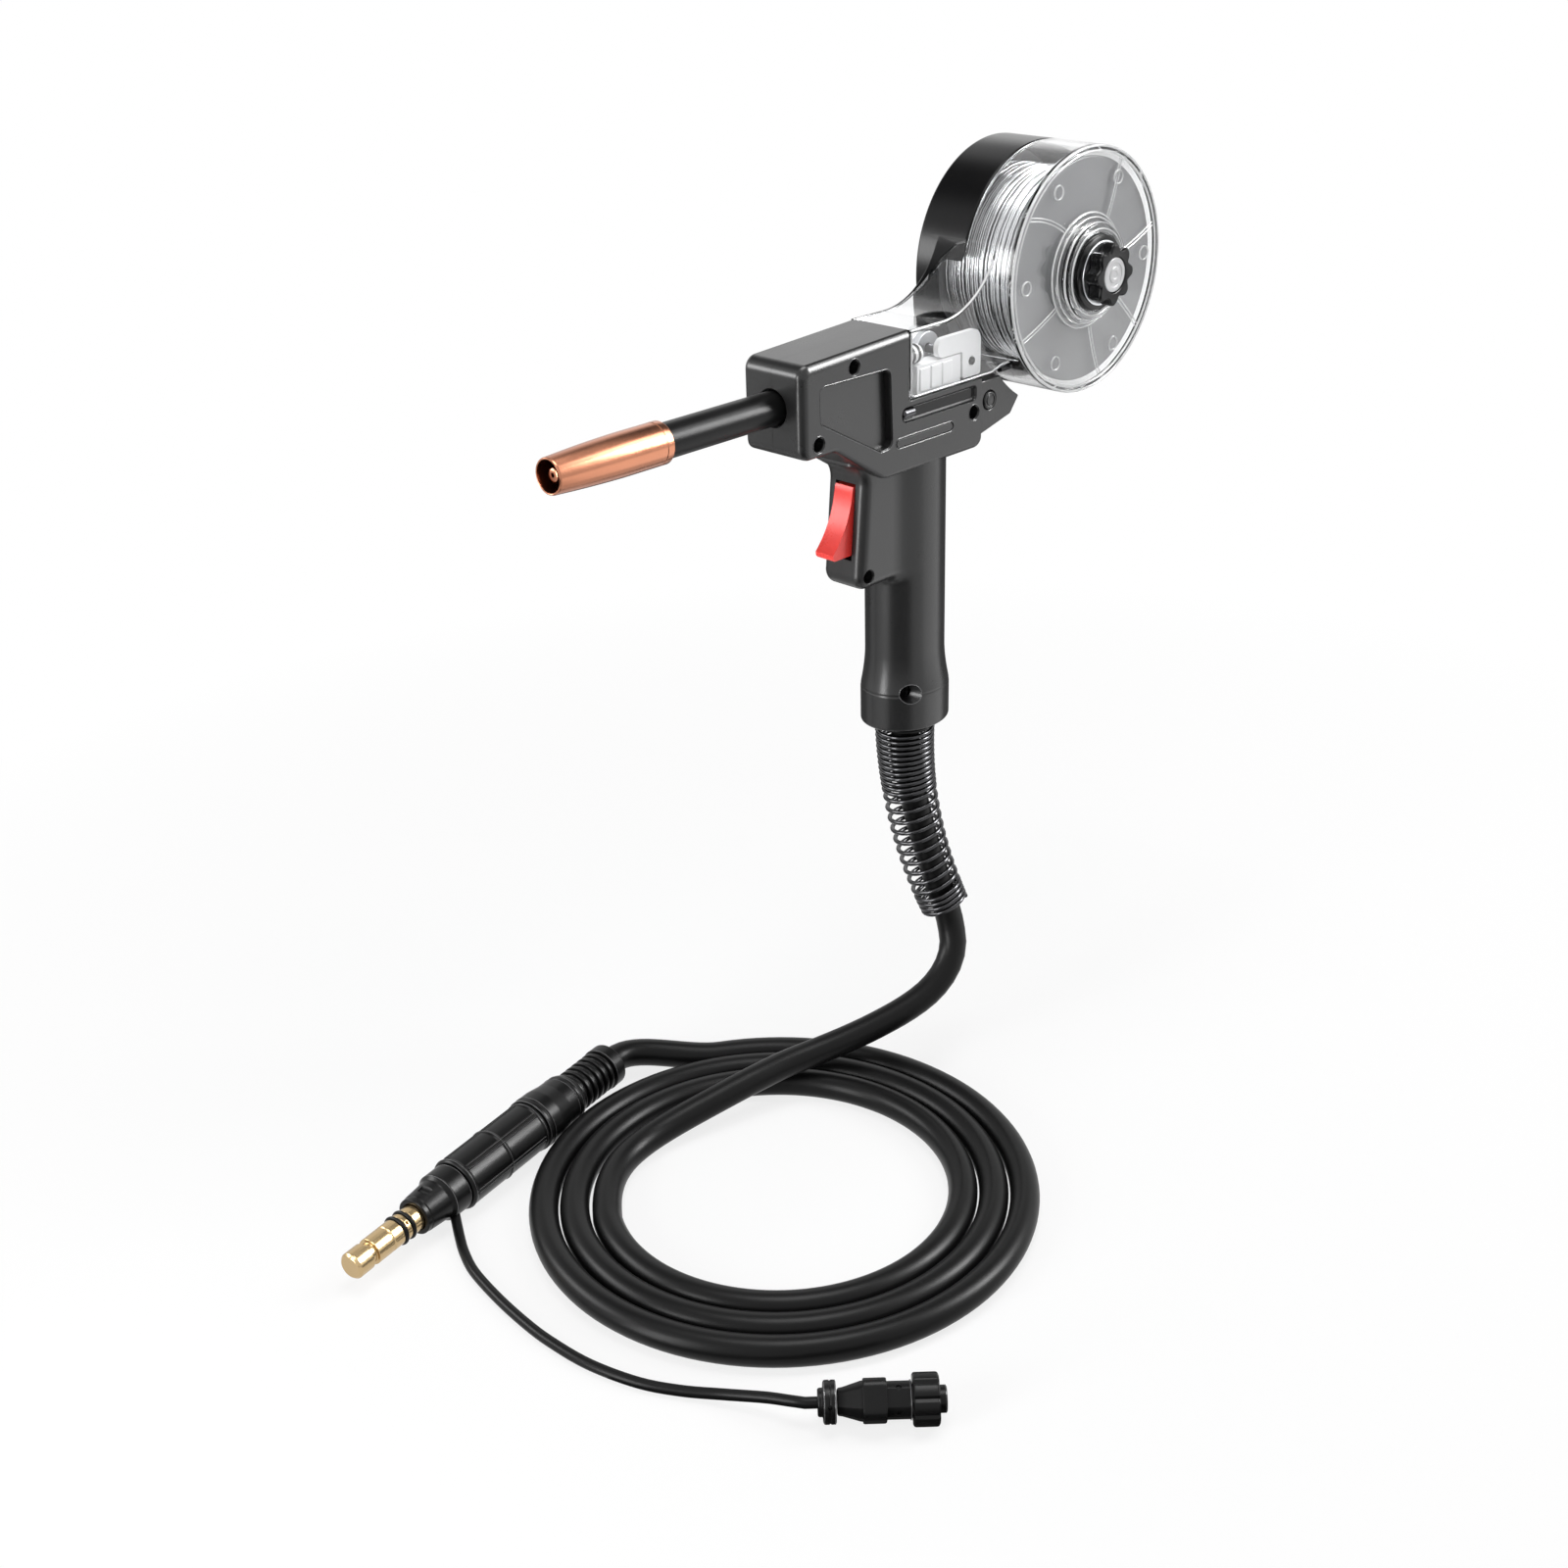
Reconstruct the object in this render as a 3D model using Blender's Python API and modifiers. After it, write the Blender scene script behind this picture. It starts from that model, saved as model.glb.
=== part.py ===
"""Spool gun MIG welding torch, with its coiled lead, power connector and control plug.

Metres, +Z up. The origin is on the axis of the pistol grip, at mid grip. The barrel points along -X, the
clear spool cover is on the -Y side, and the two body shells part on the plane Y = 0. The lead lies on a
surface below the held torch.
"""

import math

import bmesh
import bpy
from mathutils import Matrix, Vector

# Fits
CLEARANCE = 0.0003
RUNNING = 0.0004
WELD = 0.000001
PAST = 0.002

# Body shells
BODY_AHEAD = 0.085
BODY_BEHIND = 0.0335
BODY_HALF_WIDTH = 0.0175
BODY_TOP_Z = 0.142
TOP_DROP = 0.003
BODY_BOTTOM_Z = 0.079
CHIN_Z = 0.0985
CHIN_X = -0.064
BELLY_X = -0.033
SHELL_WALL = 0.0024
SHELL_EDGE = 0.0025
FRONT_CORNER = 0.0035
REAR_CORNER = 0.005
BELLY_CORNER = 0.012
WINDOW_FRONT_X = -0.017
RAIL_Z = 0.1112
FLOOR_OPENING = (-0.012, 0.030)
FLOOR_OPENING_HALF = BODY_HALF_WIDTH - SHELL_WALL - 2 * CLEARANCE

# Pistol grip
GRIP_RADIUS = 0.0203
GRIP_INSET = 0.0001
GRIP_WIDTH_RATIO = (BODY_HALF_WIDTH - GRIP_INSET) / GRIP_RADIUS
GRIP_WALL = 0.0026
FLARE_TOP_Z = -0.012
FOOT_TOP_Z = -0.031
GRIP_BOTTOM_Z = -0.049
FOOT_RADIUS = 0.0228
FOOT_LIP = 0.0025

# Trigger block, trigger and switch
BLOCK_HALF_WIDTH = 0.012
BLOCK_TOP_FRONT_X = -0.0405
BLOCK_LOW_FRONT_X = -0.0459
BLOCK_BOTTOM_Z = 0.0275
BLOCK_CORNER = 0.007
BLOCK_EDGE = 0.002
TRIGGER_HALF_WIDTH = 0.0053
TRIGGER_TOP = (-0.0412, 0.0740)
TRIGGER_TOE = (-0.0545, 0.0468)
TRIGGER_SCOOP = 0.0026
TRIGGER_HEIGHT_ABOVE = 0.0012
TRIGGER_LIP = 0.0028
TRIGGER_DEPTH = 0.0072
TRIGGER_PIVOT = (-0.0375, 0.0722)
TRIGGER_PIN_RADIUS = 0.0012
TRIGGER_PIN_HALF = BLOCK_HALF_WIDTH - 0.0025
SLOT_ROOM = 0.0024
SLOT_SIDE = TRIGGER_HALF_WIDTH + 0.0005
SWITCH_Z = 0.056
SWITCH_FRONT_X = -0.029
SWITCH_LENGTH = 0.0106
SWITCH_HEIGHT = 0.020
BUTTON_RADIUS = 0.0012
BUTTON_LENGTH = 0.0084
BUTTON_BORE = 0.006

# Side face details
POCKET = ((-0.0736, 0.1283), (-0.0300, 0.1275), (-0.0285, 0.0934), (-0.0358, 0.0925), (-0.0732, 0.113))
POCKET_CORNER = 0.003
POCKET_SHALLOW = 0.0008
POCKET_DEEP = 0.0036
GROOVE_X = (-0.0218, 0.0288)
GROOVE_Z = (0.1018, 0.1084)
GROOVE_DEPTH = 0.002
BACKING = 0.0016

# Case screws: the X and Z of each, and the half width of the case there
SCREW_PLACES = (
    (-0.0526, 0.1331, BODY_HALF_WIDTH),
    (-0.0750, 0.1045, BODY_HALF_WIDTH),
    (0.0275, 0.0961, BODY_HALF_WIDTH),
    (-0.0381, 0.0340, BLOCK_HALF_WIDTH),
    (-0.0140, -0.0300, BODY_HALF_WIDTH - 0.0055),
)
SCREW_SINK = 0.0048
SCREW_HEAD_RADIUS = 0.0028
SCREW_HEAD_HEIGHT = 0.0022
SCREW_RADIUS = 0.0015
SCREW_REACH = 0.0065
PILLAR_WALL = 0.0012

# Barrel line
BARREL_Z = 0.1195
SLEEVE_RADIUS = 0.00745
SLEEVE_WALL = 0.00155
BARREL_REACH = 0.064
SLEEVE_INSIDE = 0.0085
NOZZLE_LENGTH = 0.059
NOZZLE_RADIUS = 0.009
MOUTH_RADIUS = 0.0075
NOZZLE_WALL = 0.0011
NOZZLE_TAPER = 0.036
TIP_RECESS = 0.0025
TIP_RADIUS = 0.0030
TIP_LENGTH = 0.0325
WIRE_RADIUS = 0.00045
WIRE_BORE = 0.0008
CONDUCTOR_BORE = 0.0020
BLOCK_LENGTH = 0.030
BLOCK_HALF = 0.0085

# Wire spool and its hub
SPOOL_RADIUS = 0.050
SPOOL_ROOM = 0.0035
SPOOL_HUB = 0.024
SPOOL_FLANGE = 0.0026
SPOOL_END_GAP = 0.0029
SPINDLE_RADIUS = 0.0079
SPINDLE_END_RADIUS = 0.0036
SPINDLE_FLANGE = 0.012
WINDING_BELOW_RIM = 0.0065
WINDING_RADIUS = SPOOL_RADIUS - WINDING_BELOW_RIM
WINDING_STRAND = 0.0016
WINDING_LOOPS = 9
KNOB_RADIUS = 0.01425
KNOB_LOBES = 8
KNOB_FRONT = 0.044
KNOB_HEIGHT = 0.0069
KNOB_SCALLOP = 0.0019
KNOB_DISC_RADIUS = 0.0078
KNOB_DISC_SINK = 0.0014
COLLAR_BORE = 0.0110
WASHER_HEIGHT = 0.0015
BRAKE_SPRING_WIRE = 0.0006
BRAKE_SPRING_RADIUS = 0.0065
BRAKE_SPRING_CURLS = 3

# Spool case
DRUM_X = 0.095
DRUM_Z = 0.150
DRUM_WALL = 0.0025
DRUM_RADIUS = SPOOL_RADIUS + SPOOL_ROOM + DRUM_WALL
DRUM_NEAR = 0.0285
DRUM_FAR = 0.028
FACE_SINK = 0.0008
FACE_WALL = 0.0025
RIM_WIDTH = 0.003
EDGE_ROUND = 0.0014
NECK_FILLET = 0.040
NECK_WALL = 0.002
NECK_RAIL_END_X = 0.040
NECK_RAIL_RISE = 0.0025
NECK_SPLIT_X = 0.037
BOSS_RADIUS = 0.022
BOSS_BORE = 0.0178
BOSS_HEIGHT = 0.0055

# Wire drive
ROLL_X = 0.010
DRIVE_ROLL_RADIUS = 0.0125
PRESSURE_ROLL_RADIUS = 0.0075
ROLL_HALF_WIDTH = 0.004
ROLL_GROOVE = 0.0006
SHAFT_RADIUS = 0.0029
ROLL_PIN_RADIUS = 0.0020
ARM_PIVOT = (0.0279, 0.1195)
ARM_PIN_RADIUS = 0.0018
ARM_ROOM = 0.0012
ARM_NEAR = BODY_HALF_WIDTH - NECK_WALL - ARM_ROOM
ARM_THICKNESS = 0.0027
ARM_TAB = 0.0064
ARM_TAB_DROP = 0.007
ARM_RISE = 0.0140
ARM_BEAM_LOW = 0.0053
ARM_NOSE = 0.0055
FRAME_NEAR = ARM_NEAR - ARM_THICKNESS - 0.0011
FRAME_FAR = ROLL_HALF_WIDTH + 0.001
FRAME_RISE = 0.0045
CHEEK_ROOM = 0.0014
MOTOR_RADIUS = 0.0125
MOTOR_X = 0.004
MOTOR_BOTTOM_Z = 0.012
GUIDE_RADIUS = 0.0023

# Tail bracket
TAIL_ROOM = 0.0065
TAIL_RADIUS = DRUM_RADIUS + TAIL_ROOM
TAIL_HALF_WIDTH = BODY_HALF_WIDTH - 0.002
TAIL_TOP_Z = 0.1085
TAIL_TIP_Z = 0.0965
TAIL_BOTTOM_Z = 0.0835
TAIL_PIN = (0.041, 0.0987)
TAIL_PIN_RADIUS = 0.0042
TAIL_PIN_STAND = 0.0006

# Lead and strain relief
CABLE_RADIUS = 0.0068
GLAND_RADIUS = 0.0138
GLAND_FLANGE = 0.0152
GLAND_FLANGE_HEIGHT = 0.007
GLAND_DROP = 0.0045
SPRING_TOP_RADIUS = 0.0133
SPRING_END_RADIUS = 0.0112
SPRING_WIRE = 0.0011
SPRING_CLOSE_PITCH = 0.00276
SPRING_OPEN_PITCH = 0.0057
SPRING_TURNS = (12, 10, 4)
SPRING_POINTS = 8
SPRING_BEND_RADIUS = 0.257
LEAN = Vector((0.70, -0.714, 0.0)).normalized()

# Route of the lead from the gland to the start of the coil
LEAD_ROUTE = (
    (0.0, 0.0, -0.0440), (0.0001, -0.0001, -0.0580), (0.0017, -0.0017, -0.0814),
    (0.0054, -0.0056, -0.1079), (0.0103, -0.0105, -0.1339), (0.0138, -0.0147, -0.1520),
    (0.0147, -0.0178, -0.1635), (0.0121, -0.0216, -0.1740), (0.0050, -0.0232, -0.1834),
    (-0.0052, -0.0215, -0.1919), (-0.0180, -0.0166, -0.1989), (-0.0330, -0.0086, -0.2056),
    (-0.0470, -0.0005, -0.2108), (-0.0605, 0.0070, -0.2146), (-0.0750, 0.0128, -0.2168),
    (-0.0895, 0.0165, -0.2186), (-0.1037, 0.0205, -0.2212), (-0.1173, 0.0252, -0.2248),
    (-0.1310, 0.0302, -0.2287), (-0.1450, 0.0335, -0.2311),
)
FLOOR_Z = -0.239
COIL_CENTRE = (-0.1368, -0.0407)
COIL_START_DEG = 119.0
COIL_END_DEG = 1138.0
COIL_START_RADIUS = 0.0784
COIL_PITCH = 0.0142
COIL_POINTS = 24
COIL_JOIN_DEGREES = (2.5, 6.0)

# Power connector, measured along its axis from the end of its boot
CONNECTOR_START = (-0.125, 0.0888)
CONNECTOR_TOWARDS = Vector((-0.981, -0.194, 0.0)).normalized()
BOOT_LENGTH = 0.033
BOOT_RADIUS = 0.0106
BOOT_END_RADIUS = 0.0109
BOOT_END_LENGTH = 0.0065
BOOT_GROOVE = 0.0018
BOOT_RIBS = 6
BOOT_BORE_DEPTH = 0.012
COUPLING_LENGTH = 0.0297
COUPLING_RADIUS = 0.0135
CONNECTOR_RADIUS = 0.0129
CONNECTOR_LENGTH = 0.0553
NOSE_LENGTH = 0.027
NOSE_RADIUS = 0.0118
NOSE_TIP_RADIUS = 0.0090
PIN_RADIUS = 0.0064
PIN_LENGTH = 0.0416
PIN_SEAT = 0.010
O_RING_WIRE = 0.0009
O_RING_PLACES = (0.0065, 0.0115)
PIN_NECK = (0.029, 0.032)

# Control lead and its plug
CONTROL_RADIUS = 0.0024
CONTROL_EXIT = 0.0085
CONTROL_ROUTE = (
    (-0.2552, 0.0452, -0.2360), (-0.2606, 0.0350, -0.2366), (-0.2660, 0.0210, -0.2366),
    (-0.2703, -0.0010, -0.2366), (-0.2727, -0.0220, -0.2366), (-0.2733, -0.0390, -0.2366),
    (-0.2716, -0.0616, -0.2366), (-0.2654, -0.0849, -0.2366), (-0.2570, -0.1020, -0.2363),
    (-0.2480, -0.1175, -0.2348), (-0.2405, -0.1345, -0.2311), (-0.2370, -0.1440, -0.2293),
)
PLUG_START = (-0.2307, -0.1543, -0.2283)
PLUG_TOWARDS = Vector((0.706, -0.708, 0.0)).normalized()
PLUG_CLAMP_LENGTH = 0.0075
PLUG_CLAMP_RADIUS = 0.0087
PLUG_NECK_RADIUS = 0.0057
PLUG_CONE_LENGTH = 0.0107
PLUG_BODY_RADIUS = 0.0092
PLUG_BODY_LENGTH = 0.0091
PLUG_WAIST_RADIUS = 0.0079
PLUG_WAIST_LENGTH = 0.0102
PLUG_RING_RADIUS = 0.0107
PLUG_RING_LENGTH = 0.0107
PLUG_RING_LOBES = 9
PLUG_BARREL_RADIUS = 0.0055
PLUG_BARREL_SHOWN = 0.0031

# Directions
UP = (0.0, 0.0, 1.0)
NEAR = (0.0, -1.0, 0.0)
AHEAD = (-1.0, 0.0, 0.0)

# Places that follow from the sizes above
BARREL_END = BODY_AHEAD + BARREL_REACH
NOZZLE_END = BARREL_END + NOZZLE_LENGTH
SLEEVE_REAR = BODY_AHEAD - SLEEVE_INSIDE
BLOCK_REAR = SLEEVE_REAR - CLEARANCE - BLOCK_LENGTH
DRUM_AXIS = (DRUM_X, 0.0, DRUM_Z)
DRUM_BORE = DRUM_RADIUS - DRUM_WALL
FACE_INSIDE = DRUM_NEAR - FACE_SINK - FACE_WALL
BACK_INSIDE = DRUM_FAR - DRUM_WALL
SPOOL_NEAR = FACE_INSIDE - SPOOL_END_GAP
SPOOL_FAR = BACK_INSIDE - SPOOL_END_GAP
BOSS_TOP = DRUM_NEAR + BOSS_HEIGHT
COLLAR_RADIUS = BOSS_BORE - 2 * CLEARANCE
KNOB_BACK = KNOB_FRONT - KNOB_HEIGHT
TOWER_FACE = BODY_HALF_WIDTH - GROOVE_DEPTH - BACKING - RUNNING
DRIVE_ROLL_Z = BARREL_Z - DRIVE_ROLL_RADIUS - WIRE_RADIUS - CLEARANCE + ROLL_GROOVE
PRESSURE_ROLL_Z = BARREL_Z + PRESSURE_ROLL_RADIUS + WIRE_RADIUS + CLEARANCE - ROLL_GROOVE
GLAND_BOTTOM_Z = GRIP_BOTTOM_Z - GLAND_DROP
GLAND_SEAT_Z = GRIP_BOTTOM_Z + FOOT_LIP + CLEARANCE
CABLE_REST_Z = FLOOR_Z + CABLE_RADIUS
CONNECTOR_Z = FLOOR_Z + COUPLING_RADIUS
CONNECTOR_AT = (CONNECTOR_START[0], CONNECTOR_START[1], CONNECTOR_Z)
COUPLING_AT = BOOT_LENGTH + CLEARANCE
HANDLE_AT = COUPLING_AT + COUPLING_LENGTH + CLEARANCE
NOSE_AT = HANDLE_AT + CONNECTOR_LENGTH + CLEARANCE
PIN_AT = NOSE_AT + NOSE_LENGTH
PIN_END = PIN_AT + PIN_LENGTH


def empty_scene():
    for obj in list(bpy.data.objects):
        bpy.data.objects.remove(obj, do_unlink=True)
    parts = bpy.data.collections.new("spool_gun_torch")
    bpy.context.scene.collection.children.link(parts)
    return parts


PARTS = empty_scene()


def finish(name, colour, roughness, metallic=0.0):
    material = bpy.data.materials.new(name)
    material.use_nodes = True
    shader = material.node_tree.nodes["Principled BSDF"]
    shader.inputs["Base Color"].default_value = (*colour, 1.0)
    shader.inputs["Roughness"].default_value = roughness
    shader.inputs["Metallic"].default_value = metallic
    return material


BLACK_CASE = finish("black_case", (0.025, 0.026, 0.027), 0.45)
BLACK_RUBBER = finish("black_rubber", (0.018, 0.018, 0.019), 0.55)
BLACK_STEEL = finish("black_steel", (0.04, 0.04, 0.042), 0.30, 0.9)
CLEAR_CASE = finish("clear_case", (0.86, 0.88, 0.90), 0.08)
GREY_SPOOL = finish("grey_spool", (0.42, 0.43, 0.45), 0.30)
WHITE_PLASTIC = finish("white_plastic", (0.85, 0.85, 0.84), 0.40)
RED_TRIGGER = finish("red_trigger", (0.72, 0.03, 0.03), 0.32)
COPPER = finish("copper", (0.80, 0.42, 0.27), 0.25, 1.0)
BRASS = finish("brass", (0.83, 0.65, 0.36), 0.22, 1.0)
STEEL = finish("steel", (0.60, 0.61, 0.62), 0.30, 1.0)
WIRE = finish("wire", (0.72, 0.73, 0.74), 0.25, 1.0)
FIBRE = finish("insulator", (0.75, 0.70, 0.58), 0.60)


def frame_at(at, along):
    """The place and turn that put local +Z along a direction, with local +Y close to world up."""
    turn = Vector(along).to_track_quat("Z", "Y")
    return Matrix.Translation(at) @ turn.to_matrix().to_4x4()


def add_object(name, data, matrix, material):
    obj = bpy.data.objects.new(name, data)
    PARTS.objects.link(obj)
    obj.matrix_world = matrix
    if material is not None:
        obj.data.materials.clear()
        obj.data.materials.append(material)
    return obj


def as_mesh(obj):
    """Swap an object for the plain mesh that its curve or its modifiers make."""
    graph = bpy.context.evaluated_depsgraph_get()
    mesh = bpy.data.meshes.new_from_object(obj.evaluated_get(graph))
    work = bmesh.new()
    work.from_mesh(mesh)
    bmesh.ops.remove_doubles(work, verts=work.verts, dist=WELD)
    bmesh.ops.recalc_face_normals(work, faces=work.faces)
    work.to_mesh(mesh)
    work.free()
    name, matrix = obj.name, obj.matrix_world.copy()
    material = obj.data.materials[0] if obj.data.materials else None
    bpy.data.objects.remove(obj, do_unlink=True)
    return add_object(name, mesh, matrix, material)


def flat_faces_whole(obj):
    """Make each flat end of a piece one face."""
    work = bmesh.new()
    work.from_mesh(obj.data)
    bmesh.ops.dissolve_limit(
        work, angle_limit=math.radians(0.05), verts=work.verts, edges=work.edges,
        use_dissolve_boundaries=False,
    )
    work.to_mesh(obj.data)
    work.free()
    return obj


def combined(target, tools, operation):
    """Apply a Boolean with each tool in turn, and remove the tools."""
    for tool in tools:
        change = target.modifiers.new(tool.name, "BOOLEAN")
        change.operation = operation
        change.object = tool
    result = as_mesh(target)
    for tool in tools:
        bpy.data.objects.remove(tool, do_unlink=True)
    return result


def cut(target, *tools):
    return combined(target, tools, "DIFFERENCE")


def join(target, *tools):
    return combined(target, tools, "UNION")


def turned(name, outer, inner=(), at=(0, 0, 0), along=UP, steps=20, material=None):
    """A turned piece from (distance along the axis, radius) points.

    The outer side runs from the far end back to the start, and a hollow piece's inner side runs forward.
    """
    points = [(radius, 0.0, distance) for distance, radius in (*outer, *inner)]
    if not inner:
        points.insert(0, (0.0, 0.0, outer[0][0]))
        points.append((0.0, 0.0, outer[-1][0]))
    edges = [(i, i + 1) for i in range(len(points) - 1)]
    if inner:
        edges.append((len(points) - 1, 0))
    mesh = bpy.data.meshes.new(name)
    mesh.from_pydata(points, edges, [])
    obj = add_object(name, mesh, frame_at(at, along), material)
    screw = obj.modifiers.new("turn", "SCREW")
    screw.steps = steps
    screw.render_steps = steps
    screw.use_merge_vertices = True
    screw.merge_threshold = WELD
    return flat_faces_whole(as_mesh(obj))


def prism(name, outline, start, end, at=(0, 0, 0), along=NEAR, material=None):
    """A flat outline carried from one distance along an axis to another."""
    curve = bpy.data.curves.new(name, "CURVE")
    curve.dimensions = "2D"
    curve.fill_mode = "BOTH"
    curve.extrude = abs(end - start) / 2
    spline = curve.splines.new("POLY")
    spline.points.add(len(outline) - 1)
    spline.use_cyclic_u = True
    for point, (across, up) in zip(spline.points, outline):
        point.co = (across, up, 0.0, 1.0)
    lift = Matrix.Translation((0.0, 0.0, (start + end) / 2))
    return flat_faces_whole(as_mesh(add_object(name, curve, frame_at(at, along) @ lift, material)))


def bevel_rim(obj, height, width, segments=2):
    """Round the rim of a prism on the side whose local height is given."""
    work = bmesh.new()
    work.from_mesh(obj.data)
    rim = [edge for edge in work.edges if all(abs(v.co.z - height) < WELD * 10 for v in edge.verts)]
    bmesh.ops.bevel(
        work, geom=rim, offset=width, offset_type="OFFSET", segments=segments, profile=0.5,
        affect="EDGES", clamp_overlap=True,
    )
    work.to_mesh(obj.data)
    work.free()


def box(name, low, high, material=None):
    mesh = bpy.data.meshes.new(name)
    work = bmesh.new()
    size = [b - a for a, b in zip(low, high)]
    middle = [(a + b) / 2 for a, b in zip(low, high)]
    bmesh.ops.create_cube(work, size=1.0, matrix=Matrix.Translation(middle) @ Matrix.Diagonal((*size, 1.0)))
    work.to_mesh(mesh)
    work.free()
    return add_object(name, mesh, Matrix.Identity(4), material)


def rod(name, start, end, radius, at, along, steps=12, material=None):
    return turned(name, ((end, radius), (start, radius)), at=at, along=along, steps=steps, material=material)


def ring(name, start, end, outer, inner, at, along, steps=20, material=None):
    return turned(
        name, ((end, outer), (start, outer)), ((start, inner), (end, inner)), at, along, steps, material
    )


def tube(name, points, radius, resolution, material):
    """A cord or wire: a bevelled curve through points, with filled ends."""
    curve = bpy.data.curves.new(name, "CURVE")
    curve.dimensions = "3D"
    curve.bevel_depth = radius
    curve.bevel_resolution = resolution
    curve.use_fill_caps = True
    curve.twist_mode = "MINIMUM"
    spline = curve.splines.new("POLY")
    spline.points.add(len(points) - 1)
    for point, place in zip(spline.points, points):
        point.co = (*place, 1.0)
    return as_mesh(add_object(name, curve, Matrix.Identity(4), material))


def rounded(corners, steps=4):
    """An outline from (x, z, radius) corners, with an arc at each corner that has a radius."""
    outline = []
    for index, (x, z, radius) in enumerate(corners):
        here = Vector((x, z))
        before = Vector(corners[index - 1][:2]) - here
        after = Vector(corners[(index + 1) % len(corners)][:2]) - here
        if radius <= 0.0:
            outline.append((x, z))
            continue
        half = before.angle(after) / 2
        reach = radius / math.tan(half)
        centre = here + (before.normalized() + after.normalized()).normalized() * (radius / math.sin(half))
        first = here + before.normalized() * reach - centre
        sweep = (here + after.normalized() * reach - centre).angle_signed(first)
        for step in range(steps + 1):
            turn = Matrix.Rotation(sweep * step / steps, 2)
            outline.append(tuple(centre + turn @ first))
    return outline


def inset(corners, distance):
    """The same corners moved inwards, with each radius kept concentric."""
    area = sum(
        a[0] * b[1] - b[0] * a[1] for a, b in zip(corners, (*corners[1:], corners[0]))
    )
    side = 1.0 if area > 0 else -1.0
    moved = []
    for index, (x, z, radius) in enumerate(corners):
        here = Vector((x, z))
        back = (here - Vector(corners[index - 1][:2])).normalized()
        ahead = (Vector(corners[(index + 1) % len(corners)][:2]) - here).normalized()
        cross = back.x * ahead.y - back.y * ahead.x
        normal_sum = Vector((-back.y, back.x)) + Vector((-ahead.y, ahead.x))
        shift = normal_sum * (side * distance / (1.0 + back.dot(ahead)))
        grown = radius - distance if cross * side > 0 else radius + distance
        moved.append((x + shift.x, z + shift.y, max(grown, 0.0) if radius > 0 else 0.0))
    return moved


def lobed(radius, lobes, scallop, points_per_lobe=5):
    """A grip outline with round lobes and a scallop between each two."""
    outline = []
    for step in range(lobes * points_per_lobe):
        turn = 2 * math.pi * step / (lobes * points_per_lobe)
        dip = (0.5 - 0.5 * math.cos(lobes * turn)) ** 2
        outline.append(((radius - scallop * dip) * math.cos(turn), (radius - scallop * dip) * math.sin(turn)))
    return outline


def smooth_route(points, spacing):
    """Points at an even spacing along a smooth curve through the given ones."""
    places = [Vector(point) for point in points]
    ends = [2 * places[0] - places[1], *places, 2 * places[-1] - places[-2]]
    fine = []
    for a, b, c, d in zip(ends, ends[1:], ends[2:], ends[3:]):
        for step in range(12):
            t = step / 12
            bend = (2 * a - 5 * b + 4 * c - d) * t ** 2 + (3 * b - a - 3 * c + d) * t ** 3
            fine.append(0.5 * (2 * b + (c - a) * t + bend))
    fine.append(places[-1])
    lengths = [0.0]
    for a, b in zip(fine, fine[1:]):
        lengths.append(lengths[-1] + (b - a).length)
    count = max(round(lengths[-1] / spacing), 2)
    route = []
    index = 0
    for step in range(count + 1):
        want = lengths[-1] * step / count
        while index < len(fine) - 2 and lengths[index + 1] < want:
            index += 1
        span = lengths[index + 1] - lengths[index]
        route.append(fine[index].lerp(fine[index + 1], (want - lengths[index]) / span if span else 0.0))
    return route


def least_gap(points, radius, skip):
    """The least space between two stretches of one tube that are more than skip points apart."""
    least = min(
        (a - b).length for i, a in enumerate(points) for b in points[i + skip:]
    )
    return least - 2 * radius


def body_corners():
    return [
        (-BODY_AHEAD, CHIN_Z, FRONT_CORNER),
        (-BODY_AHEAD, BODY_TOP_Z - TOP_DROP, FRONT_CORNER),
        (WINDOW_FRONT_X, BODY_TOP_Z, 0.0),
        (WINDOW_FRONT_X, RAIL_Z, 0.0),
        (BODY_BEHIND, RAIL_Z, 0.0),
        (BODY_BEHIND, BODY_BOTTOM_Z, REAR_CORNER),
        (BELLY_X, BODY_BOTTOM_Z, BELLY_CORNER),
        (CHIN_X, CHIN_Z, BELLY_CORNER / 2),
    ]


def block_corners():
    inside = BODY_BOTTOM_Z + SHELL_WALL + 0.006
    return [
        (BLOCK_TOP_FRONT_X, inside, 0.0),
        (BLOCK_LOW_FRONT_X, BLOCK_BOTTOM_Z, BLOCK_CORNER),
        (-GRIP_RADIUS / 2, BLOCK_BOTTOM_Z, 0.0),
        (-GRIP_RADIUS / 2, inside, 0.0),
    ]


def grip_solid():
    """The whole grip, before it is hollowed and parted."""
    top = BODY_BOTTOM_Z + SHELL_WALL + 0.002
    swell = (FOOT_RADIUS - GRIP_RADIUS) * 0.3
    solid = turned(
        "grip",
        (
            (top, GRIP_RADIUS),
            (FLARE_TOP_Z, GRIP_RADIUS),
            ((FLARE_TOP_Z + FOOT_TOP_Z) / 2, GRIP_RADIUS + swell),
            (FOOT_TOP_Z, FOOT_RADIUS),
            (GRIP_BOTTOM_Z + EDGE_ROUND, FOOT_RADIUS),
            (GRIP_BOTTOM_Z, FOOT_RADIUS - EDGE_ROUND),
        ),
        steps=24,
    )
    solid.matrix_world = Matrix.Diagonal((1.0, GRIP_WIDTH_RATIO, 1.0, 1.0))
    return solid


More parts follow.
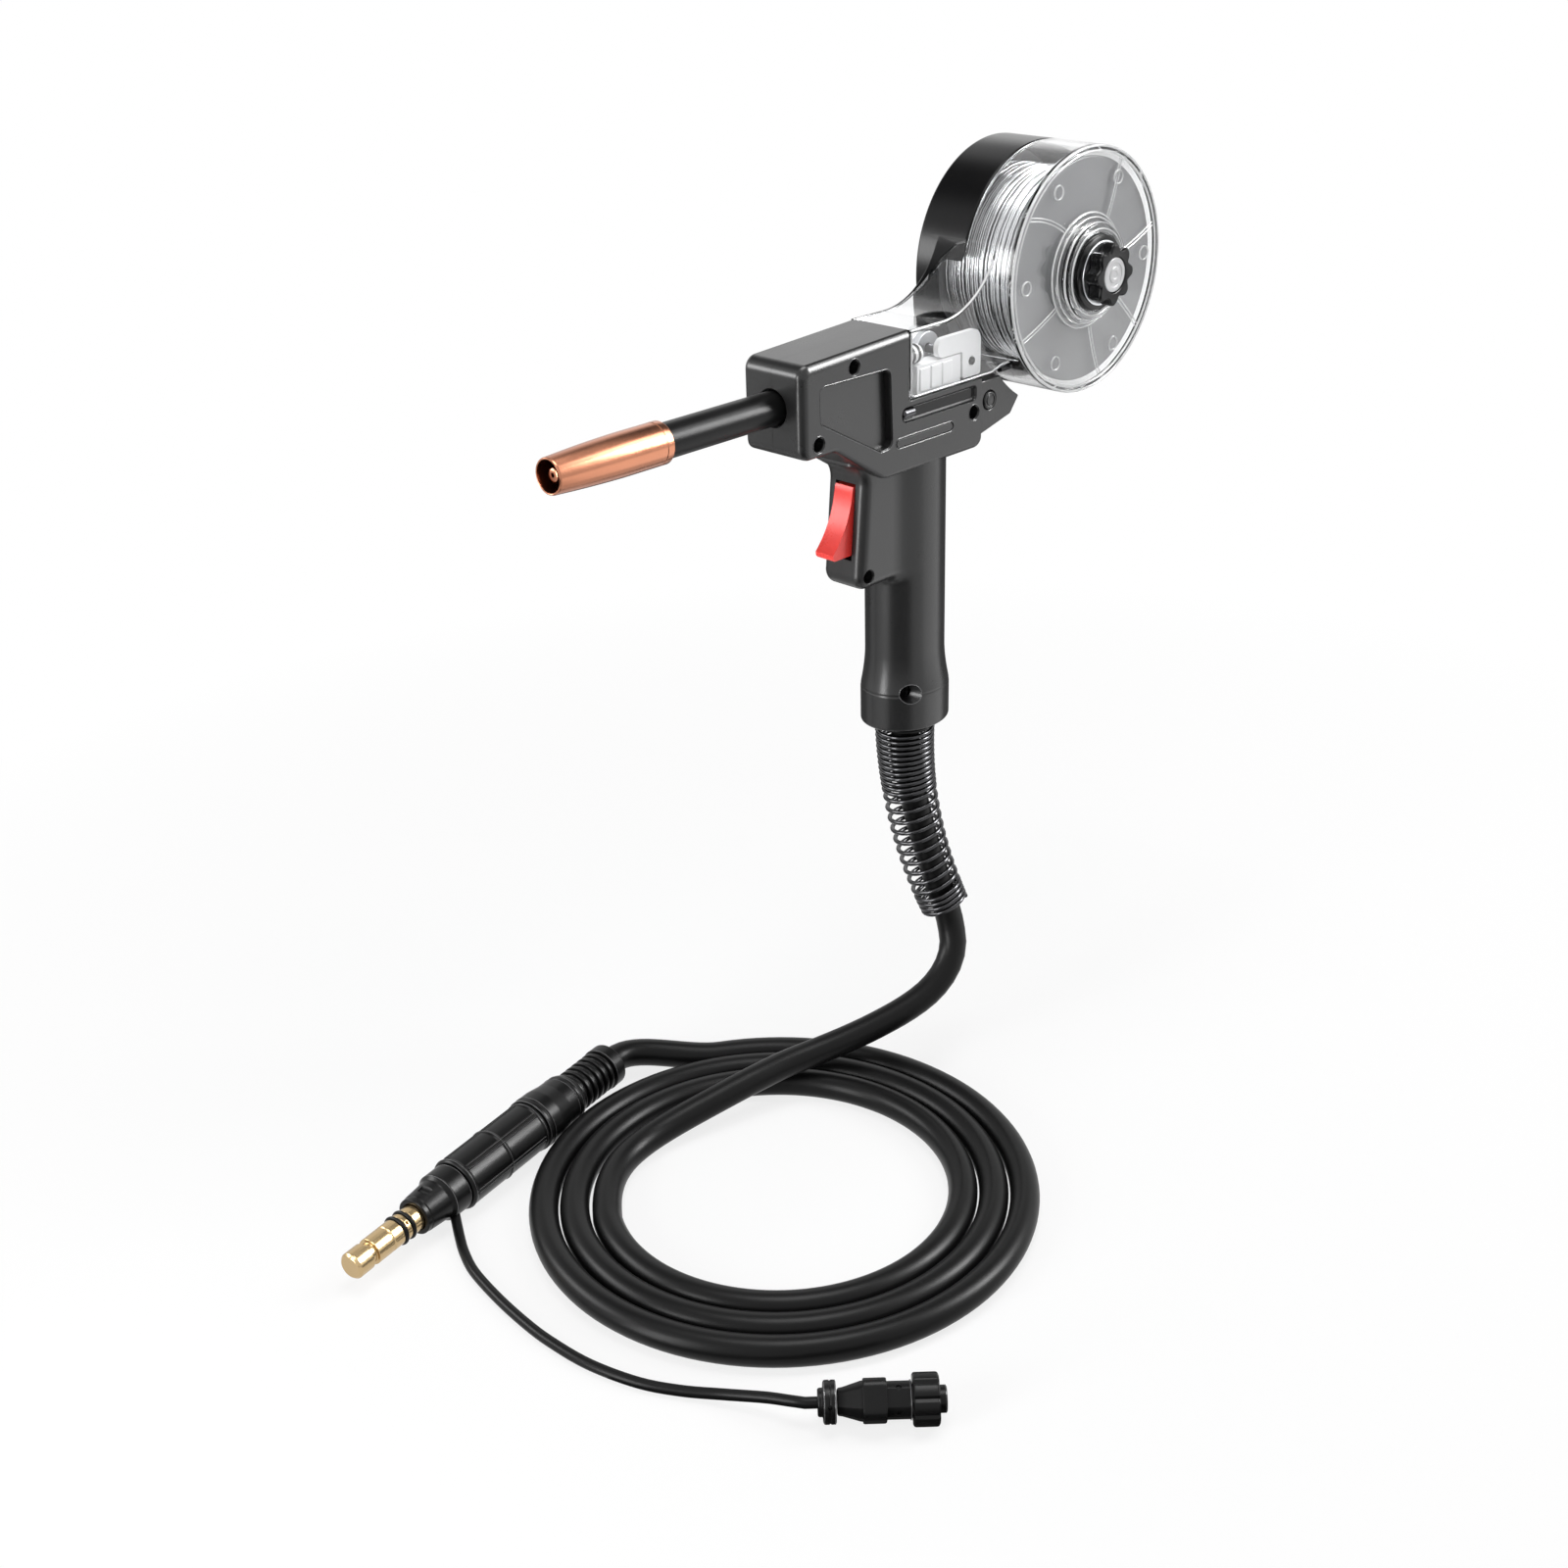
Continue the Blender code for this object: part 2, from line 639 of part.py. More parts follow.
def grip_hollow():
    """What the grip holds: the motor's room, and below it the seat and hole of the cable gland."""
    room = rod(
        "grip_room", GLAND_SEAT_Z + GLAND_FLANGE_HEIGHT, BODY_BOTTOM_Z + SHELL_WALL + 0.004,
        GRIP_RADIUS - GRIP_WALL, (0, 0, 0), UP, 24,
    )
    room.matrix_world = Matrix.Diagonal((1.0, GRIP_WIDTH_RATIO, 1.0, 1.0))
    seat = rod(
        "gland_seat", GLAND_SEAT_Z - CLEARANCE, GLAND_SEAT_Z + 2 * GLAND_FLANGE_HEIGHT,
        GLAND_FLANGE + CLEARANCE, (0, 0, 0), UP, 20,
    )
    hole = rod(
        "gland_hole", GRIP_BOTTOM_Z - 0.01, GLAND_SEAT_Z + 0.001, GLAND_RADIUS + CLEARANCE, (0, 0, 0), UP, 20
    )
    return room, seat, hole


def shell_hollow():
    """Everything that is cut out of a body shell, apart from its screw holes and side details."""
    slot_low = TRIGGER_TOE[1] - TRIGGER_LIP - SLOT_ROOM
    slot_high = TRIGGER_TOP[1] + TRIGGER_HEIGHT_ABOVE + SLOT_ROOM / 2
    slot_rear = -GRIP_RADIUS + GRIP_WALL + 0.003
    floor_z = RAIL_Z - SHELL_WALL
    x_front, x_rear = FLOOR_OPENING
    line = (0, 0, BARREL_Z)
    return (
        prism("room", rounded(inset(body_corners(), SHELL_WALL), 3), -3 * PAST, BODY_HALF_WIDTH - SHELL_WALL),
        *grip_hollow(),
        box("slot", (BLOCK_LOW_FRONT_X - 0.02, -SLOT_SIDE, slot_low), (slot_rear, SLOT_SIDE, slot_high)),
        box(
            "floor_opening", (x_front, -FLOOR_OPENING_HALF, floor_z - PAST),
            (x_rear, FLOOR_OPENING_HALF, RAIL_Z + PAST),
        ),
        rod("barrel_hole", SLEEVE_REAR, BODY_AHEAD + PAST, SLEEVE_RADIUS + CLEARANCE, line, AHEAD, 20),
        rod(
            "guide_hole", -WINDOW_FRONT_X - 2 * PAST, -WINDOW_FRONT_X + 2 * SHELL_WALL, 2 * GUIDE_RADIUS,
            line, AHEAD, 12,
        ),
        rod(
            "trigger_pin_hole", -TRIGGER_PIN_HALF - CLEARANCE, TRIGGER_PIN_HALF + CLEARANCE,
            TRIGGER_PIN_RADIUS + CLEARANCE, (TRIGGER_PIVOT[0], 0, TRIGGER_PIVOT[1]), NEAR, 10,
        ),
    )


def pocket_cutter():
    """The pocket in the side face: nearly flush at its front and deep at its rear wall."""
    corners = [(x, z, POCKET_CORNER) for x, z in POCKET]
    cutter = prism("pocket", rounded(corners, 3), BODY_HALF_WIDTH - POCKET_DEEP, BODY_HALF_WIDTH + PAST)
    front = min(x for x, _ in POCKET)
    rear = max(x for x, _ in POCKET)
    for vertex in cutter.data.vertices:
        if vertex.co.z < 0:
            vertex.co.z += (rear - vertex.co.x) / (rear - front) * (POCKET_DEEP - POCKET_SHALLOW)
    return cutter


def shell_backing():
    """Thicker wall behind the pocket and the groove, and the pillars that the case screws draw together."""
    grown = inset([(x, z, POCKET_CORNER) for x, z in POCKET], -BACKING)
    outer = BODY_HALF_WIDTH - SHELL_WALL / 2
    groove_back = BODY_HALF_WIDTH - GROOVE_DEPTH - BACKING
    pieces = [
        prism("pocket_back", rounded(grown, 3), BODY_HALF_WIDTH - POCKET_DEEP - BACKING, outer),
        box(
            "groove_back", (GROOVE_X[0] - BACKING, -outer, GROOVE_Z[0] - BACKING),
            (GROOVE_X[1] + BACKING, -groove_back, GROOVE_Z[1] + BACKING),
        ),
    ]
    pillar = SCREW_HEAD_RADIUS + CLEARANCE + PILLAR_WALL
    for x, z, half in SCREW_PLACES:
        pieces.append(rod("pillar", CLEARANCE, half - SHELL_WALL / 2, pillar, (x, 0, z), NEAR, 12))
    return pieces


def near_screw_holes():
    """Sunk holes for the screw heads, and the holes that their shanks pass through."""
    holes = []
    for x, z, half in SCREW_PLACES:
        seat = half - SCREW_SINK - SCREW_HEAD_HEIGHT
        holes.append(rod("head_hole", seat, half + 0.01, SCREW_HEAD_RADIUS + CLEARANCE, (x, 0, z), NEAR, 12))
        holes.append(rod("screw_hole", -PAST, seat + PAST / 2, SCREW_RADIUS + CLEARANCE, (x, 0, z), NEAR, 10))
    return holes


def far_screw_holes():
    """Blind holes that the screws hold in."""
    return [
        rod("screw_hole", -SCREW_REACH - CLEARANCE, PAST, SCREW_RADIUS + CLEARANCE, (x, 0, z), NEAR, 10)
        for x, z, _ in SCREW_PLACES
    ]


def half_shell(name):
    """The near half of the body and grip, before its screw holes. One cut parts it from the far half."""
    shell = prism(name, rounded(body_corners(), 3), -2 * PAST, BODY_HALF_WIDTH, material=BLACK_CASE)
    bevel_rim(shell, BODY_HALF_WIDTH / 2 + PAST, SHELL_EDGE)
    block = prism("block", rounded(block_corners(), 4), -PAST, BLOCK_HALF_WIDTH)
    bevel_rim(block, (BLOCK_HALF_WIDTH + PAST) / 2, BLOCK_EDGE)
    shell = join(shell, block, grip_solid())
    shell = cut(shell, *shell_hollow())
    shell = join(shell, *shell_backing())
    groove = box(
        "groove", (GROOVE_X[0], -BODY_HALF_WIDTH - PAST, GROOVE_Z[0]),
        (GROOVE_X[1], -BODY_HALF_WIDTH + GROOVE_DEPTH, GROOVE_Z[1]),
    )
    reach = 2 * BODY_AHEAD
    far_half = box("far_half", (-reach, -CLEARANCE / 2, -reach), (reach, reach, reach))
    return cut(shell, pocket_cutter(), groove, far_half)


def mirrored(obj, name):
    """A copy of a piece on the other side of the parting plane."""
    mesh = obj.data.copy()
    mesh.transform(Matrix.Diagonal((1.0, -1.0, 1.0, 1.0)) @ obj.matrix_world)
    mesh.flip_normals()
    return add_object(name, mesh, Matrix.Identity(4), BLACK_CASE)


def case_screw(index, x, z, half):
    seat = half - SCREW_SINK - SCREW_HEAD_HEIGHT + CLEARANCE
    head = seat + SCREW_HEAD_HEIGHT - CLEARANCE
    return turned(
        f"shell_screw_{index}",
        (
            (head, SCREW_HEAD_RADIUS * 0.8),
            (head - SCREW_HEAD_HEIGHT * 0.3, SCREW_HEAD_RADIUS),
            (seat, SCREW_HEAD_RADIUS),
            (seat, SCREW_RADIUS),
            (-SCREW_REACH, SCREW_RADIUS),
        ),
        at=(x, 0, z), along=NEAR, steps=8, material=BLACK_STEEL,
    )


def make_case():
    near = half_shell("left_shell")
    far = mirrored(near, "right_shell")
    cut(near, *near_screw_holes())
    cut(far, *far_screw_holes())
    for index, (x, z, half) in enumerate(SCREW_PLACES, 1):
        case_screw(index, x, z, half)


def make_tail():
    """The wedge behind the body, whose rear edge runs round the spool case, and the cap of its pin."""
    front = BODY_BEHIND + CLEARANCE
    start = math.acos((TAIL_TOP_Z - DRUM_Z) / TAIL_RADIUS)
    end = math.acos((TAIL_TIP_Z - DRUM_Z) / TAIL_RADIUS)
    arc = [
        (DRUM_X - TAIL_RADIUS * math.sin(turn), DRUM_Z + TAIL_RADIUS * math.cos(turn))
        for turn in (start + (end - start) * step / 4 for step in range(5))
    ]
    outline = [(front, TAIL_BOTTOM_Z), (front, TAIL_TOP_Z), *arc, (arc[-1][0] - 0.006, arc[-1][1] - 0.0075)]
    bracket = prism("tail_bracket", outline, -TAIL_HALF_WIDTH, TAIL_HALF_WIDTH, material=BLACK_CASE)
    hole = rod(
        "pin_hole", -TAIL_HALF_WIDTH - 0.01, TAIL_HALF_WIDTH + 0.01, TAIL_PIN_RADIUS + CLEARANCE,
        (TAIL_PIN[0], 0, TAIL_PIN[1]), NEAR, 14,
    )
    cut(bracket, hole)
    reach = TAIL_HALF_WIDTH + TAIL_PIN_STAND
    rod("bracket_pin", -reach, reach, TAIL_PIN_RADIUS, (TAIL_PIN[0], 0, TAIL_PIN[1]), NEAR, 14, BLACK_CASE)


def make_barrel():
    line = (0, 0, BARREL_Z)
    bore = NOZZLE_RADIUS - NOZZLE_WALL
    mouth_bore = MOUTH_RADIUS - NOZZLE_WALL
    step = NOZZLE_END - NOZZLE_TAPER
    turned(
        "nozzle",
        (
            (NOZZLE_END, MOUTH_RADIUS - NOZZLE_WALL / 2), (NOZZLE_END - NOZZLE_WALL / 2, MOUTH_RADIUS),
            (step, NOZZLE_RADIUS), (BARREL_END, NOZZLE_RADIUS),
        ),
        ((BARREL_END, bore), (step - 0.004, bore), (step, mouth_bore), (NOZZLE_END, mouth_bore)),
        line, AHEAD, 20, COPPER,
    )
    insulator_bore = SLEEVE_RADIUS - SLEEVE_WALL + 2 * CLEARANCE
    ring(
        "nozzle_insulator", BARREL_END + CLEARANCE, step - 0.006, bore - CLEARANCE, insulator_bore,
        line, AHEAD, 20, FIBRE,
    )
    tip_end = NOZZLE_END - TIP_RECESS
    tip_rear = tip_end - TIP_LENGTH
    socket = tip_rear + 0.008
    turned(
        "contact_tip",
        (
            (tip_end, TIP_RADIUS * 0.9), (tip_end - 0.004, TIP_RADIUS), (socket + CLEARANCE, TIP_RADIUS),
            (socket + CLEARANCE, TIP_RADIUS * 0.8), (tip_rear, TIP_RADIUS * 0.8),
        ),
        ((tip_rear, WIRE_BORE), (tip_end, WIRE_BORE)),
        line, AHEAD, 16, COPPER,
    )
    diffuser_rear = BARREL_END - CLEARANCE
    diffuser = insulator_bore - CLEARANCE
    thread = TIP_RADIUS * 0.8 + CLEARANCE
    turned(
        "gas_diffuser",
        (
            (socket, diffuser * 0.8), (step - 0.003, diffuser * 0.8), (step - 0.0055, diffuser),
            (diffuser_rear, diffuser),
        ),
        (
            (diffuser_rear, CONDUCTOR_BORE), (tip_rear - CLEARANCE, CONDUCTOR_BORE),
            (tip_rear - CLEARANCE, thread), (socket, thread),
        ),
        line, AHEAD, 12, BRASS,
    )
    conductor = SLEEVE_RADIUS - SLEEVE_WALL - CLEARANCE
    conductor_rear = BLOCK_REAR + BLOCK_LENGTH / 2
    ring(
        "barrel_conductor", conductor_rear + CLEARANCE, diffuser_rear - CLEARANCE, conductor, CONDUCTOR_BORE,
        line, AHEAD, 16, BRASS,
    )
    ring(
        "barrel_sleeve", SLEEVE_REAR, BARREL_END - CLEARANCE, SLEEVE_RADIUS, SLEEVE_RADIUS - SLEEVE_WALL,
        line, AHEAD, 24, BLACK_CASE,
    )
    front = SLEEVE_REAR - CLEARANCE
    block = box(
        "barrel_block", (-front, -BLOCK_HALF, BARREL_Z - BLOCK_HALF),
        (-BLOCK_REAR, BLOCK_HALF, BARREL_Z + BLOCK_HALF), BRASS,
    )
    cut(
        block,
        rod("socket", conductor_rear, front + 0.01, conductor + CLEARANCE, line, AHEAD, 16),
        rod("passage", BLOCK_REAR - 0.01, conductor_rear + 0.001, WIRE_BORE * 1.5, line, AHEAD, 10),
    )


def neck_corner_points():
    """Where the neck's concave fillet starts on the neck's top line, and its centre."""
    rise = BODY_TOP_Z + NECK_FILLET - DRUM_Z
    run = math.sqrt((DRUM_RADIUS + NECK_FILLET) ** 2 - rise ** 2)
    return DRUM_X - run, BODY_TOP_Z + NECK_FILLET


def fillet_arc(radius, steps=7):
    """Points of the fillet from the neck's top line to the spool case, at a radius about its centre."""
    x, z = neck_corner_points()
    last = math.atan2(DRUM_Z - z, DRUM_X - x)
    first = -math.pi / 2
    return [
        (x + radius * math.cos(turn), z + radius * math.sin(turn))
        for turn in (first + (last - first) * step / steps for step in range(steps + 1))
    ]


def neck_outline():
    front = WINDOW_FRONT_X + CLEARANCE
    bottom = RAIL_Z + CLEARANCE
    inside = DRUM_X - DRUM_BORE * 0.75
    return [
        (front, bottom), (NECK_RAIL_END_X, bottom), (inside, bottom + NECK_RAIL_RISE), (inside, DRUM_Z),
        *reversed(fillet_arc(NECK_FILLET)), (front, BODY_TOP_Z),
    ]


def neck_passage_outline():
    front = WINDOW_FRONT_X - 0.01
    inside = DRUM_X - DRUM_BORE * 0.65
    return [
        (front, RAIL_Z - 0.012), (NECK_RAIL_END_X, RAIL_Z - 0.004), (inside, RAIL_Z + 0.0005),
        (inside, DRUM_Z + 0.015), *reversed(fillet_arc(NECK_FILLET + NECK_WALL)),
        (front, BODY_TOP_Z - NECK_WALL),
    ]


def drum_core(name, radius, start, end):
    return rod(name, start, end, radius, DRUM_AXIS, NEAR, 36)


def make_cover():
    """The clear near half of the spool case, with the side and top of the neck and the boss for the knob."""
    face = DRUM_NEAR - FACE_SINK
    seam = CLEARANCE / 2
    far_side = BODY_HALF_WIDTH - NECK_WALL - CLEARANCE
    cup = turned(
        "cup",
        (
            (BOSS_TOP, BOSS_BORE), (BOSS_TOP, BOSS_RADIUS - EDGE_ROUND / 2),
            (BOSS_TOP - EDGE_ROUND / 2, BOSS_RADIUS), (face, BOSS_RADIUS), (face, DRUM_RADIUS - RIM_WIDTH),
            (DRUM_NEAR, DRUM_RADIUS - RIM_WIDTH), (DRUM_NEAR, DRUM_RADIUS - EDGE_ROUND),
            (DRUM_NEAR - EDGE_ROUND, DRUM_RADIUS), (seam, DRUM_RADIUS),
        ),
        ((seam, DRUM_BORE), (FACE_INSIDE, DRUM_BORE), (FACE_INSIDE, BOSS_BORE)),
        DRUM_AXIS, NEAR, 36,
    )
    neck = prism("spool_cover", neck_outline(), -far_side, BODY_HALF_WIDTH, material=CLEAR_CASE)
    middle = DRUM_RADIUS - DRUM_WALL / 2
    cover = cut(
        neck,
        drum_core("core", middle, -0.05, 0.05),
        box("far_part", (NECK_SPLIT_X, -seam, 0.0), (DRUM_X, 0.05, 2 * DRUM_Z)),
    )
    cover = join(cover, cup)
    passage = prism("passage", neck_passage_outline(), -0.05, BODY_HALF_WIDTH - NECK_WALL)
    cut(cover, passage)


def make_housing():
    """The black far half of the spool case, with the far wall of the neck."""
    seam = CLEARANCE / 2
    wall = BODY_HALF_WIDTH - NECK_WALL
    cup = turned(
        "cup",
        (
            (DRUM_FAR, DRUM_RADIUS - EDGE_ROUND), (DRUM_FAR - EDGE_ROUND, DRUM_RADIUS), (seam, DRUM_RADIUS),
            (seam, DRUM_BORE), (BACK_INSIDE, DRUM_BORE),
        ),
        at=DRUM_AXIS, along=(0, 1, 0), steps=36,
    )
    neck = prism("spool_housing", neck_outline(), -BODY_HALF_WIDTH, -seam, material=BLACK_CASE)
    middle = DRUM_RADIUS - DRUM_WALL / 2
    split = NECK_SPLIT_X + CLEARANCE
    housing = cut(
        neck,
        drum_core("core", middle, -0.05, 0.05),
        box("near_part", (WINDOW_FRONT_X - 0.01, -0.01, 0.0), (split, wall, 2 * DRUM_Z)),
    )
    housing = join(housing, cup)
    passage = prism("passage", neck_passage_outline(), -wall, 0.05)
    cut(housing, passage)


def make_spool():
    rim = SPOOL_FLANGE * 0.3
    near_in = SPOOL_NEAR - SPOOL_FLANGE
    far_in = -SPOOL_FAR + SPOOL_FLANGE
    bore = SPINDLE_RADIUS + RUNNING
    turned(
        "spool",
        (
            (SPOOL_NEAR, bore), (SPOOL_NEAR, SPOOL_RADIUS - rim), (SPOOL_NEAR - rim, SPOOL_RADIUS),
            (near_in + rim, SPOOL_RADIUS), (near_in, SPOOL_RADIUS - rim), (near_in, SPOOL_HUB),
            (far_in, SPOOL_HUB), (far_in, SPOOL_RADIUS - rim), (far_in - rim, SPOOL_RADIUS),
            (-SPOOL_FAR + rim, SPOOL_RADIUS), (-SPOOL_FAR, SPOOL_RADIUS - rim),
        ),
        ((-SPOOL_FAR, bore),),
        DRUM_AXIS, NEAR, 24, GREY_SPOOL,
    )
    core = WINDING_RADIUS * math.cos(math.pi / COIL_POINTS) - WINDING_STRAND - CLEARANCE
    ring(
        "wire_core", far_in + CLEARANCE, near_in - CLEARANCE, core, SPOOL_HUB + CLEARANCE,
        DRUM_AXIS, NEAR, 24, WIRE,
    )
    margin = WINDING_STRAND + CLEARANCE
    low, high = far_in + margin, near_in - margin
    points = []
    for step in range(WINDING_LOOPS * COIL_POINTS + 1):
        turn = 2 * math.pi * step / COIL_POINTS
        across = low + (high - low) * step / (WINDING_LOOPS * COIL_POINTS)
        x = DRUM_X + WINDING_RADIUS * math.cos(turn)
        points.append(Vector((x, -across, DRUM_Z + WINDING_RADIUS * math.sin(turn))))
    print("wire_winding least gap mm", round(1000 * least_gap(points, WINDING_STRAND, COIL_POINTS // 2), 3))
    tube("wire_winding", points, WINDING_STRAND, 1, WIRE)


def make_hub():
    """The spindle that carries the spool, its brake, and the knob that holds the cover."""
    shoulder = SPOOL_NEAR + 2 * CLEARANCE
    end = KNOB_FRONT - KNOB_DISC_SINK - 0.0025
    turned(
        "spindle",
        (
            (end, SPINDLE_END_RADIUS), (shoulder, SPINDLE_END_RADIUS), (shoulder, SPINDLE_RADIUS),
            (-SPOOL_FAR - CLEARANCE, SPINDLE_RADIUS), (-SPOOL_FAR - CLEARANCE, SPINDLE_FLANGE),
            (-BACK_INSIDE + CLEARANCE, SPINDLE_FLANGE),
        ),
        at=DRUM_AXIS, along=NEAR, steps=20, material=STEEL,
    )
    washer_top = shoulder + CLEARANCE + WASHER_HEIGHT
    ring(
        "brake_washer", shoulder + CLEARANCE, washer_top, COLLAR_BORE - 2 * CLEARANCE,
        SPINDLE_END_RADIUS + CLEARANCE, DRUM_AXIS, NEAR, 16, STEEL,
    )
    low = washer_top + BRAKE_SPRING_WIRE + CLEARANCE
    high = KNOB_BACK - BRAKE_SPRING_WIRE - CLEARANCE
    per_curl = 9
    points = []
    for step in range(BRAKE_SPRING_CURLS * per_curl + 1):
        turn = 2 * math.pi * step / per_curl
        across = low + (high - low) * step / (BRAKE_SPRING_CURLS * per_curl)
        radius = BRAKE_SPRING_RADIUS
        points.append(Vector((DRUM_X + radius * math.cos(turn), -across, DRUM_Z + radius * math.sin(turn))))
    print("brake_spring least gap mm", round(1000 * least_gap(points, BRAKE_SPRING_WIRE, 5), 3))
    tube("brake_spring", points, BRAKE_SPRING_WIRE, 1, STEEL)
    ring(
        "knob_collar", FACE_INSIDE + CLEARANCE, KNOB_BACK - CLEARANCE, COLLAR_RADIUS, COLLAR_BORE,
        DRUM_AXIS, NEAR, 24, BLACK_CASE,
    )
    outline = lobed(KNOB_RADIUS, KNOB_LOBES, KNOB_SCALLOP)
    knob = prism("knob", outline, KNOB_BACK, KNOB_FRONT, DRUM_AXIS, NEAR, BLACK_CASE)
    floor = KNOB_FRONT - KNOB_DISC_SINK
    cut(
        knob,
        rod("recess", floor, KNOB_FRONT + 0.01, KNOB_DISC_RADIUS + CLEARANCE, DRUM_AXIS, NEAR, 20),
        rod("thread", KNOB_BACK - 0.01, end + CLEARANCE, SPINDLE_END_RADIUS + CLEARANCE, DRUM_AXIS, NEAR, 12),
    )
    rod(
        "knob_disc", floor + CLEARANCE, KNOB_FRONT - CLEARANCE, KNOB_DISC_RADIUS, DRUM_AXIS, NEAR, 20, STEEL
    )


def grooved_roll(name, radius, bore, z):
    half = ROLL_HALF_WIDTH
    lip = 4 * ROLL_GROOVE
    at = (ROLL_X, 0, z)
    return turned(
        name,
        ((half, radius), (lip / 2, radius), (0.0, radius - ROLL_GROOVE), (-lip / 2, radius), (-half, radius)),
        ((-half, bore), (half, bore)),
        at, NEAR, 16, STEEL,
    )


def make_frame():
    """The white frame in the window, which carries the wire guides, the drive shaft and the pressure arm."""
    pivot_x, pivot_z = ARM_PIVOT
    top = pivot_z + FRAME_RISE
    foot_z = RAIL_Z + CLEARANCE
    foot_x = WINDOW_FRONT_X + 2 * CLEARANCE
    front_x = FLOOR_OPENING[0] + 0.0015
    plate_end = pivot_x + 2 * GUIDE_RADIUS
    cheek_end = pivot_x - ARM_TAB - CHEEK_ROOM
    rear_x = SCREW_PLACES[2][0] - SCREW_HEAD_RADIUS - PILLAR_WALL - 3 * CLEARANCE
    low_z = DRIVE_ROLL_Z - DRIVE_ROLL_RADIUS + 0.003
    step = 0.0005
    frame = box("drive_frame", (front_x, -FRAME_NEAR, low_z), (rear_x, -FRAME_FAR, top), WHITE_PLASTIC)
    frame = join(
        frame,
        box(
            "ledge", (front_x + 4 * step, -FRAME_NEAR + step, foot_z + 2 * step),
            (plate_end, -FRAME_FAR - step, top - step),
        ),
        box(
            "cheek", (front_x + 2 * step, -ARM_NEAR, foot_z),
            (cheek_end, -FRAME_NEAR + 2 * step, top + CLEARANCE),
        ),
        box("foot", (foot_x, -FRAME_NEAR - 2 * step, foot_z), (front_x + step, 0.006, top - 2 * step)),
        box(
            "guide_block", (pivot_x - 1.7 * GUIDE_RADIUS, -FRAME_FAR - 2 * step, BARREL_Z - 2 * GUIDE_RADIUS),
            (plate_end - step, 2 * GUIDE_RADIUS, BARREL_Z + 1.8 * GUIDE_RADIUS),
        ),
    )
    cut(
        frame,
        rod(
            "guide_bore", -plate_end - PAST, -foot_x + PAST, GUIDE_RADIUS + CLEARANCE,
            (0, 0, BARREL_Z), AHEAD, 12,
        ),
        rod(
            "shaft_bore", -PAST, ARM_NEAR + PAST, SHAFT_RADIUS + RUNNING,
            (ROLL_X, 0, DRIVE_ROLL_Z), NEAR, 12,
        ),
        rod(
            "pin_bore", FRAME_FAR + 2 * CLEARANCE, ARM_NEAR + PAST, ARM_PIN_RADIUS + CLEARANCE,
            (pivot_x, 0, pivot_z), NEAR, 12,
        ),
    )


def make_pressure_arm():
    """The arm that presses the upper roll on the wire, with the pins that it turns on and carries."""
    pivot_x, pivot_z = ARM_PIVOT
    back = ARM_NEAR - ARM_THICKNESS
    pin_end = back + ARM_THICKNESS * 0.8
    low, beam, top = pivot_z - ARM_TAB_DROP, pivot_z + ARM_BEAM_LOW, pivot_z + ARM_RISE
    nose = ROLL_X - ARM_NOSE
    arm = prism(
        "pressure_arm",
        rounded(
            [
                (pivot_x - ARM_TAB, low, 0.0015), (pivot_x + ARM_TAB, low, 0.0015),
                (pivot_x + ARM_TAB, top, 0.005), (nose, top, 0.004),
                (nose, beam, 0.003), (pivot_x - ARM_TAB, beam, 0.001),
            ],
            3,
        ),
        back, ARM_NEAR, material=WHITE_PLASTIC,
    )
    roll_at = (ROLL_X, 0, PRESSURE_ROLL_Z)
    pivot_at = (pivot_x, 0, pivot_z)
    cut(
        arm,
        rod("pin_hole", 0.0, ARM_NEAR + PAST, ARM_PIN_RADIUS + CLEARANCE, pivot_at, NEAR, 12),
        rod("roll_hole", 0.0, pin_end + CLEARANCE, ROLL_PIN_RADIUS + CLEARANCE, roll_at, NEAR, 12),
    )
    rod("roll_pin", -ROLL_HALF_WIDTH - 2 * CLEARANCE, pin_end, ROLL_PIN_RADIUS, roll_at, NEAR, 12, STEEL)
    rod(
        "arm_pin", FRAME_FAR + 3 * CLEARANCE, ARM_NEAR + 2 * CLEARANCE, ARM_PIN_RADIUS,
        pivot_at, NEAR, 12, STEEL,
    )


def make_wire_drive():
    make_frame()
    line = (0, 0, BARREL_Z)
    shaft_at = (ROLL_X, 0, DRIVE_ROLL_Z)
    ring("outlet_guide", 0.0, BLOCK_REAR - CLEARANCE, GUIDE_RADIUS, WIRE_BORE, line, AHEAD, 12, BRASS)
    ring(
        "inlet_guide", -ARM_PIVOT[0] - 0.0095, -ARM_PIVOT[0] + 0.0055, GUIDE_RADIUS, WIRE_BORE,
        line, AHEAD, 12, BRASS,
    )
    rod("drive_shaft", -TOWER_FACE + 0.0012, FRAME_NEAR - 0.0008, SHAFT_RADIUS, shaft_at, NEAR, 12, STEEL)
    grooved_roll("drive_roll", DRIVE_ROLL_RADIUS, SHAFT_RADIUS + CLEARANCE, DRIVE_ROLL_Z)
    grooved_roll("pressure_roll", PRESSURE_ROLL_RADIUS, ROLL_PIN_RADIUS + RUNNING, PRESSURE_ROLL_Z)
    make_pressure_arm()
    make_motor()
    make_feed_wire()


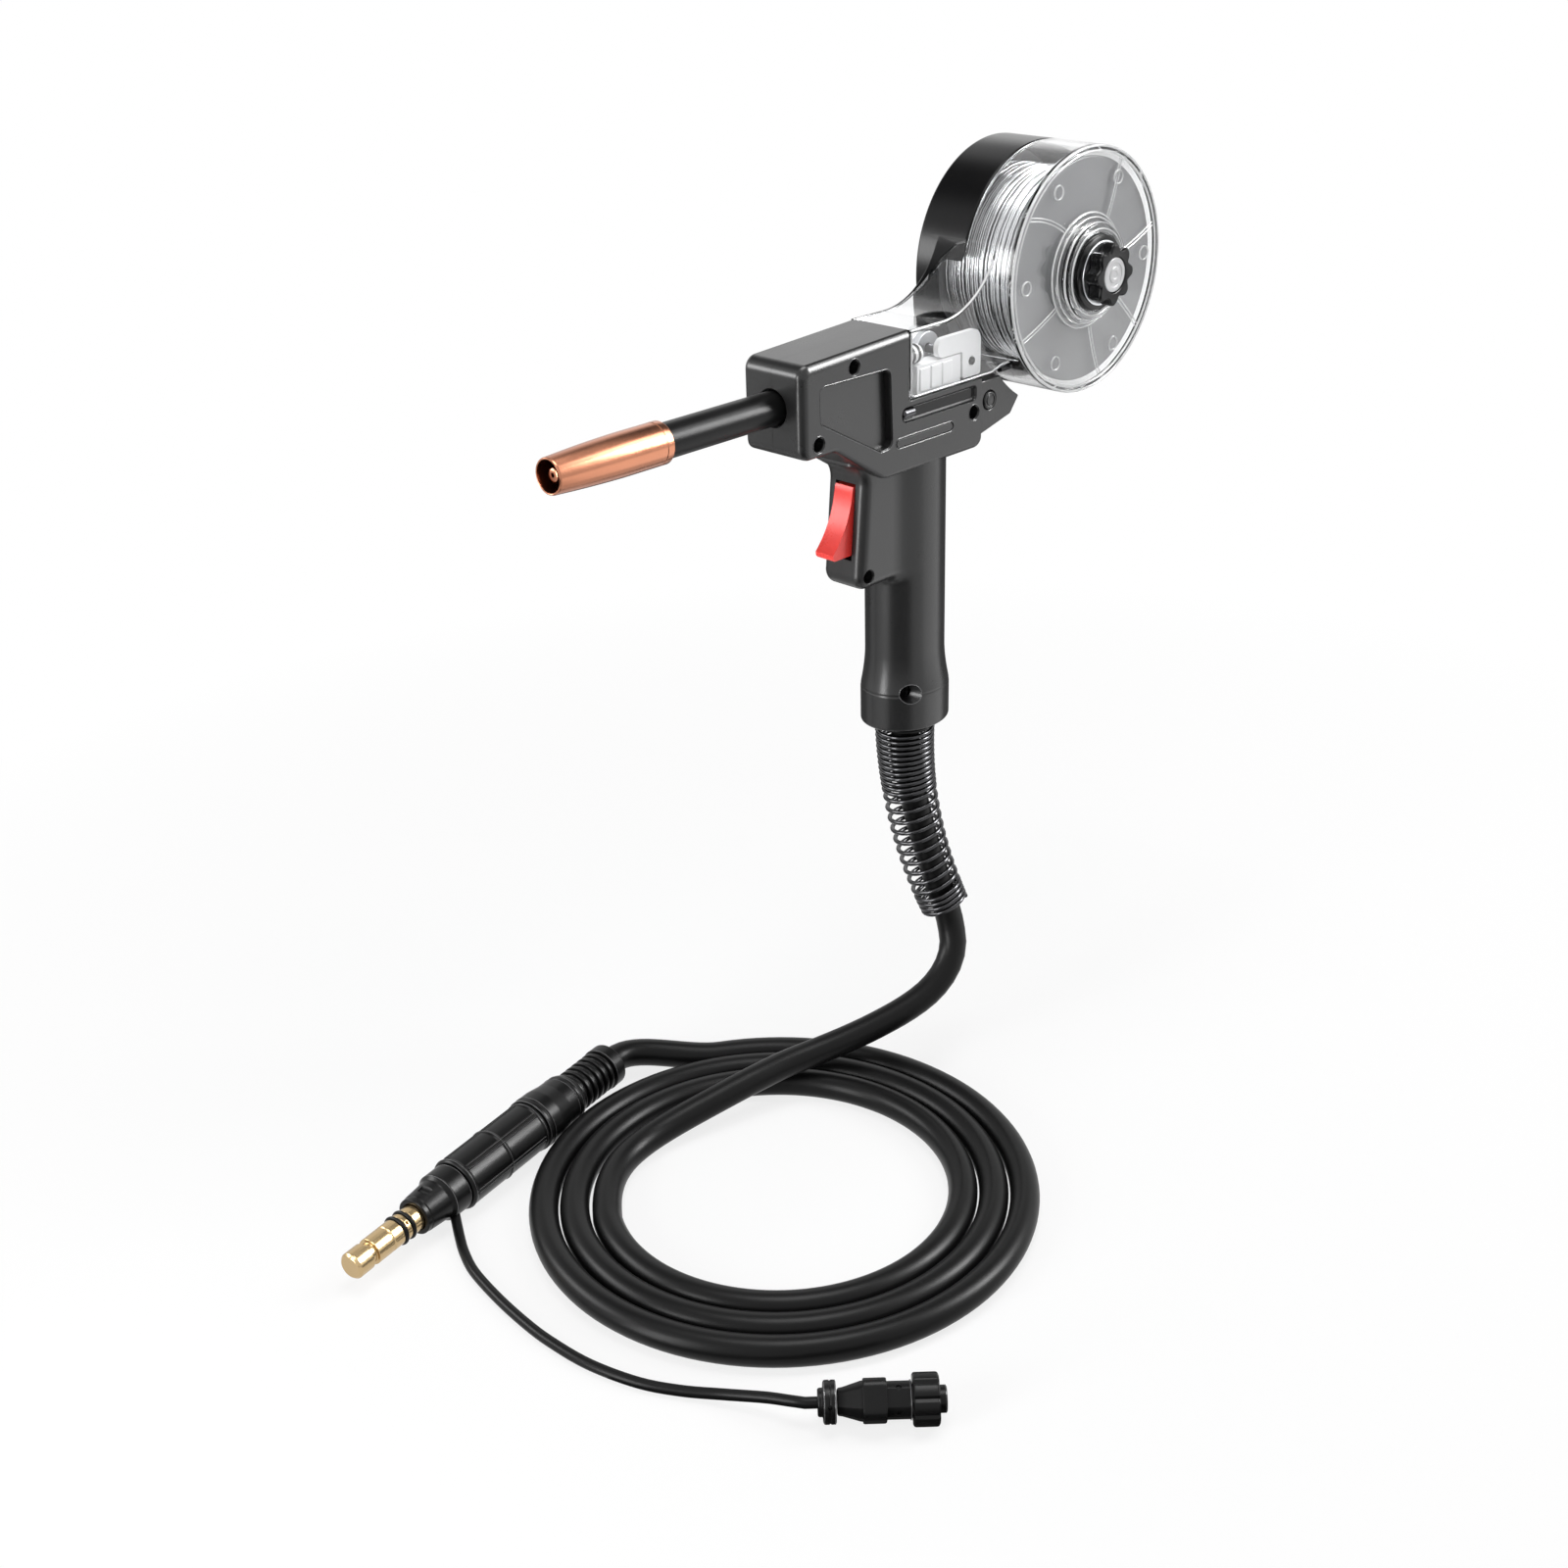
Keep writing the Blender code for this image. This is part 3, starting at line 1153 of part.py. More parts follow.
def make_motor():
    top = BODY_BOTTOM_Z + SHELL_WALL
    rod("gear_motor", MOTOR_BOTTOM_Z, top, MOTOR_RADIUS, (MOTOR_X, 0, 0), UP, 20, STEEL)
    floor = top + CLEARANCE
    half = BODY_HALF_WIDTH - SHELL_WALL - 0.0036
    roll_low = DRIVE_ROLL_Z - DRIVE_ROLL_RADIUS
    gearbox = box(
        "gearbox", (MOTOR_X - 0.014, -half, floor), (MOTOR_X + 0.018, half, roll_low - 2 * CLEARANCE),
        BLACK_CASE,
    )
    gearbox = join(
        gearbox,
        box(
            "tower", (ROLL_X - 0.010, ROLL_HALF_WIDTH + 0.0008, floor + 0.001),
            (ROLL_X + 0.010, TOWER_FACE, DRIVE_ROLL_Z + 0.008),
        ),
    )
    shaft_at = (ROLL_X, 0, DRIVE_ROLL_Z)
    cut(gearbox, rod("shaft_bore", -TOWER_FACE + 0.0008, 0.0, SHAFT_RADIUS + RUNNING, shaft_at, NEAR, 12))


def make_feed_wire():
    """The wire from the contact tip through the rolls to the spool, which it meets on its underside."""
    start_x = ARM_PIVOT[0] + 0.0095
    gap = Vector((DRUM_X - start_x, DRUM_Z - BARREL_Z))
    reach = WINDING_RADIUS + WINDING_STRAND + WIRE_RADIUS + CLEARANCE
    slope = math.atan2(gap.y, gap.x) - math.asin(reach / gap.length)
    length = math.sqrt(gap.length ** 2 - reach ** 2)
    end = (start_x + length * math.cos(slope), 0.0, BARREL_Z + length * math.sin(slope))
    tip = -(NOZZLE_END - TIP_RECESS - 0.004)
    route = [(tip, 0, BARREL_Z), (0, 0, BARREL_Z), (start_x, 0, BARREL_Z), end]
    tube("feed_wire", route, WIRE_RADIUS, 1, STEEL)


def make_trigger():
    top, toe = Vector(TRIGGER_TOP), Vector(TRIGGER_TOE)
    chord = toe - top
    inward = Vector((-chord.y, chord.x)).normalized()
    if inward.x < 0:
        inward = -inward
    front = []
    for step in range(7):
        t = step / 6
        front.append(tuple(top + chord * t + inward * (4 * TRIGGER_SCOOP * t * (1 - t))))
    low = toe.y - TRIGGER_LIP
    high = top.y + TRIGGER_HEIGHT_ABOVE
    rear_x = top.x + TRIGGER_DEPTH
    outline = [
        (top.x, high), *front, (toe.x + 0.0012, low), (rear_x - 0.006, low), (rear_x - 0.0025, low + 0.003),
        (rear_x - 0.0012, SWITCH_Z), (rear_x, TRIGGER_PIVOT[1] - 0.002), (rear_x, high),
    ]
    trigger = prism("trigger", outline, -TRIGGER_HALF_WIDTH, TRIGGER_HALF_WIDTH, material=RED_TRIGGER)
    pivot = (TRIGGER_PIVOT[0], 0, TRIGGER_PIVOT[1])
    cut(trigger, rod("pivot_hole", -0.02, 0.02, TRIGGER_PIN_RADIUS + CLEARANCE, pivot, NEAR, 10))
    rod("trigger_pin", -TRIGGER_PIN_HALF, TRIGGER_PIN_HALF, TRIGGER_PIN_RADIUS, pivot, NEAR, 10, STEEL)
    half = TRIGGER_HALF_WIDTH + 0.0002
    switch = box(
        "micro_switch", (SWITCH_FRONT_X, -half, SWITCH_Z - 0.6 * SWITCH_HEIGHT),
        (SWITCH_FRONT_X + SWITCH_LENGTH, half, SWITCH_Z + 0.4 * SWITCH_HEIGHT), BLACK_CASE,
    )
    line = (0, 0, SWITCH_Z)
    back = -SWITCH_FRONT_X
    bore = BUTTON_RADIUS + CLEARANCE
    cut(switch, rod("button_bore", back - BUTTON_BORE, back + PAST, bore, line, AHEAD, 10))
    tip = -(rear_x - 0.0012 + CLEARANCE)
    rod("switch_button", tip - BUTTON_LENGTH, tip, BUTTON_RADIUS, line, AHEAD, 10, RED_TRIGGER)


def spring_place(distance):
    """The middle of the leaning strain relief at a distance down its axis, and the direction it has there."""
    turn = distance / SPRING_BEND_RADIUS
    start = Vector((0, 0, GLAND_BOTTOM_Z))
    lean = SPRING_BEND_RADIUS * (1 - math.cos(turn))
    drop = SPRING_BEND_RADIUS * math.sin(turn)
    across = LEAN * math.cos(turn) + Vector((0, 0, 1)) * math.sin(turn)
    return start + LEAN * lean - Vector((0, 0, drop)), across


def spring_points():
    """The strain relief's curls: close at both ends, open between, on a leaning axis."""
    pitches = []
    for count, pitch in zip(SPRING_TURNS, (SPRING_CLOSE_PITCH, SPRING_OPEN_PITCH, SPRING_CLOSE_PITCH)):
        pitches += [pitch] * count
    side = LEAN.cross(Vector((0, 0, 1)))
    total = len(pitches) * SPRING_POINTS
    distance = SPRING_WIRE + CLEARANCE
    points = []
    for step in range(total + 1):
        middle, across = spring_place(distance)
        share = step / total
        radius = SPRING_TOP_RADIUS + (SPRING_END_RADIUS - SPRING_TOP_RADIUS) * share
        turn = 2 * math.pi * step / SPRING_POINTS
        points.append(middle + across * (radius * math.cos(turn)) + side * (radius * math.sin(turn)))
        distance += pitches[min(step, total - 1) // SPRING_POINTS] / SPRING_POINTS
    return points


def make_strain_relief():
    turned(
        "cable_gland",
        (
            (GLAND_SEAT_Z + GLAND_FLANGE_HEIGHT, GLAND_FLANGE), (GLAND_SEAT_Z, GLAND_FLANGE),
            (GLAND_SEAT_Z, GLAND_RADIUS), (GLAND_BOTTOM_Z, GLAND_RADIUS),
        ),
        (
            (GLAND_BOTTOM_Z, CABLE_RADIUS + CLEARANCE),
            (GLAND_SEAT_Z + GLAND_FLANGE_HEIGHT, CABLE_RADIUS + CLEARANCE),
        ),
        steps=20, material=BLACK_RUBBER,
    )
    points = spring_points()
    print("strain_spring least gap mm", round(1000 * least_gap(points, SPRING_WIRE, SPRING_POINTS // 2), 3))
    tube("strain_spring", points, SPRING_WIRE, 1, BLACK_STEEL)


def coil_place(degrees):
    radius = COIL_START_RADIUS + COIL_PITCH * (degrees - COIL_START_DEG) / 360
    turn = math.radians(degrees)
    x, y = COIL_CENTRE
    return Vector((x + radius * math.cos(turn), y + radius * math.sin(turn), CABLE_REST_Z))


def coil_points():
    """The coil's turns, and the run that rises from the outer one into the connector's boot."""
    steps = round((COIL_END_DEG - COIL_START_DEG) / 360 * COIL_POINTS)
    turns = [COIL_START_DEG, *(COIL_START_DEG + short for short in COIL_JOIN_DEGREES)]
    turns += [COIL_START_DEG + (COIL_END_DEG - COIL_START_DEG) * i / steps for i in range(1, steps + 1)]
    points = [coil_place(turn) for turn in turns]
    first = points[-1]
    last = Vector(CONNECTOR_AT) - CONNECTOR_TOWARDS * 0.004
    leave = (coil_place(COIL_END_DEG + 1) - coil_place(COIL_END_DEG - 1)).normalized()
    pull = (last - first).length
    for step in range(1, 5):
        t = step / 4
        points.append(
            first * (2 * t ** 3 - 3 * t ** 2 + 1) + leave * pull * (t ** 3 - 2 * t ** 2 + t)
            + last * (3 * t ** 2 - 2 * t ** 3) + CONNECTOR_TOWARDS * pull * (t ** 3 - t ** 2)
        )
    points.append(Vector(CONNECTOR_AT) + CONNECTOR_TOWARDS * (BOOT_BORE_DEPTH - 2 * CLEARANCE))
    return points


def make_lead():
    coil = coil_points()
    print("cable_coil least gap mm", round(1000 * least_gap(coil, CABLE_RADIUS, COIL_POINTS // 2), 3))
    tube("cable_coil", coil, CABLE_RADIUS, 1, BLACK_RUBBER)
    approach = [coil_place(COIL_START_DEG - short) for short in (9.0, *reversed(COIL_JOIN_DEGREES))]
    lead = smooth_route([*LEAD_ROUTE, tuple(approach[0])], 3 * CABLE_RADIUS)
    join_at = coil[0] - (coil[1] - coil[0]).normalized() * 2 * CLEARANCE
    tube("cable_lead", [*lead, *approach[1:], join_at], CABLE_RADIUS, 2, BLACK_RUBBER)


def boot_profile():
    """The boot's outer side from its front to its thick end ring, with its ribs."""
    profile = [(BOOT_LENGTH, BOOT_RADIUS)]
    pitch = (BOOT_LENGTH - BOOT_END_LENGTH) / BOOT_RIBS
    for rib in range(BOOT_RIBS):
        top = BOOT_LENGTH - pitch * rib
        profile += [
            (top - pitch * 0.45, BOOT_RADIUS), (top - pitch * 0.55, BOOT_RADIUS - BOOT_GROOVE),
            (top - pitch * 0.9, BOOT_RADIUS - BOOT_GROOVE), (top - pitch, BOOT_RADIUS),
        ]
    return [*profile[:-1], (BOOT_END_LENGTH, BOOT_END_RADIUS), (0.0, BOOT_END_RADIUS)]


def make_connector():
    at, along = CONNECTOR_AT, CONNECTOR_TOWARDS
    bore = CABLE_RADIUS + 2 * CLEARANCE
    turned(
        "connector_boot", boot_profile(),
        ((0.0, bore), (BOOT_BORE_DEPTH, bore), (BOOT_BORE_DEPTH, 0.003), (BOOT_LENGTH, 0.003)),
        at, along, 12, BLACK_RUBBER,
    )
    end = COUPLING_AT + COUPLING_LENGTH
    turned(
        "connector_collar",
        (
            (end, COUPLING_RADIUS - 0.0006), (end - 0.0008, COUPLING_RADIUS), (end - 0.010, COUPLING_RADIUS),
            (end - 0.018, COUPLING_RADIUS - 0.001), (COUPLING_AT + 0.004, BOOT_RADIUS + 0.0016),
            (COUPLING_AT, BOOT_RADIUS + 0.0012),
        ),
        at=at, along=along, steps=16, material=BLACK_CASE,
    )
    front = HANDLE_AT + CONNECTOR_LENGTH
    turned(
        "connector_handle",
        (
            (front, CONNECTOR_RADIUS - 0.0007), (front - 0.0007, CONNECTOR_RADIUS),
            (HANDLE_AT, CONNECTOR_RADIUS),
        ),
        at=at, along=along, steps=16, material=BLACK_CASE,
    )
    nose_end = NOSE_AT + NOSE_LENGTH
    seat = PIN_RADIUS + CLEARANCE
    turned(
        "connector_nose",
        (
            (nose_end, NOSE_TIP_RADIUS), (NOSE_AT + NOSE_LENGTH * 0.45, NOSE_TIP_RADIUS + 0.0012),
            (NOSE_AT + NOSE_LENGTH * 0.38, NOSE_RADIUS), (NOSE_AT, NOSE_RADIUS),
        ),
        ((NOSE_AT, 0.002), (nose_end - PIN_SEAT, 0.002), (nose_end - PIN_SEAT, seat), (nose_end, seat)),
        at, along, 16, BLACK_CASE,
    )
    groove = PIN_RADIUS - O_RING_WIRE - CLEARANCE
    profile = [(PIN_END, PIN_RADIUS - 0.001), (PIN_END - 0.001, PIN_RADIUS)]
    neck_low, neck_high = PIN_NECK
    profile += [
        (PIN_AT + neck_high, PIN_RADIUS), (PIN_AT + neck_high, PIN_RADIUS - 0.001),
        (PIN_AT + neck_low, PIN_RADIUS - 0.001), (PIN_AT + neck_low, PIN_RADIUS),
    ]
    half = O_RING_WIRE + CLEARANCE
    for place in reversed(O_RING_PLACES):
        profile += [
            (PIN_AT + place + half, PIN_RADIUS), (PIN_AT + place + half, groove),
            (PIN_AT + place - half, groove), (PIN_AT + place - half, PIN_RADIUS),
        ]
    profile.append((PIN_AT - PIN_SEAT + CLEARANCE, PIN_RADIUS))
    turned("power_pin", profile, at=at, along=along, steps=16, material=BRASS)
    for index, place in enumerate(O_RING_PLACES, 1):
        middle = groove + CLEARANCE + O_RING_WIRE
        section = [
            (PIN_AT + place + O_RING_WIRE * math.cos(t), middle + O_RING_WIRE * math.sin(t))
            for t in (math.pi * k / 3 for k in range(6))
        ]
        turned(f"o_ring_{index}", section[:3], section[3:], at, along, 14, BLACK_RUBBER)


def control_start():
    """Where the control lead leaves the underside of the connector's nose, with the way it points there."""
    along = CONNECTOR_TOWARDS
    side = Vector((0, 0, 1)).cross(along)
    out = (side - Vector((0, 0, 1))).normalized()
    place = Vector(CONNECTOR_AT) + along * (NOSE_AT + CONTROL_EXIT) + out * (NOSE_RADIUS + CLEARANCE)
    return place, out


def make_control_lead():
    start, out = control_start()
    plug = Vector(PLUG_START)
    end = plug - PLUG_TOWARDS * CLEARANCE
    way = [start + out * 0.004, *CONTROL_ROUTE, plug - PLUG_TOWARDS * 0.005]
    route = smooth_route(way, 5 * CONTROL_RADIUS)
    tube("control_lead", [start, *route, end], CONTROL_RADIUS, 2, BLACK_RUBBER)


def make_plug():
    at, along = PLUG_START, PLUG_TOWARDS
    clamp = PLUG_CLAMP_LENGTH
    turned(
        "plug_clamp",
        (
            (clamp, PLUG_CLAMP_RADIUS - 0.0006), (clamp - 0.0006, PLUG_CLAMP_RADIUS),
            (clamp * 0.3 + 0.0006, PLUG_CLAMP_RADIUS), (clamp * 0.3, PLUG_CLAMP_RADIUS - 0.0006),
            (clamp * 0.3, PLUG_NECK_RADIUS), (0.0, PLUG_NECK_RADIUS),
        ),
        at=at, along=along, steps=16, material=BLACK_CASE,
    )
    cone = clamp + CLEARANCE
    body = cone + PLUG_CONE_LENGTH
    waist = body + PLUG_BODY_LENGTH
    waist_end = waist + PLUG_WAIST_LENGTH
    turned(
        "plug_body",
        (
            (waist_end, PLUG_WAIST_RADIUS), (waist, PLUG_WAIST_RADIUS), (waist, PLUG_BODY_RADIUS),
            (body, PLUG_BODY_RADIUS), (body - 0.001, PLUG_BODY_RADIUS - 0.0008), (cone, PLUG_NECK_RADIUS),
        ),
        at=at, along=along, steps=16, material=BLACK_CASE,
    )
    ring_start = waist_end + CLEARANCE
    ring_end = ring_start + PLUG_RING_LENGTH
    outline = lobed(PLUG_RING_RADIUS, PLUG_RING_LOBES, 0.0009)
    sleeve = prism("plug_ring", outline, ring_start, ring_end, at, along, BLACK_CASE)
    bore = PLUG_BARREL_RADIUS + RUNNING
    cut(sleeve, rod("bore", ring_start - 0.01, ring_end + 0.01, bore, at, along, 20))
    barrel_end = ring_end + PLUG_BARREL_SHOWN
    rod("plug_barrel", ring_start, barrel_end, PLUG_BARREL_RADIUS, at, along, 20, BLACK_CASE)


def shade(angle=35.0):
    """Smooth the round faces of every piece and keep its corners sharp."""
    for obj in PARTS.objects:
        obj.data.shade_smooth()
        obj.data.set_sharp_from_angle(angle=math.radians(angle))


def main():
    make_case()
    make_tail()
    make_barrel()
    make_cover()
    make_housing()
    make_spool()
    make_hub()
    make_wire_drive()
    make_trigger()
    make_strain_relief()
    make_lead()
    make_connector()
    make_control_lead()
    make_plug()
    shade()


main()
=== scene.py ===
"""Looks of a spool gun welding torch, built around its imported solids."""

import math

import bmesh
import bpy
from bpy.props import FloatProperty, FloatVectorProperty, IntProperty, PointerProperty
from mathutils import Matrix, Vector


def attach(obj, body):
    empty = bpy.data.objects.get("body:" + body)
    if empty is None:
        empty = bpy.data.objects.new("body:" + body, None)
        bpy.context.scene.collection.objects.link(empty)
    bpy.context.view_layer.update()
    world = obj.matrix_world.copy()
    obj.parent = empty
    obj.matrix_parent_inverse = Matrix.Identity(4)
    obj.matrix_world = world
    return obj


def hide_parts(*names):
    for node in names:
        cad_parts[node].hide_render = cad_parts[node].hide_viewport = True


bl_info = {
    "name": "Spool Gun Torch",
    "version": (1, 0, 0),
    "blender": (4, 5, 0),
    "location": "View3D > Sidebar > Torch",
    "description": "Builds the looks of a spool gun welding torch around its solids",
    "category": "Add Mesh",
}

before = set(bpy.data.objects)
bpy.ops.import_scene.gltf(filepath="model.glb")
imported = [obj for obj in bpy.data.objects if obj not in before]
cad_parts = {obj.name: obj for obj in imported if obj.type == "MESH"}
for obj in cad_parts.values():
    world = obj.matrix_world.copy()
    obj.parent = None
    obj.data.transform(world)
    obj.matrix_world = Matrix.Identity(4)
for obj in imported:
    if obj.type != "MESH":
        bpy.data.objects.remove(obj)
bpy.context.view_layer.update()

# Directions
UP = (0.0, 0.0, 1.0)
NEAR = (0.0, -1.0, 0.0)
AWAY = (0.0, 1.0, 0.0)
AHEAD = (-1.0, 0.0, 0.0)

# Fits
WELD = 0.000001
GAP = 0.0003
PAST = 0.002

# Case
HALF_WIDTH = 0.0175
BODY_CORNERS = (
    (-0.085, 0.0985, 0.0050), (-0.085, 0.139, 0.0055), (-0.017, 0.142, 0.0), (-0.017, 0.1112, 0.0),
    (0.0335, 0.1112, 0.0), (0.0335, 0.079, 0.005), (-0.033, 0.079, 0.012), (-0.064, 0.0985, 0.006),
)
BODY_WALL = 0.0024
GRIP_RADIUS = 0.0203
GRIP_RATIO = (HALF_WIDTH - 0.0001) / GRIP_RADIUS
GRIP_WALL = 0.0026
FLARE_TOP = -0.012
FOOT_TOP = -0.031
FOOT_RADIUS = 0.0228
GRIP_BOTTOM = -0.049
BLOCK_HALF = 0.012
BLOCK_BOTTOM = 0.0275
BLOCK_FRONT = ((-0.0388, 0.0874), (-0.0444, 0.0275))
POCKET = ((-0.0736, 0.1283), (-0.0300, 0.1275), (-0.0285, 0.0934), (-0.0358, 0.0925), (-0.0732, 0.113))
SCREWS = (
    (-0.0526, 0.1331, 0.0175), (-0.0750, 0.1045, 0.0175), (0.0275, 0.0961, 0.0175),
    (-0.0381, 0.0340, 0.012), (-0.0140, -0.0300, 0.012),
)
SCREW_DEPTH = 0.0048
BARREL_LINE = (0.0, 0.0, 0.1195)

# Spool case
DRUM_AXIS = (0.095, 0.0, 0.150)
DRUM_RADIUS = 0.056
DRUM_BORE = 0.0535
DRUM_NEAR = 0.0285
DRUM_FAR = 0.028
FACE = 0.0277
FACE_INSIDE = 0.0252
BOSS_TOP = 0.034
BOSS_RADIUS = 0.022
BOSS_BORE = 0.0178
NECK_TOP = 0.142
NECK_BOTTOM = 0.1115
NECK_FRONT = -0.0167
NECK_FILLET = 0.040
NECK_WALL = 0.002
SEAM = ((0.0423, 0.0), (0.0415, 0.0062), (0.0387, 0.0113), (0.0336, 0.0143), (0.026, 0.0155))

# Reel and knob
REEL_NEAR = 0.0247
REEL_FAR = -0.0226
REEL_FLANGE = 0.0026
REEL_HUB = 0.024
KNOB_BACK = 0.0371
KNOB_FRONT = 0.044

# Wire drive
ARM_PIVOT = (0.0279, 0.1195)
ARM_NEAR = 0.0143
ROLL_X = 0.010

# Lead, strain relief, connector and plug
FLOOR_Z = -0.239
CABLE_REST = -0.2322
LEAN = Vector((0.70, -0.714, 0.0)).normalized()
SPRING_TURNS = ((12, 0.00276), (10, 0.0057), (4, 0.00276))
LEAD_ROUTE = (
    (0.0, 0.0, -0.0440), (0.0001, -0.0001, -0.0580), (0.0017, -0.0017, -0.0814),
    (0.0054, -0.0056, -0.1079), (0.0103, -0.0105, -0.1339), (0.0138, -0.0147, -0.1520),
    (0.0147, -0.0178, -0.1635), (0.0121, -0.0216, -0.1740), (0.0050, -0.0232, -0.1834),
    (-0.0052, -0.0215, -0.1919), (-0.0180, -0.0166, -0.1989), (-0.0330, -0.0086, -0.2056),
    (-0.0470, -0.0005, -0.2108), (-0.0605, 0.0070, -0.2146), (-0.0750, 0.0128, -0.2168),
    (-0.0895, 0.0165, -0.2186), (-0.1037, 0.0205, -0.2212), (-0.1173, 0.0252, -0.2248),
    (-0.1310, 0.0302, -0.2287), (-0.1450, 0.0335, -0.2311),
)
COIL_CENTRE = (-0.1368, -0.0407)
COIL_DEGREES = (119.0, 1138.0)
COIL_RADIUS = 0.0784
COIL_PITCH = 0.0142
CONNECTOR_AT = Vector((-0.125, 0.0888, -0.2255))
CONNECTOR_WAY = Vector((-0.981, -0.194, 0.0)).normalized()
CONNECTOR_SIDE = Vector(UP).cross(CONNECTOR_WAY)
NOSE_AT = 0.1189
PIN_AT = 0.1459
PLUG_AT = Vector((-0.2307, -0.1543, -0.2283))
PLUG_WAY = Vector((0.706, -0.708, 0.0)).normalized()
CONTROL_ROUTE = (
    (-0.2552, 0.0452, -0.2360), (-0.2606, 0.0350, -0.2366), (-0.2660, 0.0210, -0.2366),
    (-0.2703, -0.0010, -0.2366), (-0.2727, -0.0220, -0.2366), (-0.2733, -0.0390, -0.2366),
    (-0.2716, -0.0616, -0.2366), (-0.2654, -0.0849, -0.2366), (-0.2570, -0.1020, -0.2363),
    (-0.2480, -0.1175, -0.2348), (-0.2405, -0.1345, -0.2311), (-0.2370, -0.1440, -0.2293),
)


def colour(name, description, default):
    return FloatVectorProperty(
        name=name, description=description, default=default, size=3, min=0.0, max=1.0, subtype="COLOR"
    )


def length(name, description, default):
    return FloatProperty(
        name=name, description=description, default=default, min=0.0, unit="LENGTH", precision=5
    )


class TorchColours(bpy.types.PropertyGroup):
    """Colours of the torch's finishes."""

    case: colour("Case", "Moulded black of the shells", (0.014, 0.0141, 0.0144))
    gloss: colour("Gloss black", "Polished black of the drum's back and the knob", (0.005, 0.005, 0.0053))
    rubber: colour("Rubber", "Sheath of the leads", (0.0045, 0.0045, 0.0046))
    spring: colour("Spring", "Blackened steel of the strain relief", (0.06, 0.06, 0.063))
    reel: colour("Reel", "Moulded grey of the wire reel", (0.205, 0.207, 0.211))
    nylon: colour("Nylon", "White nylon of the wire drive", (0.88, 0.88, 0.88))
    trigger: colour("Trigger", "Moulded red of the trigger", (0.92, 0.050, 0.040))
    copper: colour("Copper", "Nozzle and contact tip", (0.45, 0.19, 0.112))
    brass: colour("Brass", "Power pin and wire guides", (0.56, 0.41, 0.22))
    steel: colour("Steel", "Bright steel of rolls, pins and spindle", (0.62, 0.63, 0.65))
    wire: colour("Wire", "Welding wire on the reel", (0.74, 0.75, 0.76))
    fibre: colour("Fibre", "Insulator inside the nozzle", (0.60, 0.52, 0.38))
    clear: colour("Clear", "Clear cover of the drum", (0.985, 0.988, 0.992))


class TorchSizes(bpy.types.PropertyGroup):
    """Sizes and counts that a maker of the torch would change."""

    rim: length("Case rim", "Rounding of the case's side rims", 0.0044)
    lead: length("Lead radius", "Radius of the power lead", 0.0068)
    control: length("Control radius", "Radius of the control lead", 0.0024)
    spring_wire: length("Spring wire", "Radius of the strain relief's wire", 0.0011)
    strand: length("Strand", "Radius of the welding wire on the reel", 0.0006)
    loops: IntProperty(name="Loops", description="Loops in each layer of wound wire", default=25, min=4)
    pads: IntProperty(name="Pads", description="Round pads on the cover's face", default=6, min=0)
    knob_lobes: IntProperty(name="Knob lobes", description="Lobes of the cover's knob", default=8, min=3)
    ridges: IntProperty(name="Ridges", description="Double ridges along the handle", default=6, min=1)
    ring_lobes: IntProperty(name="Ring lobes", description="Lobes of the coupling ring", default=9, min=3)


class Signal:
    """A shader socket that takes part in plain arithmetic."""

    def __init__(self, finish, socket):
        self.finish = finish
        self.socket = socket

    def __add__(self, other):
        return self.finish.maths("ADD", self, other)

    def __radd__(self, other):
        return self.finish.maths("ADD", other, self)

    def __sub__(self, other):
        return self.finish.maths("SUBTRACT", self, other)

    def __rsub__(self, other):
        return self.finish.maths("SUBTRACT", other, self)

    def __mul__(self, other):
        return self.finish.maths("MULTIPLY", self, other)

    def __rmul__(self, other):
        return self.finish.maths("MULTIPLY", other, self)


class Nodes:
    """Adds nodes to an empty tree, with their settings first and then their sockets."""

    def __init__(self, tree):
        self.tree = tree
        tree.nodes.clear()

    def node(self, kind, settings=None, sockets=None, output=0):
        node = self.tree.nodes.new(kind)
        for name, value in (settings or {}).items():
            if name == "stops":
                for element, (place, tone) in zip(node.color_ramp.elements, value):
                    element.position = place
                    element.color = tone
            else:
                setattr(node, name, value)
        for name, value in (sockets or {}).items():
            if isinstance(value, Signal):
                self.tree.links.new(value.socket, node.inputs[name])
            else:
                node.inputs[name].default_value = value
        return Signal(self, node.outputs[output]) if node.outputs else node

    def maths(self, operation, first, second):
        return self.node("ShaderNodeMath", {"operation": operation}, {0: first, 1: second})


class Finish(Nodes):
    """A procedural material in the making. Patterns read the piece's own place in metres."""

    def __init__(self, name):
        self.material = bpy.data.materials.new(name)
        self.material.use_nodes = True
        super().__init__(self.material.node_tree)
        self.place = self.node("ShaderNodeTexCoord", output="Object")

    def noise(self, scale, detail=2.0, stretch=(1.0, 1.0, 1.0)):
        place = self.node("ShaderNodeMapping", {}, {"Vector": self.place, "Scale": stretch})
        return self.node("ShaderNodeTexNoise", {}, {"Vector": place, "Scale": scale, "Detail": detail})

    def blend(self, factor, first, second):
        return self.node(
            "ShaderNodeMix", {"data_type": "RGBA"}, {0: factor, 6: (*first, 1.0), 7: (*second, 1.0)}, 2
        )

    def bump(self, height, strength, distance):
        return self.node(
            "ShaderNodeBump", {}, {"Height": height, "Strength": strength, "Distance": distance}
        )

    def close(self, shader):
        self.node("ShaderNodeOutputMaterial", {}, {"Surface": shader})
        return self.material


def shaded(colour_of, share):
    return tuple(min(part * share, 1.0) for part in colour_of)


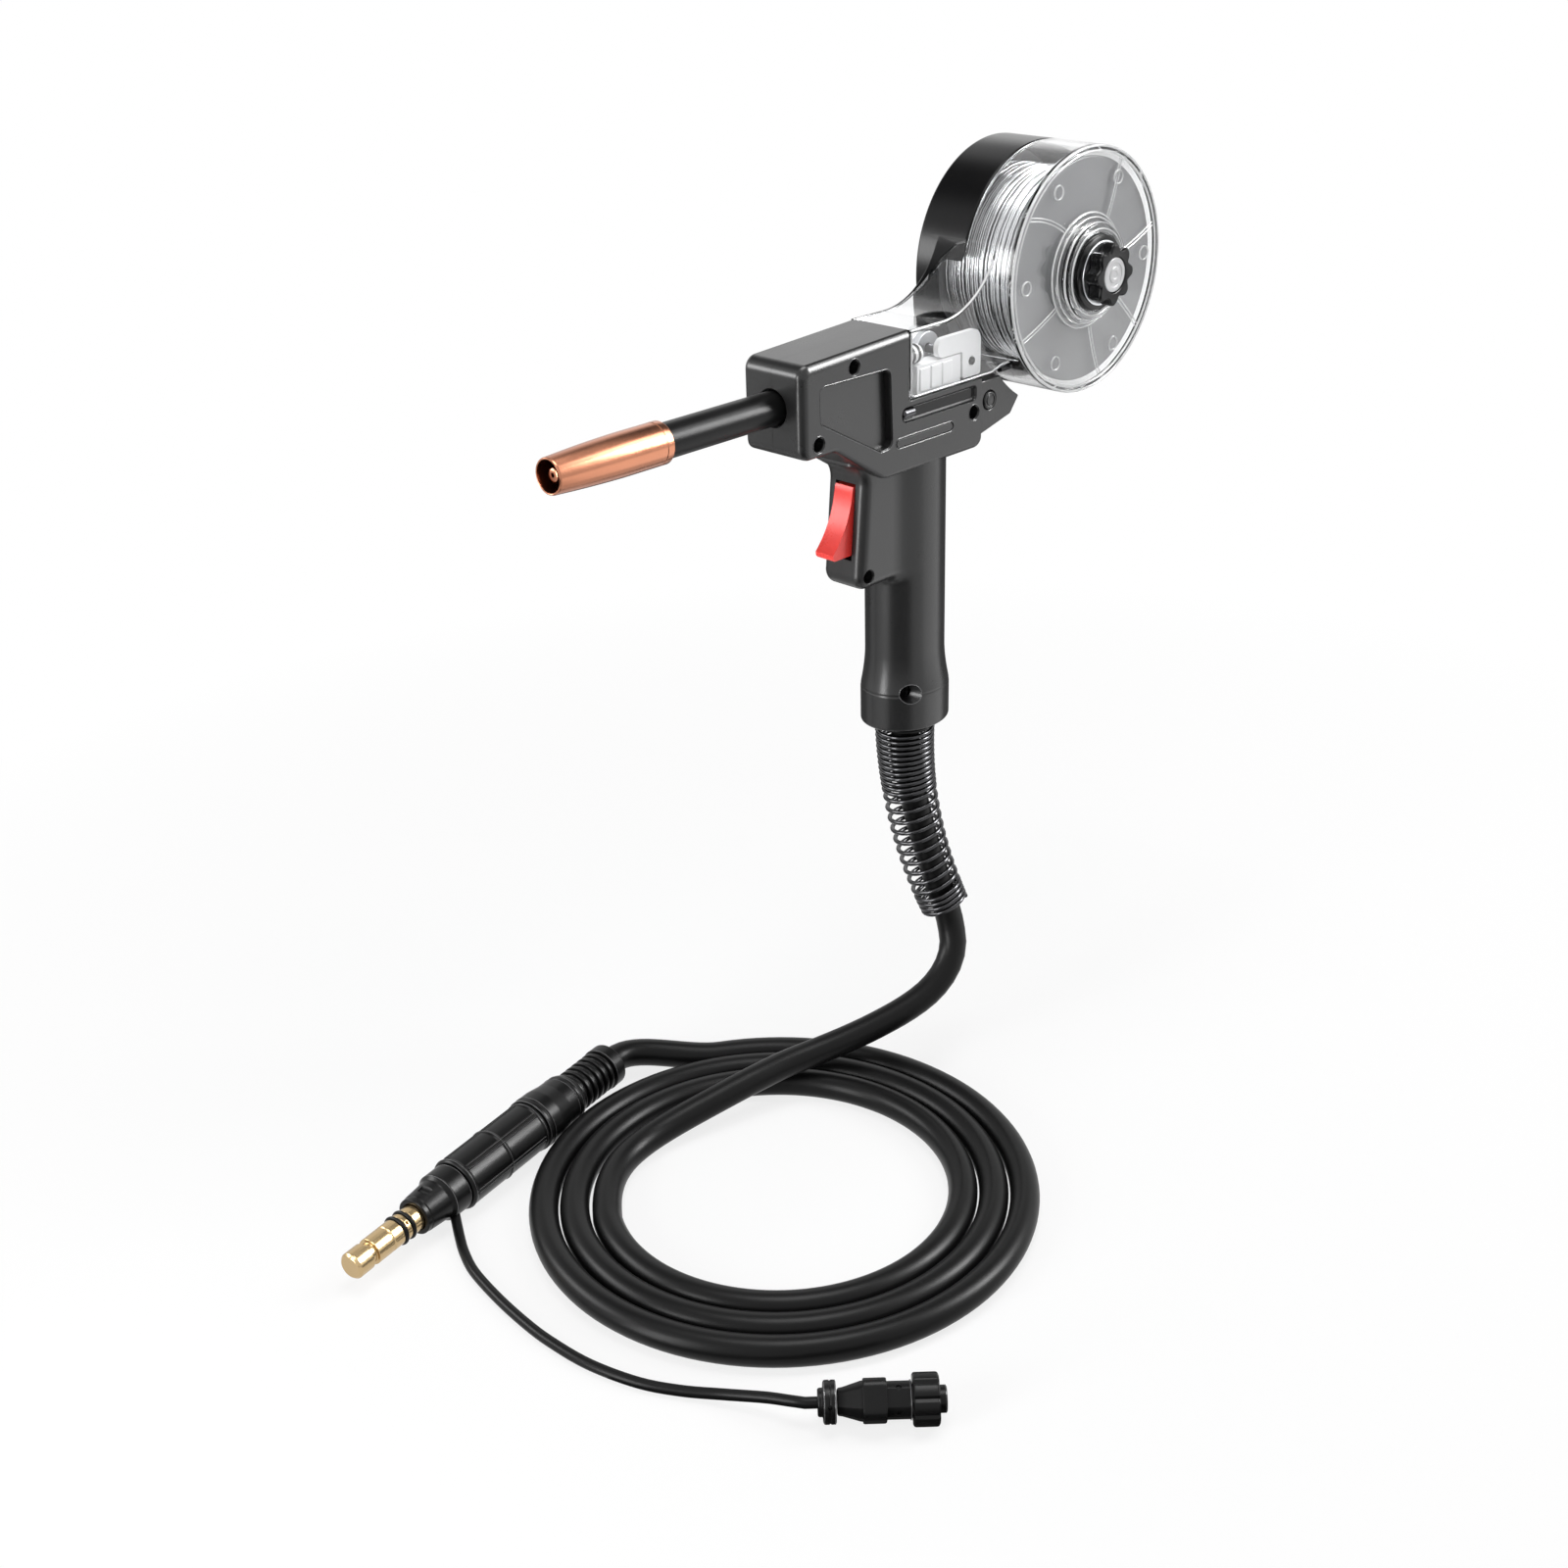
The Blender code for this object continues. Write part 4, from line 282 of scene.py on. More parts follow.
def moulded(name, tone, roughness, grain=0.06, scale=1400.0, specular=0.4):
    """Moulded plastic or rubber: a fine grain, soft cloudy gloss and a slight change of tone."""
    finish = Finish(name)
    cloud = finish.noise(38.0, 3.0)
    fine = finish.noise(scale, 2.0)
    shader = finish.node(
        "ShaderNodeBsdfPrincipled", {},
        {
            "Base Color": finish.blend(cloud, shaded(tone, 0.86), shaded(tone, 1.14)),
            "Roughness": roughness - 0.05 + 0.07 * cloud + 0.03 * fine,
            "Specular IOR Level": specular,
            "Normal": finish.bump(fine, grain, 0.0002),
        },
    )
    return finish.close(shader)


def metal(name, tone, roughness, stretch=(1.0, 1.0, 1.0), scale=900.0, marks=0.05):
    """Turned or drawn metal: fine tool marks, stretched one way, and a cloudy tarnish."""
    finish = Finish(name)
    cloud = finish.noise(60.0, 3.0)
    tool = finish.noise(scale, 2.0, stretch)
    shader = finish.node(
        "ShaderNodeBsdfPrincipled", {},
        {
            "Base Color": finish.blend(cloud, shaded(tone, 0.88), shaded(tone, 1.06)),
            "Metallic": 1.0,
            "Roughness": roughness - 0.05 + 0.08 * cloud + 0.04 * tool,
            "Normal": finish.bump(tool, marks, 0.0001),
        },
    )
    return finish.close(shader)


def clear_plastic(name, tone, roughness):
    """Clear moulded plastic that bends what is seen through it and lets the studio light straight in."""
    finish = Finish(name)
    ripple = finish.noise(45.0, 2.0)
    solid = finish.node(
        "ShaderNodeBsdfPrincipled", {},
        {
            "Base Color": finish.blend(ripple, shaded(tone, 0.985), tone),
            "Roughness": roughness + 0.02 * ripple,
            "IOR": 1.42, "Transmission Weight": 1.0, "Normal": finish.bump(ripple, 0.03, 0.0008),
        },
    )
    through = finish.node("ShaderNodeBsdfTransparent", {}, {"Color": (*tone, 1.0)})
    shade = finish.node("ShaderNodeLightPath", output="Is Shadow Ray")
    bounce = finish.node("ShaderNodeLightPath", output="Is Diffuse Ray")
    share = finish.maths("MAXIMUM", shade, bounce)
    return finish.close(finish.node("ShaderNodeMixShader", {}, {0: share, 1: solid, 2: through}))


def painted_highlight_clear(name, tone, share):
    """Painted highlight on edges of clear plastic that gather the light: a pale gloss over what lies behind.
    """
    finish = Finish(name)
    cloud = finish.noise(120.0, 2.0)
    gloss = finish.node(
        "ShaderNodeBsdfPrincipled", {},
        {
            "Base Color": finish.blend(cloud, shaded(tone, 0.82), shaded(tone, 0.95)),
            "Roughness": 0.10 + 0.06 * cloud, "Coat Weight": 0.5,
        },
    )
    through = finish.node("ShaderNodeBsdfTransparent", {}, {"Color": (*tone, 1.0)})
    return finish.close(
        finish.node("ShaderNodeMixShader", {}, {0: share - 0.1 + 0.2 * cloud, 1: through, 2: gloss})
    )


def finishes(colours):
    """Every finish of the torch, by name."""
    ring_marks = (1.0, 0.05, 0.05)
    return {
        "case": moulded("torch_case_black", colours.case, 0.29, 0.10, 900.0, 0.45),
        "gloss": moulded("drum_gloss_black", colours.gloss, 0.22, 0.02, 700.0, 0.20),
        "grip_rubber": moulded("lead_sheath", colours.rubber, 0.34, 0.06, 700.0, 0.15),
        "connector": moulded("connector_black", colours.rubber, 0.30, 0.10, 1100.0, 0.18),
        "barrel": moulded("barrel_black", colours.rubber, 0.32, 0.06, 1100.0, 0.15),
        "spring": metal("blackened_spring", colours.spring, 0.18, scale=500.0),
        "reel": moulded("reel_grey", colours.reel, 0.34, 0.04, 600.0, 0.4),
        # A lighter grey than the case, for thin lines along moulded edges: painted highlight where they catch
        # the light.
        "lip": moulded("case_lip", (0.11, 0.11, 0.113), 0.24, 0.03, 900.0, 0.5),
        "pale": moulded("knob_disc_pale", (0.66, 0.66, 0.67), 0.22, 0.03, 700.0, 0.5),
        "nylon": moulded("drive_nylon", colours.nylon, 0.40, 0.05, 900.0, 0.4),
        "trigger": moulded("trigger_red", colours.trigger, 0.28, 0.03, 900.0, 0.35),
        "copper": metal("nozzle_copper", colours.copper, 0.22, ring_marks, 1500.0, 0.02),
        "brass": metal("pin_brass", colours.brass, 0.22, ring_marks, 1500.0, 0.006),
        "steel": metal("bright_steel", colours.steel, 0.28, scale=900.0),
        "wire": metal("welding_wire", colours.wire, 0.24, scale=1200.0),
        "fibre": moulded("nozzle_fibre", colours.fibre, 0.60, 0.15, 1200.0, 0.3),
        "clear": clear_plastic("cover_clear", colours.clear, 0.03),
        # A pale gloss over what lies behind: painted highlight on the cover's pads, ridges and edges.
        "pad": painted_highlight_clear("cover_edge_clear", colours.clear, 0.62),
    }


FINISHES = {}


class GeometryTree(Nodes):
    """A geometry node tree with named inputs, which ends in real geometry of one finish."""

    def __init__(self, name, **inputs):
        super().__init__(bpy.data.node_groups.new(name, "GeometryNodeTree"))
        face = self.tree.interface
        face.new_socket("Geometry", in_out="INPUT", socket_type="NodeSocketGeometry")
        self.keys = {}
        for label, kind in {**inputs, "Material": "NodeSocketMaterial"}.items():
            self.keys[label] = face.new_socket(label, in_out="INPUT", socket_type=kind).identifier
        face.new_socket("Geometry", in_out="OUTPUT", socket_type="NodeSocketGeometry")
        self.start = self.tree.nodes.new("NodeGroupInput")

    def given(self, label):
        return Signal(self, self.start.outputs[label])

    def close(self, geometry):
        real = self.node("GeometryNodeRealizeInstances", {}, {"Geometry": geometry})
        painted = self.node(
            "GeometryNodeSetMaterial", {}, {"Geometry": real, "Material": self.given("Material")}
        )
        self.node("NodeGroupOutput", {}, {"Geometry": painted})

    def grow(self, obj, **values):
        """Swap an object's mesh for what the tree makes of it."""
        modifier = obj.modifiers.new("tree", "NODES")
        modifier.node_group = self.tree
        for label, value in values.items():
            modifier[self.keys[label]] = value
        obj.update_tag()
        return settle(obj)


def wire_tree():
    """A round wire or lead along a line of points."""
    tree = GeometryTree("wire_along_line", Radius="NodeSocketFloat", Sides="NodeSocketInt")
    line = tree.node("GeometryNodeMeshToCurve", {}, {"Mesh": tree.given("Geometry")})
    section = tree.node(
        "GeometryNodeCurvePrimitiveCircle", {},
        {"Resolution": tree.given("Sides"), "Radius": tree.given("Radius")},
    )
    tree.close(
        tree.node("GeometryNodeCurveToMesh", {}, {"Curve": line, "Profile Curve": section, "Fill Caps": True})
    )
    return tree


def ring_tree():
    """Copies of one shape round a circle, each turned to face outwards."""
    tree = GeometryTree(
        "copies_round_circle", Shape="NodeSocketObject", Count="NodeSocketInt", Radius="NodeSocketFloat"
    )
    shape = tree.node("GeometryNodeObjectInfo", {}, {"Object": tree.given("Shape")}, "Geometry")
    circle = tree.node(
        "GeometryNodeMeshCircle", {}, {"Vertices": tree.given("Count"), "Radius": tree.given("Radius")}
    )
    step = tree.maths("DIVIDE", 2 * math.pi, tree.given("Count"))
    turn = tree.node("ShaderNodeCombineXYZ", {}, {"Z": step * tree.node("GeometryNodeInputIndex")})
    facing = tree.node("FunctionNodeEulerToRotation", {}, {"Euler": turn})
    tree.close(
        tree.node(
            "GeometryNodeInstanceOnPoints", {}, {"Points": circle, "Instance": shape, "Rotation": facing}
        )
    )
    return tree


def places_tree():
    """Copies of one shape at each point."""
    tree = GeometryTree("copies_at_places", Shape="NodeSocketObject")
    shape = tree.node("GeometryNodeObjectInfo", {}, {"Object": tree.given("Shape")}, "Geometry")
    tree.close(
        tree.node(
            "GeometryNodeInstanceOnPoints", {}, {"Points": tree.given("Geometry"), "Instance": shape}
        )
    )
    return tree


TREES = {}


def frame_at(at, along):
    """The place and turn that put local +Z along a direction, with local +Y close to world up."""
    if tuple(along) == UP:
        return Matrix.Translation(at)
    turn = Vector(along).to_track_quat("Z", "Y")
    return Matrix.Translation(at) @ turn.to_matrix().to_4x4()


def add_object(name, mesh):
    obj = bpy.data.objects.new(name, mesh)
    bpy.context.scene.collection.objects.link(obj)
    return obj


def remove(*objs):
    for obj in objs:
        bpy.data.objects.remove(obj, do_unlink=True)


def settle(obj):
    """Make an object's modifiers part of its mesh."""
    graph = bpy.context.evaluated_depsgraph_get()
    mesh = bpy.data.meshes.new_from_object(
        obj.evaluated_get(graph), preserve_all_data_layers=True, depsgraph=graph
    )
    obj.modifiers.clear()
    obj.data = mesh
    return obj


def as_object(name, work, at=(0, 0, 0), along=UP):
    """An object of a finished bmesh, placed and with its faces outwards."""
    bmesh.ops.remove_doubles(work, verts=work.verts, dist=WELD)
    bmesh.ops.recalc_face_normals(work, faces=work.faces)
    mesh = bpy.data.meshes.new(name)
    work.to_mesh(mesh)
    work.free()
    mesh.transform(frame_at(at, along))
    return add_object(name, mesh)


def loft(name, rings, at=(0, 0, 0), along=UP, hollow=False):
    """A skin over rings of points with the same count, capped at both ends or closed on itself."""
    work = bmesh.new()
    made = [[work.verts.new(point) for point in ring] for ring in rings]
    pairs = list(zip(made, made[1:]))
    if hollow:
        pairs.append((made[-1], made[0]))
    else:
        work.faces.new(made[0])
        work.faces.new(made[-1])
    for low, high in pairs:
        for index in range(len(low)):
            work.faces.new((low[index - 1], low[index], high[index], high[index - 1]))
    return as_object(name, work, at, along)


def turned(name, profile, at=(0, 0, 0), along=UP, steps=64, hollow=False):
    """A turned piece from (distance along the axis, radius) points, solid unless it is hollow."""
    rings = []
    for distance, radius in profile:
        rings.append([
            (radius * math.cos(turn), radius * math.sin(turn), distance)
            for turn in (2 * math.pi * step / steps for step in range(steps))
        ])
    return loft(name, rings, at, along, hollow)


def level(outline, distance):
    return [(x, y, distance) for x, y in outline]


def prism(name, outline, start, end, at=(0, 0, 0), along=NEAR):
    return loft(name, [level(outline, start), level(outline, end)], at, along)


def box(name, low, high):
    outline = [(low[0], low[1]), (high[0], low[1]), (high[0], high[1]), (low[0], high[1])]
    return prism(name, outline, low[2], high[2], along=UP)


def rod(name, start, end, radius, at, along, steps=48):
    return turned(name, [(start, radius), (end, radius)], at, along, steps)


def combine(target, operation, tools):
    for tool in tools:
        change = target.modifiers.new(tool.name, "BOOLEAN")
        change.operation = operation
        change.solver = "EXACT"
        change.object = tool
    settle(target)
    remove(*tools)
    work = bmesh.new()
    work.from_mesh(target.data)
    bmesh.ops.remove_doubles(work, verts=work.verts, dist=WELD)
    work.to_mesh(target.data)
    work.free()
    return target


def cut(target, *tools):
    return combine(target, "DIFFERENCE", tools)


def join(target, *tools):
    return combine(target, "UNION", tools)


def bevelled(obj, width, segments=3, angle=40.0):
    """Round every edge of an object that is sharper than an angle."""
    change = obj.modifiers.new("edges", "BEVEL")
    change.width = width
    change.segments = segments
    change.limit_method = "ANGLE"
    change.angle_limit = math.radians(angle)
    change.use_clamp_overlap = True
    return settle(obj)


def bevel_rim(obj, side, width, segments=5, share=None):
    """Round the rim of a piece that lies at one Y, each edge by its share of the width."""
    work = bmesh.new()
    work.from_mesh(obj.data)
    weight = work.edges.layers.float.new("bevel_weight_edge")
    for edge in work.edges:
        if all(abs(vert.co.y - side) < 0.00001 for vert in edge.verts):
            middle = (edge.verts[0].co + edge.verts[1].co) / 2
            edge[weight] = share(middle.x, middle.z) if share else 1.0
    work.to_mesh(obj.data)
    work.free()
    change = obj.modifiers.new("rim", "BEVEL")
    change.width = width
    change.segments = segments
    change.limit_method = "WEIGHT"
    settle(obj)
    obj.data.attributes.remove(obj.data.attributes["bevel_weight_edge"])
    return obj


def rounded(corners, steps=6):
    """An outline from (x, z, radius) corners, with an arc at each corner that has a radius."""
    outline = []
    for index, (x, z, radius) in enumerate(corners):
        here = Vector((x, z))
        before = Vector(corners[index - 1][:2]) - here
        after = Vector(corners[(index + 1) % len(corners)][:2]) - here
        if radius <= 0.0:
            outline.append((x, z))
            continue
        half = before.angle(after) / 2
        centre = here + (before.normalized() + after.normalized()).normalized() * (radius / math.sin(half))
        first = here + before.normalized() * radius / math.tan(half) - centre
        sweep = (here + after.normalized() * radius / math.tan(half) - centre).angle_signed(first)
        for step in range(steps + 1):
            outline.append(tuple(centre + Matrix.Rotation(sweep * step / steps, 2) @ first))
    return outline


def inset(corners, distance):
    """The same corners moved inwards, with each radius kept concentric."""
    area = sum(a[0] * b[1] - b[0] * a[1] for a, b in zip(corners, (*corners[1:], corners[0])))
    side = 1.0 if area > 0 else -1.0
    moved = []
    for index, (x, z, radius) in enumerate(corners):
        here = Vector((x, z))
        back = (here - Vector(corners[index - 1][:2])).normalized()
        ahead = (Vector(corners[(index + 1) % len(corners)][:2]) - here).normalized()
        cross = back.x * ahead.y - back.y * ahead.x
        normal = Vector((-back.y, back.x)) + Vector((-ahead.y, ahead.x))
        shift = normal * (side * distance / (1.0 + back.dot(ahead)))
        grown = radius - distance if cross * side > 0 else radius + distance
        moved.append((x + shift.x, z + shift.y, max(grown, 0.0) if radius > 0 else 0.0))
    return moved


def soften(profile, radius, steps=3):
    """A turned profile with its inner corners rounded as far as its lengths allow."""
    points = [Vector(point) for point in profile]
    smooth = [tuple(points[0])]
    for before, here, after in zip(points, points[1:], points[2:]):
        back, ahead = before - here, after - here
        reach = min(radius, back.length * 0.45, ahead.length * 0.45)
        first, last = here + back.normalized() * reach, here + ahead.normalized() * reach
        for step in range(steps + 1):
            t = step / steps
            smooth.append(tuple(first * (1 - t) ** 2 + here * 2 * t * (1 - t) + last * t ** 2))
    return [*smooth, tuple(points[-1])]


def soft_ring(section, radius):
    """A closed section with its corners rounded."""
    return soften([*section, section[0], section[1]], radius)[1:-1]


def lobed(radius, lobes, scallop, start=0.0, points=12, power=2.0):
    """A grip outline with round lobes and a scallop between each two."""
    outline = []
    for step in range(lobes * points):
        turn = 2 * math.pi * step / (lobes * points)
        dip = (0.5 - 0.5 * math.cos(lobes * turn)) ** power
        reach = radius - scallop * dip
        outline.append((reach * math.cos(turn + start), reach * math.sin(turn + start)))
    return outline


def round_outline(radius, count, start=0.0):
    turns = (2 * math.pi * step / count + start for step in range(count))
    return [(radius * math.cos(turn), radius * math.sin(turn)) for turn in turns]


def smooth_route(points, spacing):
    """Points at an even spacing along a smooth curve through the given ones."""
    places = [Vector(point) for point in points]
    ends = [2 * places[0] - places[1], *places, 2 * places[-1] - places[-2]]
    fine = []
    for a, b, c, d in zip(ends, ends[1:], ends[2:], ends[3:]):
        for step in range(12):
            t = step / 12
            bend = (2 * a - 5 * b + 4 * c - d) * t ** 2 + (3 * b - a - 3 * c + d) * t ** 3
            fine.append(0.5 * (2 * b + (c - a) * t + bend))
    fine.append(places[-1])
    lengths = [0.0]
    for a, b in zip(fine, fine[1:]):
        lengths.append(lengths[-1] + (b - a).length)
    count = max(round(lengths[-1] / spacing), 2)
    route, index = [], 0
    for step in range(count + 1):
        want = lengths[-1] * step / count
        while index < len(fine) - 2 and lengths[index + 1] < want:
            index += 1
        span = lengths[index + 1] - lengths[index]
        route.append(fine[index].lerp(fine[index + 1], (want - lengths[index]) / span if span else 0.0))
    return route


def route_length(points):
    return sum((b - a).length for a, b in zip(points, points[1:]))


def wire(name, points, radius, sides, finish):
    """A wire or lead of a finish along points."""
    mesh = bpy.data.meshes.new(name)
    mesh.from_pydata(points, [(i, i + 1) for i in range(len(points) - 1)], [])
    return TREES["wire"].grow(add_object(name, mesh), Radius=radius, Sides=sides, Material=FINISHES[finish])


def round_copies(name, shape, count, radius, finish, at, along, start=0.0):
    """Copies of a shape round an axis. The shape itself is used up."""
    obj = add_object(name, bpy.data.meshes.new(name))
    TREES["ring"].grow(obj, Shape=shape, Count=count, Radius=radius, Material=FINISHES[finish])
    remove(shape)
    obj.data.transform(frame_at(at, along) @ Matrix.Rotation(start, 4, "Z"))
    return obj


def gathered(name, parts):
    """One object of several, which are used up."""
    work = bmesh.new()
    for part in parts:
        work.from_mesh(part.data)
    remove(*parts)
    return as_object(name, work)


def edge_lines(name, rings, at, along):
    """Fine lines of painted highlight round an axis, each at a distance and radius, where moulded edges catch
    the light.
    """
    lines = []
    for distance, radius in rings:
        circle = [(x, y, distance) for x, y in round_outline(radius, 48)]
        line = wire("edge_line", [*circle, circle[0]], 0.00015, 6, "lip")
        line.data.transform(frame_at(at, along))
        lines.append(line)
    return show(gathered(name, lines), "torch_body", "lip", "black_case")


def show(obj, body, finish, slot, *nodes, angle=35.0):
    """Finish a piece: its material, its shading, what it rides on and which solids it stands for."""
    obj.data.materials.clear()
    obj.data.materials.append(FINISHES[finish])
    obj.data.shade_smooth()
    obj.data.set_sharp_from_angle(angle=math.radians(angle))
    weigh = obj.modifiers.new("flat faces", "WEIGHTED_NORMAL")
    weigh.keep_sharp = True
    settle(obj)
    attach(obj, body)
    if nodes:
        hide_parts(*nodes)
    return obj


class TorchStep:
    """What the torch's operators share: they stop the script when they fail."""

    def execute(self, context):
        self.make(context.scene.torch_colours, context.scene.torch_sizes)
        return {"FINISHED"}


class TORCH_OT_finishes(TorchStep, bpy.types.Operator):
    """Make the torch's materials and the node trees that repeat its small shapes"""

    bl_idname = "torch.finishes"
    bl_label = "Finishes"

    def make(self, colours, sizes):
        FINISHES.update(finishes(colours))
        TREES.update(wire=wire_tree(), ring=ring_tree(), places=places_tree())


class TORCH_OT_stage(TorchStep, bpy.types.Operator):
    """Set up the camera, the pale floor, the backdrop and the studio light"""

    bl_idname = "torch.stage"
    bl_label = "Stage"

    def make(self, colours, sizes):
        scene = bpy.context.scene
        scene.view_settings.view_transform = "Standard"
        self.add_camera(scene)
        self.add_floor()
        self.add_backdrop(scene)
        self.add_card("rear_card", -20.0, 112.0, 0.1)
        self.add_card("left_card", 112.0, 150.0, 0.7)
        self.add_card("front_card", 195.0, 255.0, 0.05)
        self.add_card("right_card", 288.0, 338.0, 1.85)
        self.add_lamp("right_panel", (0.83, -0.62, 0.78), (0.45, 0.8), 8.0)
        self.add_lamp("top_panel", (-0.05, -0.10, 1.30), (0.7, 0.6), 10.0)
        self.add_lamp("left_panel", (-1.15, 0.05, 0.12), (0.3, 0.7), 8.0)
        self.add_lamp("right_gleam", (0.83, -0.85, 0.60), (0.3, 0.6), 20.0, True)
        self.add_screen("left_screen", (-0.74, 0.70, 0.32), (0.9, 0.5), 12.0)
        self.add_screen("rear_screen", (1.0, 0.95, 0.72), (1.1, 0.7), 1.5)
        self.add_screen("right_flag", (0.87, 0.22, 1.09), (1.5, 0.9), 0.02)
        self.add_screen("rear_flag", (-0.06, 0.90, 1.15), (1.4, 0.8), 0.02)

    def add_camera(self, scene):
        data = bpy.data.cameras.new("photo_camera")
        data.lens = 48.6
        data.sensor_width = 36.0
        data.sensor_fit = "HORIZONTAL"
        data.clip_start = 0.01
        camera = bpy.data.objects.new("photo_camera", data)
        scene.collection.objects.link(camera)
        right = Vector((0.69327, -0.72028, -0.02371))
        up = Vector((0.32693, 0.28501, 0.90105))
        back = right.cross(up).normalized()
        turn = Matrix((right, up, back)).transposed().to_4x4()
        camera.matrix_world = Matrix.Translation((-0.703, -0.6098, 0.3618)) @ turn
        scene.camera = camera

    def shown_white(self, finish):
        """One where a ray comes from the camera or off a polished or clear surface."""
        seen = finish.node("ShaderNodeLightPath", output="Is Camera Ray")
        gloss = finish.node("ShaderNodeLightPath", output="Is Glossy Ray")
        through = finish.node("ShaderNodeLightPath", output="Is Transmission Ray")
        return finish.maths("MAXIMUM", finish.maths("MAXIMUM", seen, gloss), through)

    def add_floor(self):
        finish = Finish("studio_floor")
        lit = finish.node(
            "ShaderNodeBsdfDiffuse", {},
            {"Color": finish.blend(finish.noise(3.0), (0.86, 0.86, 0.86), (0.90, 0.90, 0.90))},
        )
        white = finish.node("ShaderNodeEmission", {}, {"Color": (1.0, 1.0, 1.0, 1.0), "Strength": 1.0})
        far = finish.node("ShaderNodeVectorMath", {"operation": "LENGTH"}, {0: finish.place}, "Value")
        spread = finish.node("ShaderNodeMapRange", {}, {"Value": far, "From Min": 0.35, "From Max": 0.75})
        share = self.shown_white(finish) * (0.80 + 0.20 * spread)
        shader = finish.node("ShaderNodeMixShader", {}, {0: share, 1: lit, 2: white})
        floor = box("studio_floor", (-4.0, -4.0, FLOOR_Z - 0.02), (4.0, 4.0, FLOOR_Z - 0.0002))
        floor.data.materials.append(finish.close(shader))

    def add_card(self, name, first, last, strength):
        """A card on the floor, seen only in reflections, which gives the black parts their shape."""
        finish = Finish(name)
        grey = finish.node("ShaderNodeEmission", {}, {"Color": (1.0, 1.0, 1.0, 1.0), "Strength": strength})
        turns = [math.radians(first + (last - first) * step / 24) for step in range(25)]
        outer = [(1.8 * math.cos(turn), 1.8 * math.sin(turn)) for turn in turns]
        inner = [(0.27 * math.cos(turn), 0.27 * math.sin(turn)) for turn in reversed(turns)]
        card = prism(name, [*outer, *inner], FLOOR_Z, FLOOR_Z + 0.0005, along=UP)
        card.data.materials.append(finish.close(grey))
        self.reflected_only(card)

    def add_screen(self, name, place, size, strength):
        """A soft-edged panel turned to the torch, seen only in reflections."""
        centre = Vector(place)
        toward = (Vector((0.0, 0.0, 0.08)) - centre).normalized()
        across = Vector(UP).cross(toward).normalized()
        ways = ((across, size[0] / 2), (toward.cross(across), size[1] / 2))
        finish = Finish(name)
        share = 1.0
        for way, half in ways:
            along = finish.node(
                "ShaderNodeVectorMath", {"operation": "DOT_PRODUCT"}, {0: finish.place, 1: way}, "Value"
            )
            off = finish.node("ShaderNodeMath", {"operation": "ABSOLUTE"}, {0: along - centre.dot(way)})
            fade = {"Value": off, "From Min": 0.35 * half, "From Max": half, "To Min": 1.0, "To Max": 0.0}
            share = share * finish.node("ShaderNodeMapRange", {"interpolation_type": "SMOOTHSTEP"}, fade)
        glow = finish.node("ShaderNodeEmission", {}, {"Color": (1.0, 1.0, 1.0, 1.0), "Strength": strength})
        through = finish.node("ShaderNodeBsdfTransparent", {}, {"Color": (1.0, 1.0, 1.0, 1.0)})
        shader = finish.node("ShaderNodeMixShader", {}, {0: share, 1: through, 2: glow})
        mesh = bpy.data.meshes.new(name)
        (right, wide), (high, tall) = ways
        corners = [
            centre + right * wide * a + high * tall * b for a, b in ((-1, -1), (1, -1), (1, 1), (-1, 1))
        ]
        mesh.from_pydata(corners, [], [(0, 1, 2, 3)])
        mesh.materials.append(finish.close(shader))
        self.reflected_only(add_object(name, mesh))

    def reflected_only(self, obj):
        obj.visible_camera = obj.visible_diffuse = obj.visible_shadow = obj.visible_transmission = False

    def add_backdrop(self, scene):
        world = bpy.data.worlds.new("studio_backdrop")
        world.use_nodes = True
        scene.world = world
        finish = Nodes(world.node_tree)
        strength = 0.28 + 0.72 * self.shown_white(finish)
        light = finish.node("ShaderNodeBackground", {}, {"Color": (1.0, 1.0, 1.0, 1.0), "Strength": strength})
        finish.node("ShaderNodeOutputWorld", {}, {"Surface": light})

    def add_lamp(self, name, place, size, power, gleam=False):
        """A soft panel turned to the torch. One that only gleams shows in reflections and lights nothing."""
        data = bpy.data.lights.new(name, "AREA")
        data.shape = "RECTANGLE"
        data.size, data.size_y = size
        data.energy = power
        lamp = bpy.data.objects.new(name, data)
        lamp.visible_diffuse = not gleam
        bpy.context.scene.collection.objects.link(lamp)
        aim = Vector((-0.03, 0.0, 0.0)) - Vector(place)
        lamp.matrix_world = Matrix.Translation(place) @ aim.to_track_quat("-Z", "Y").to_matrix().to_4x4()


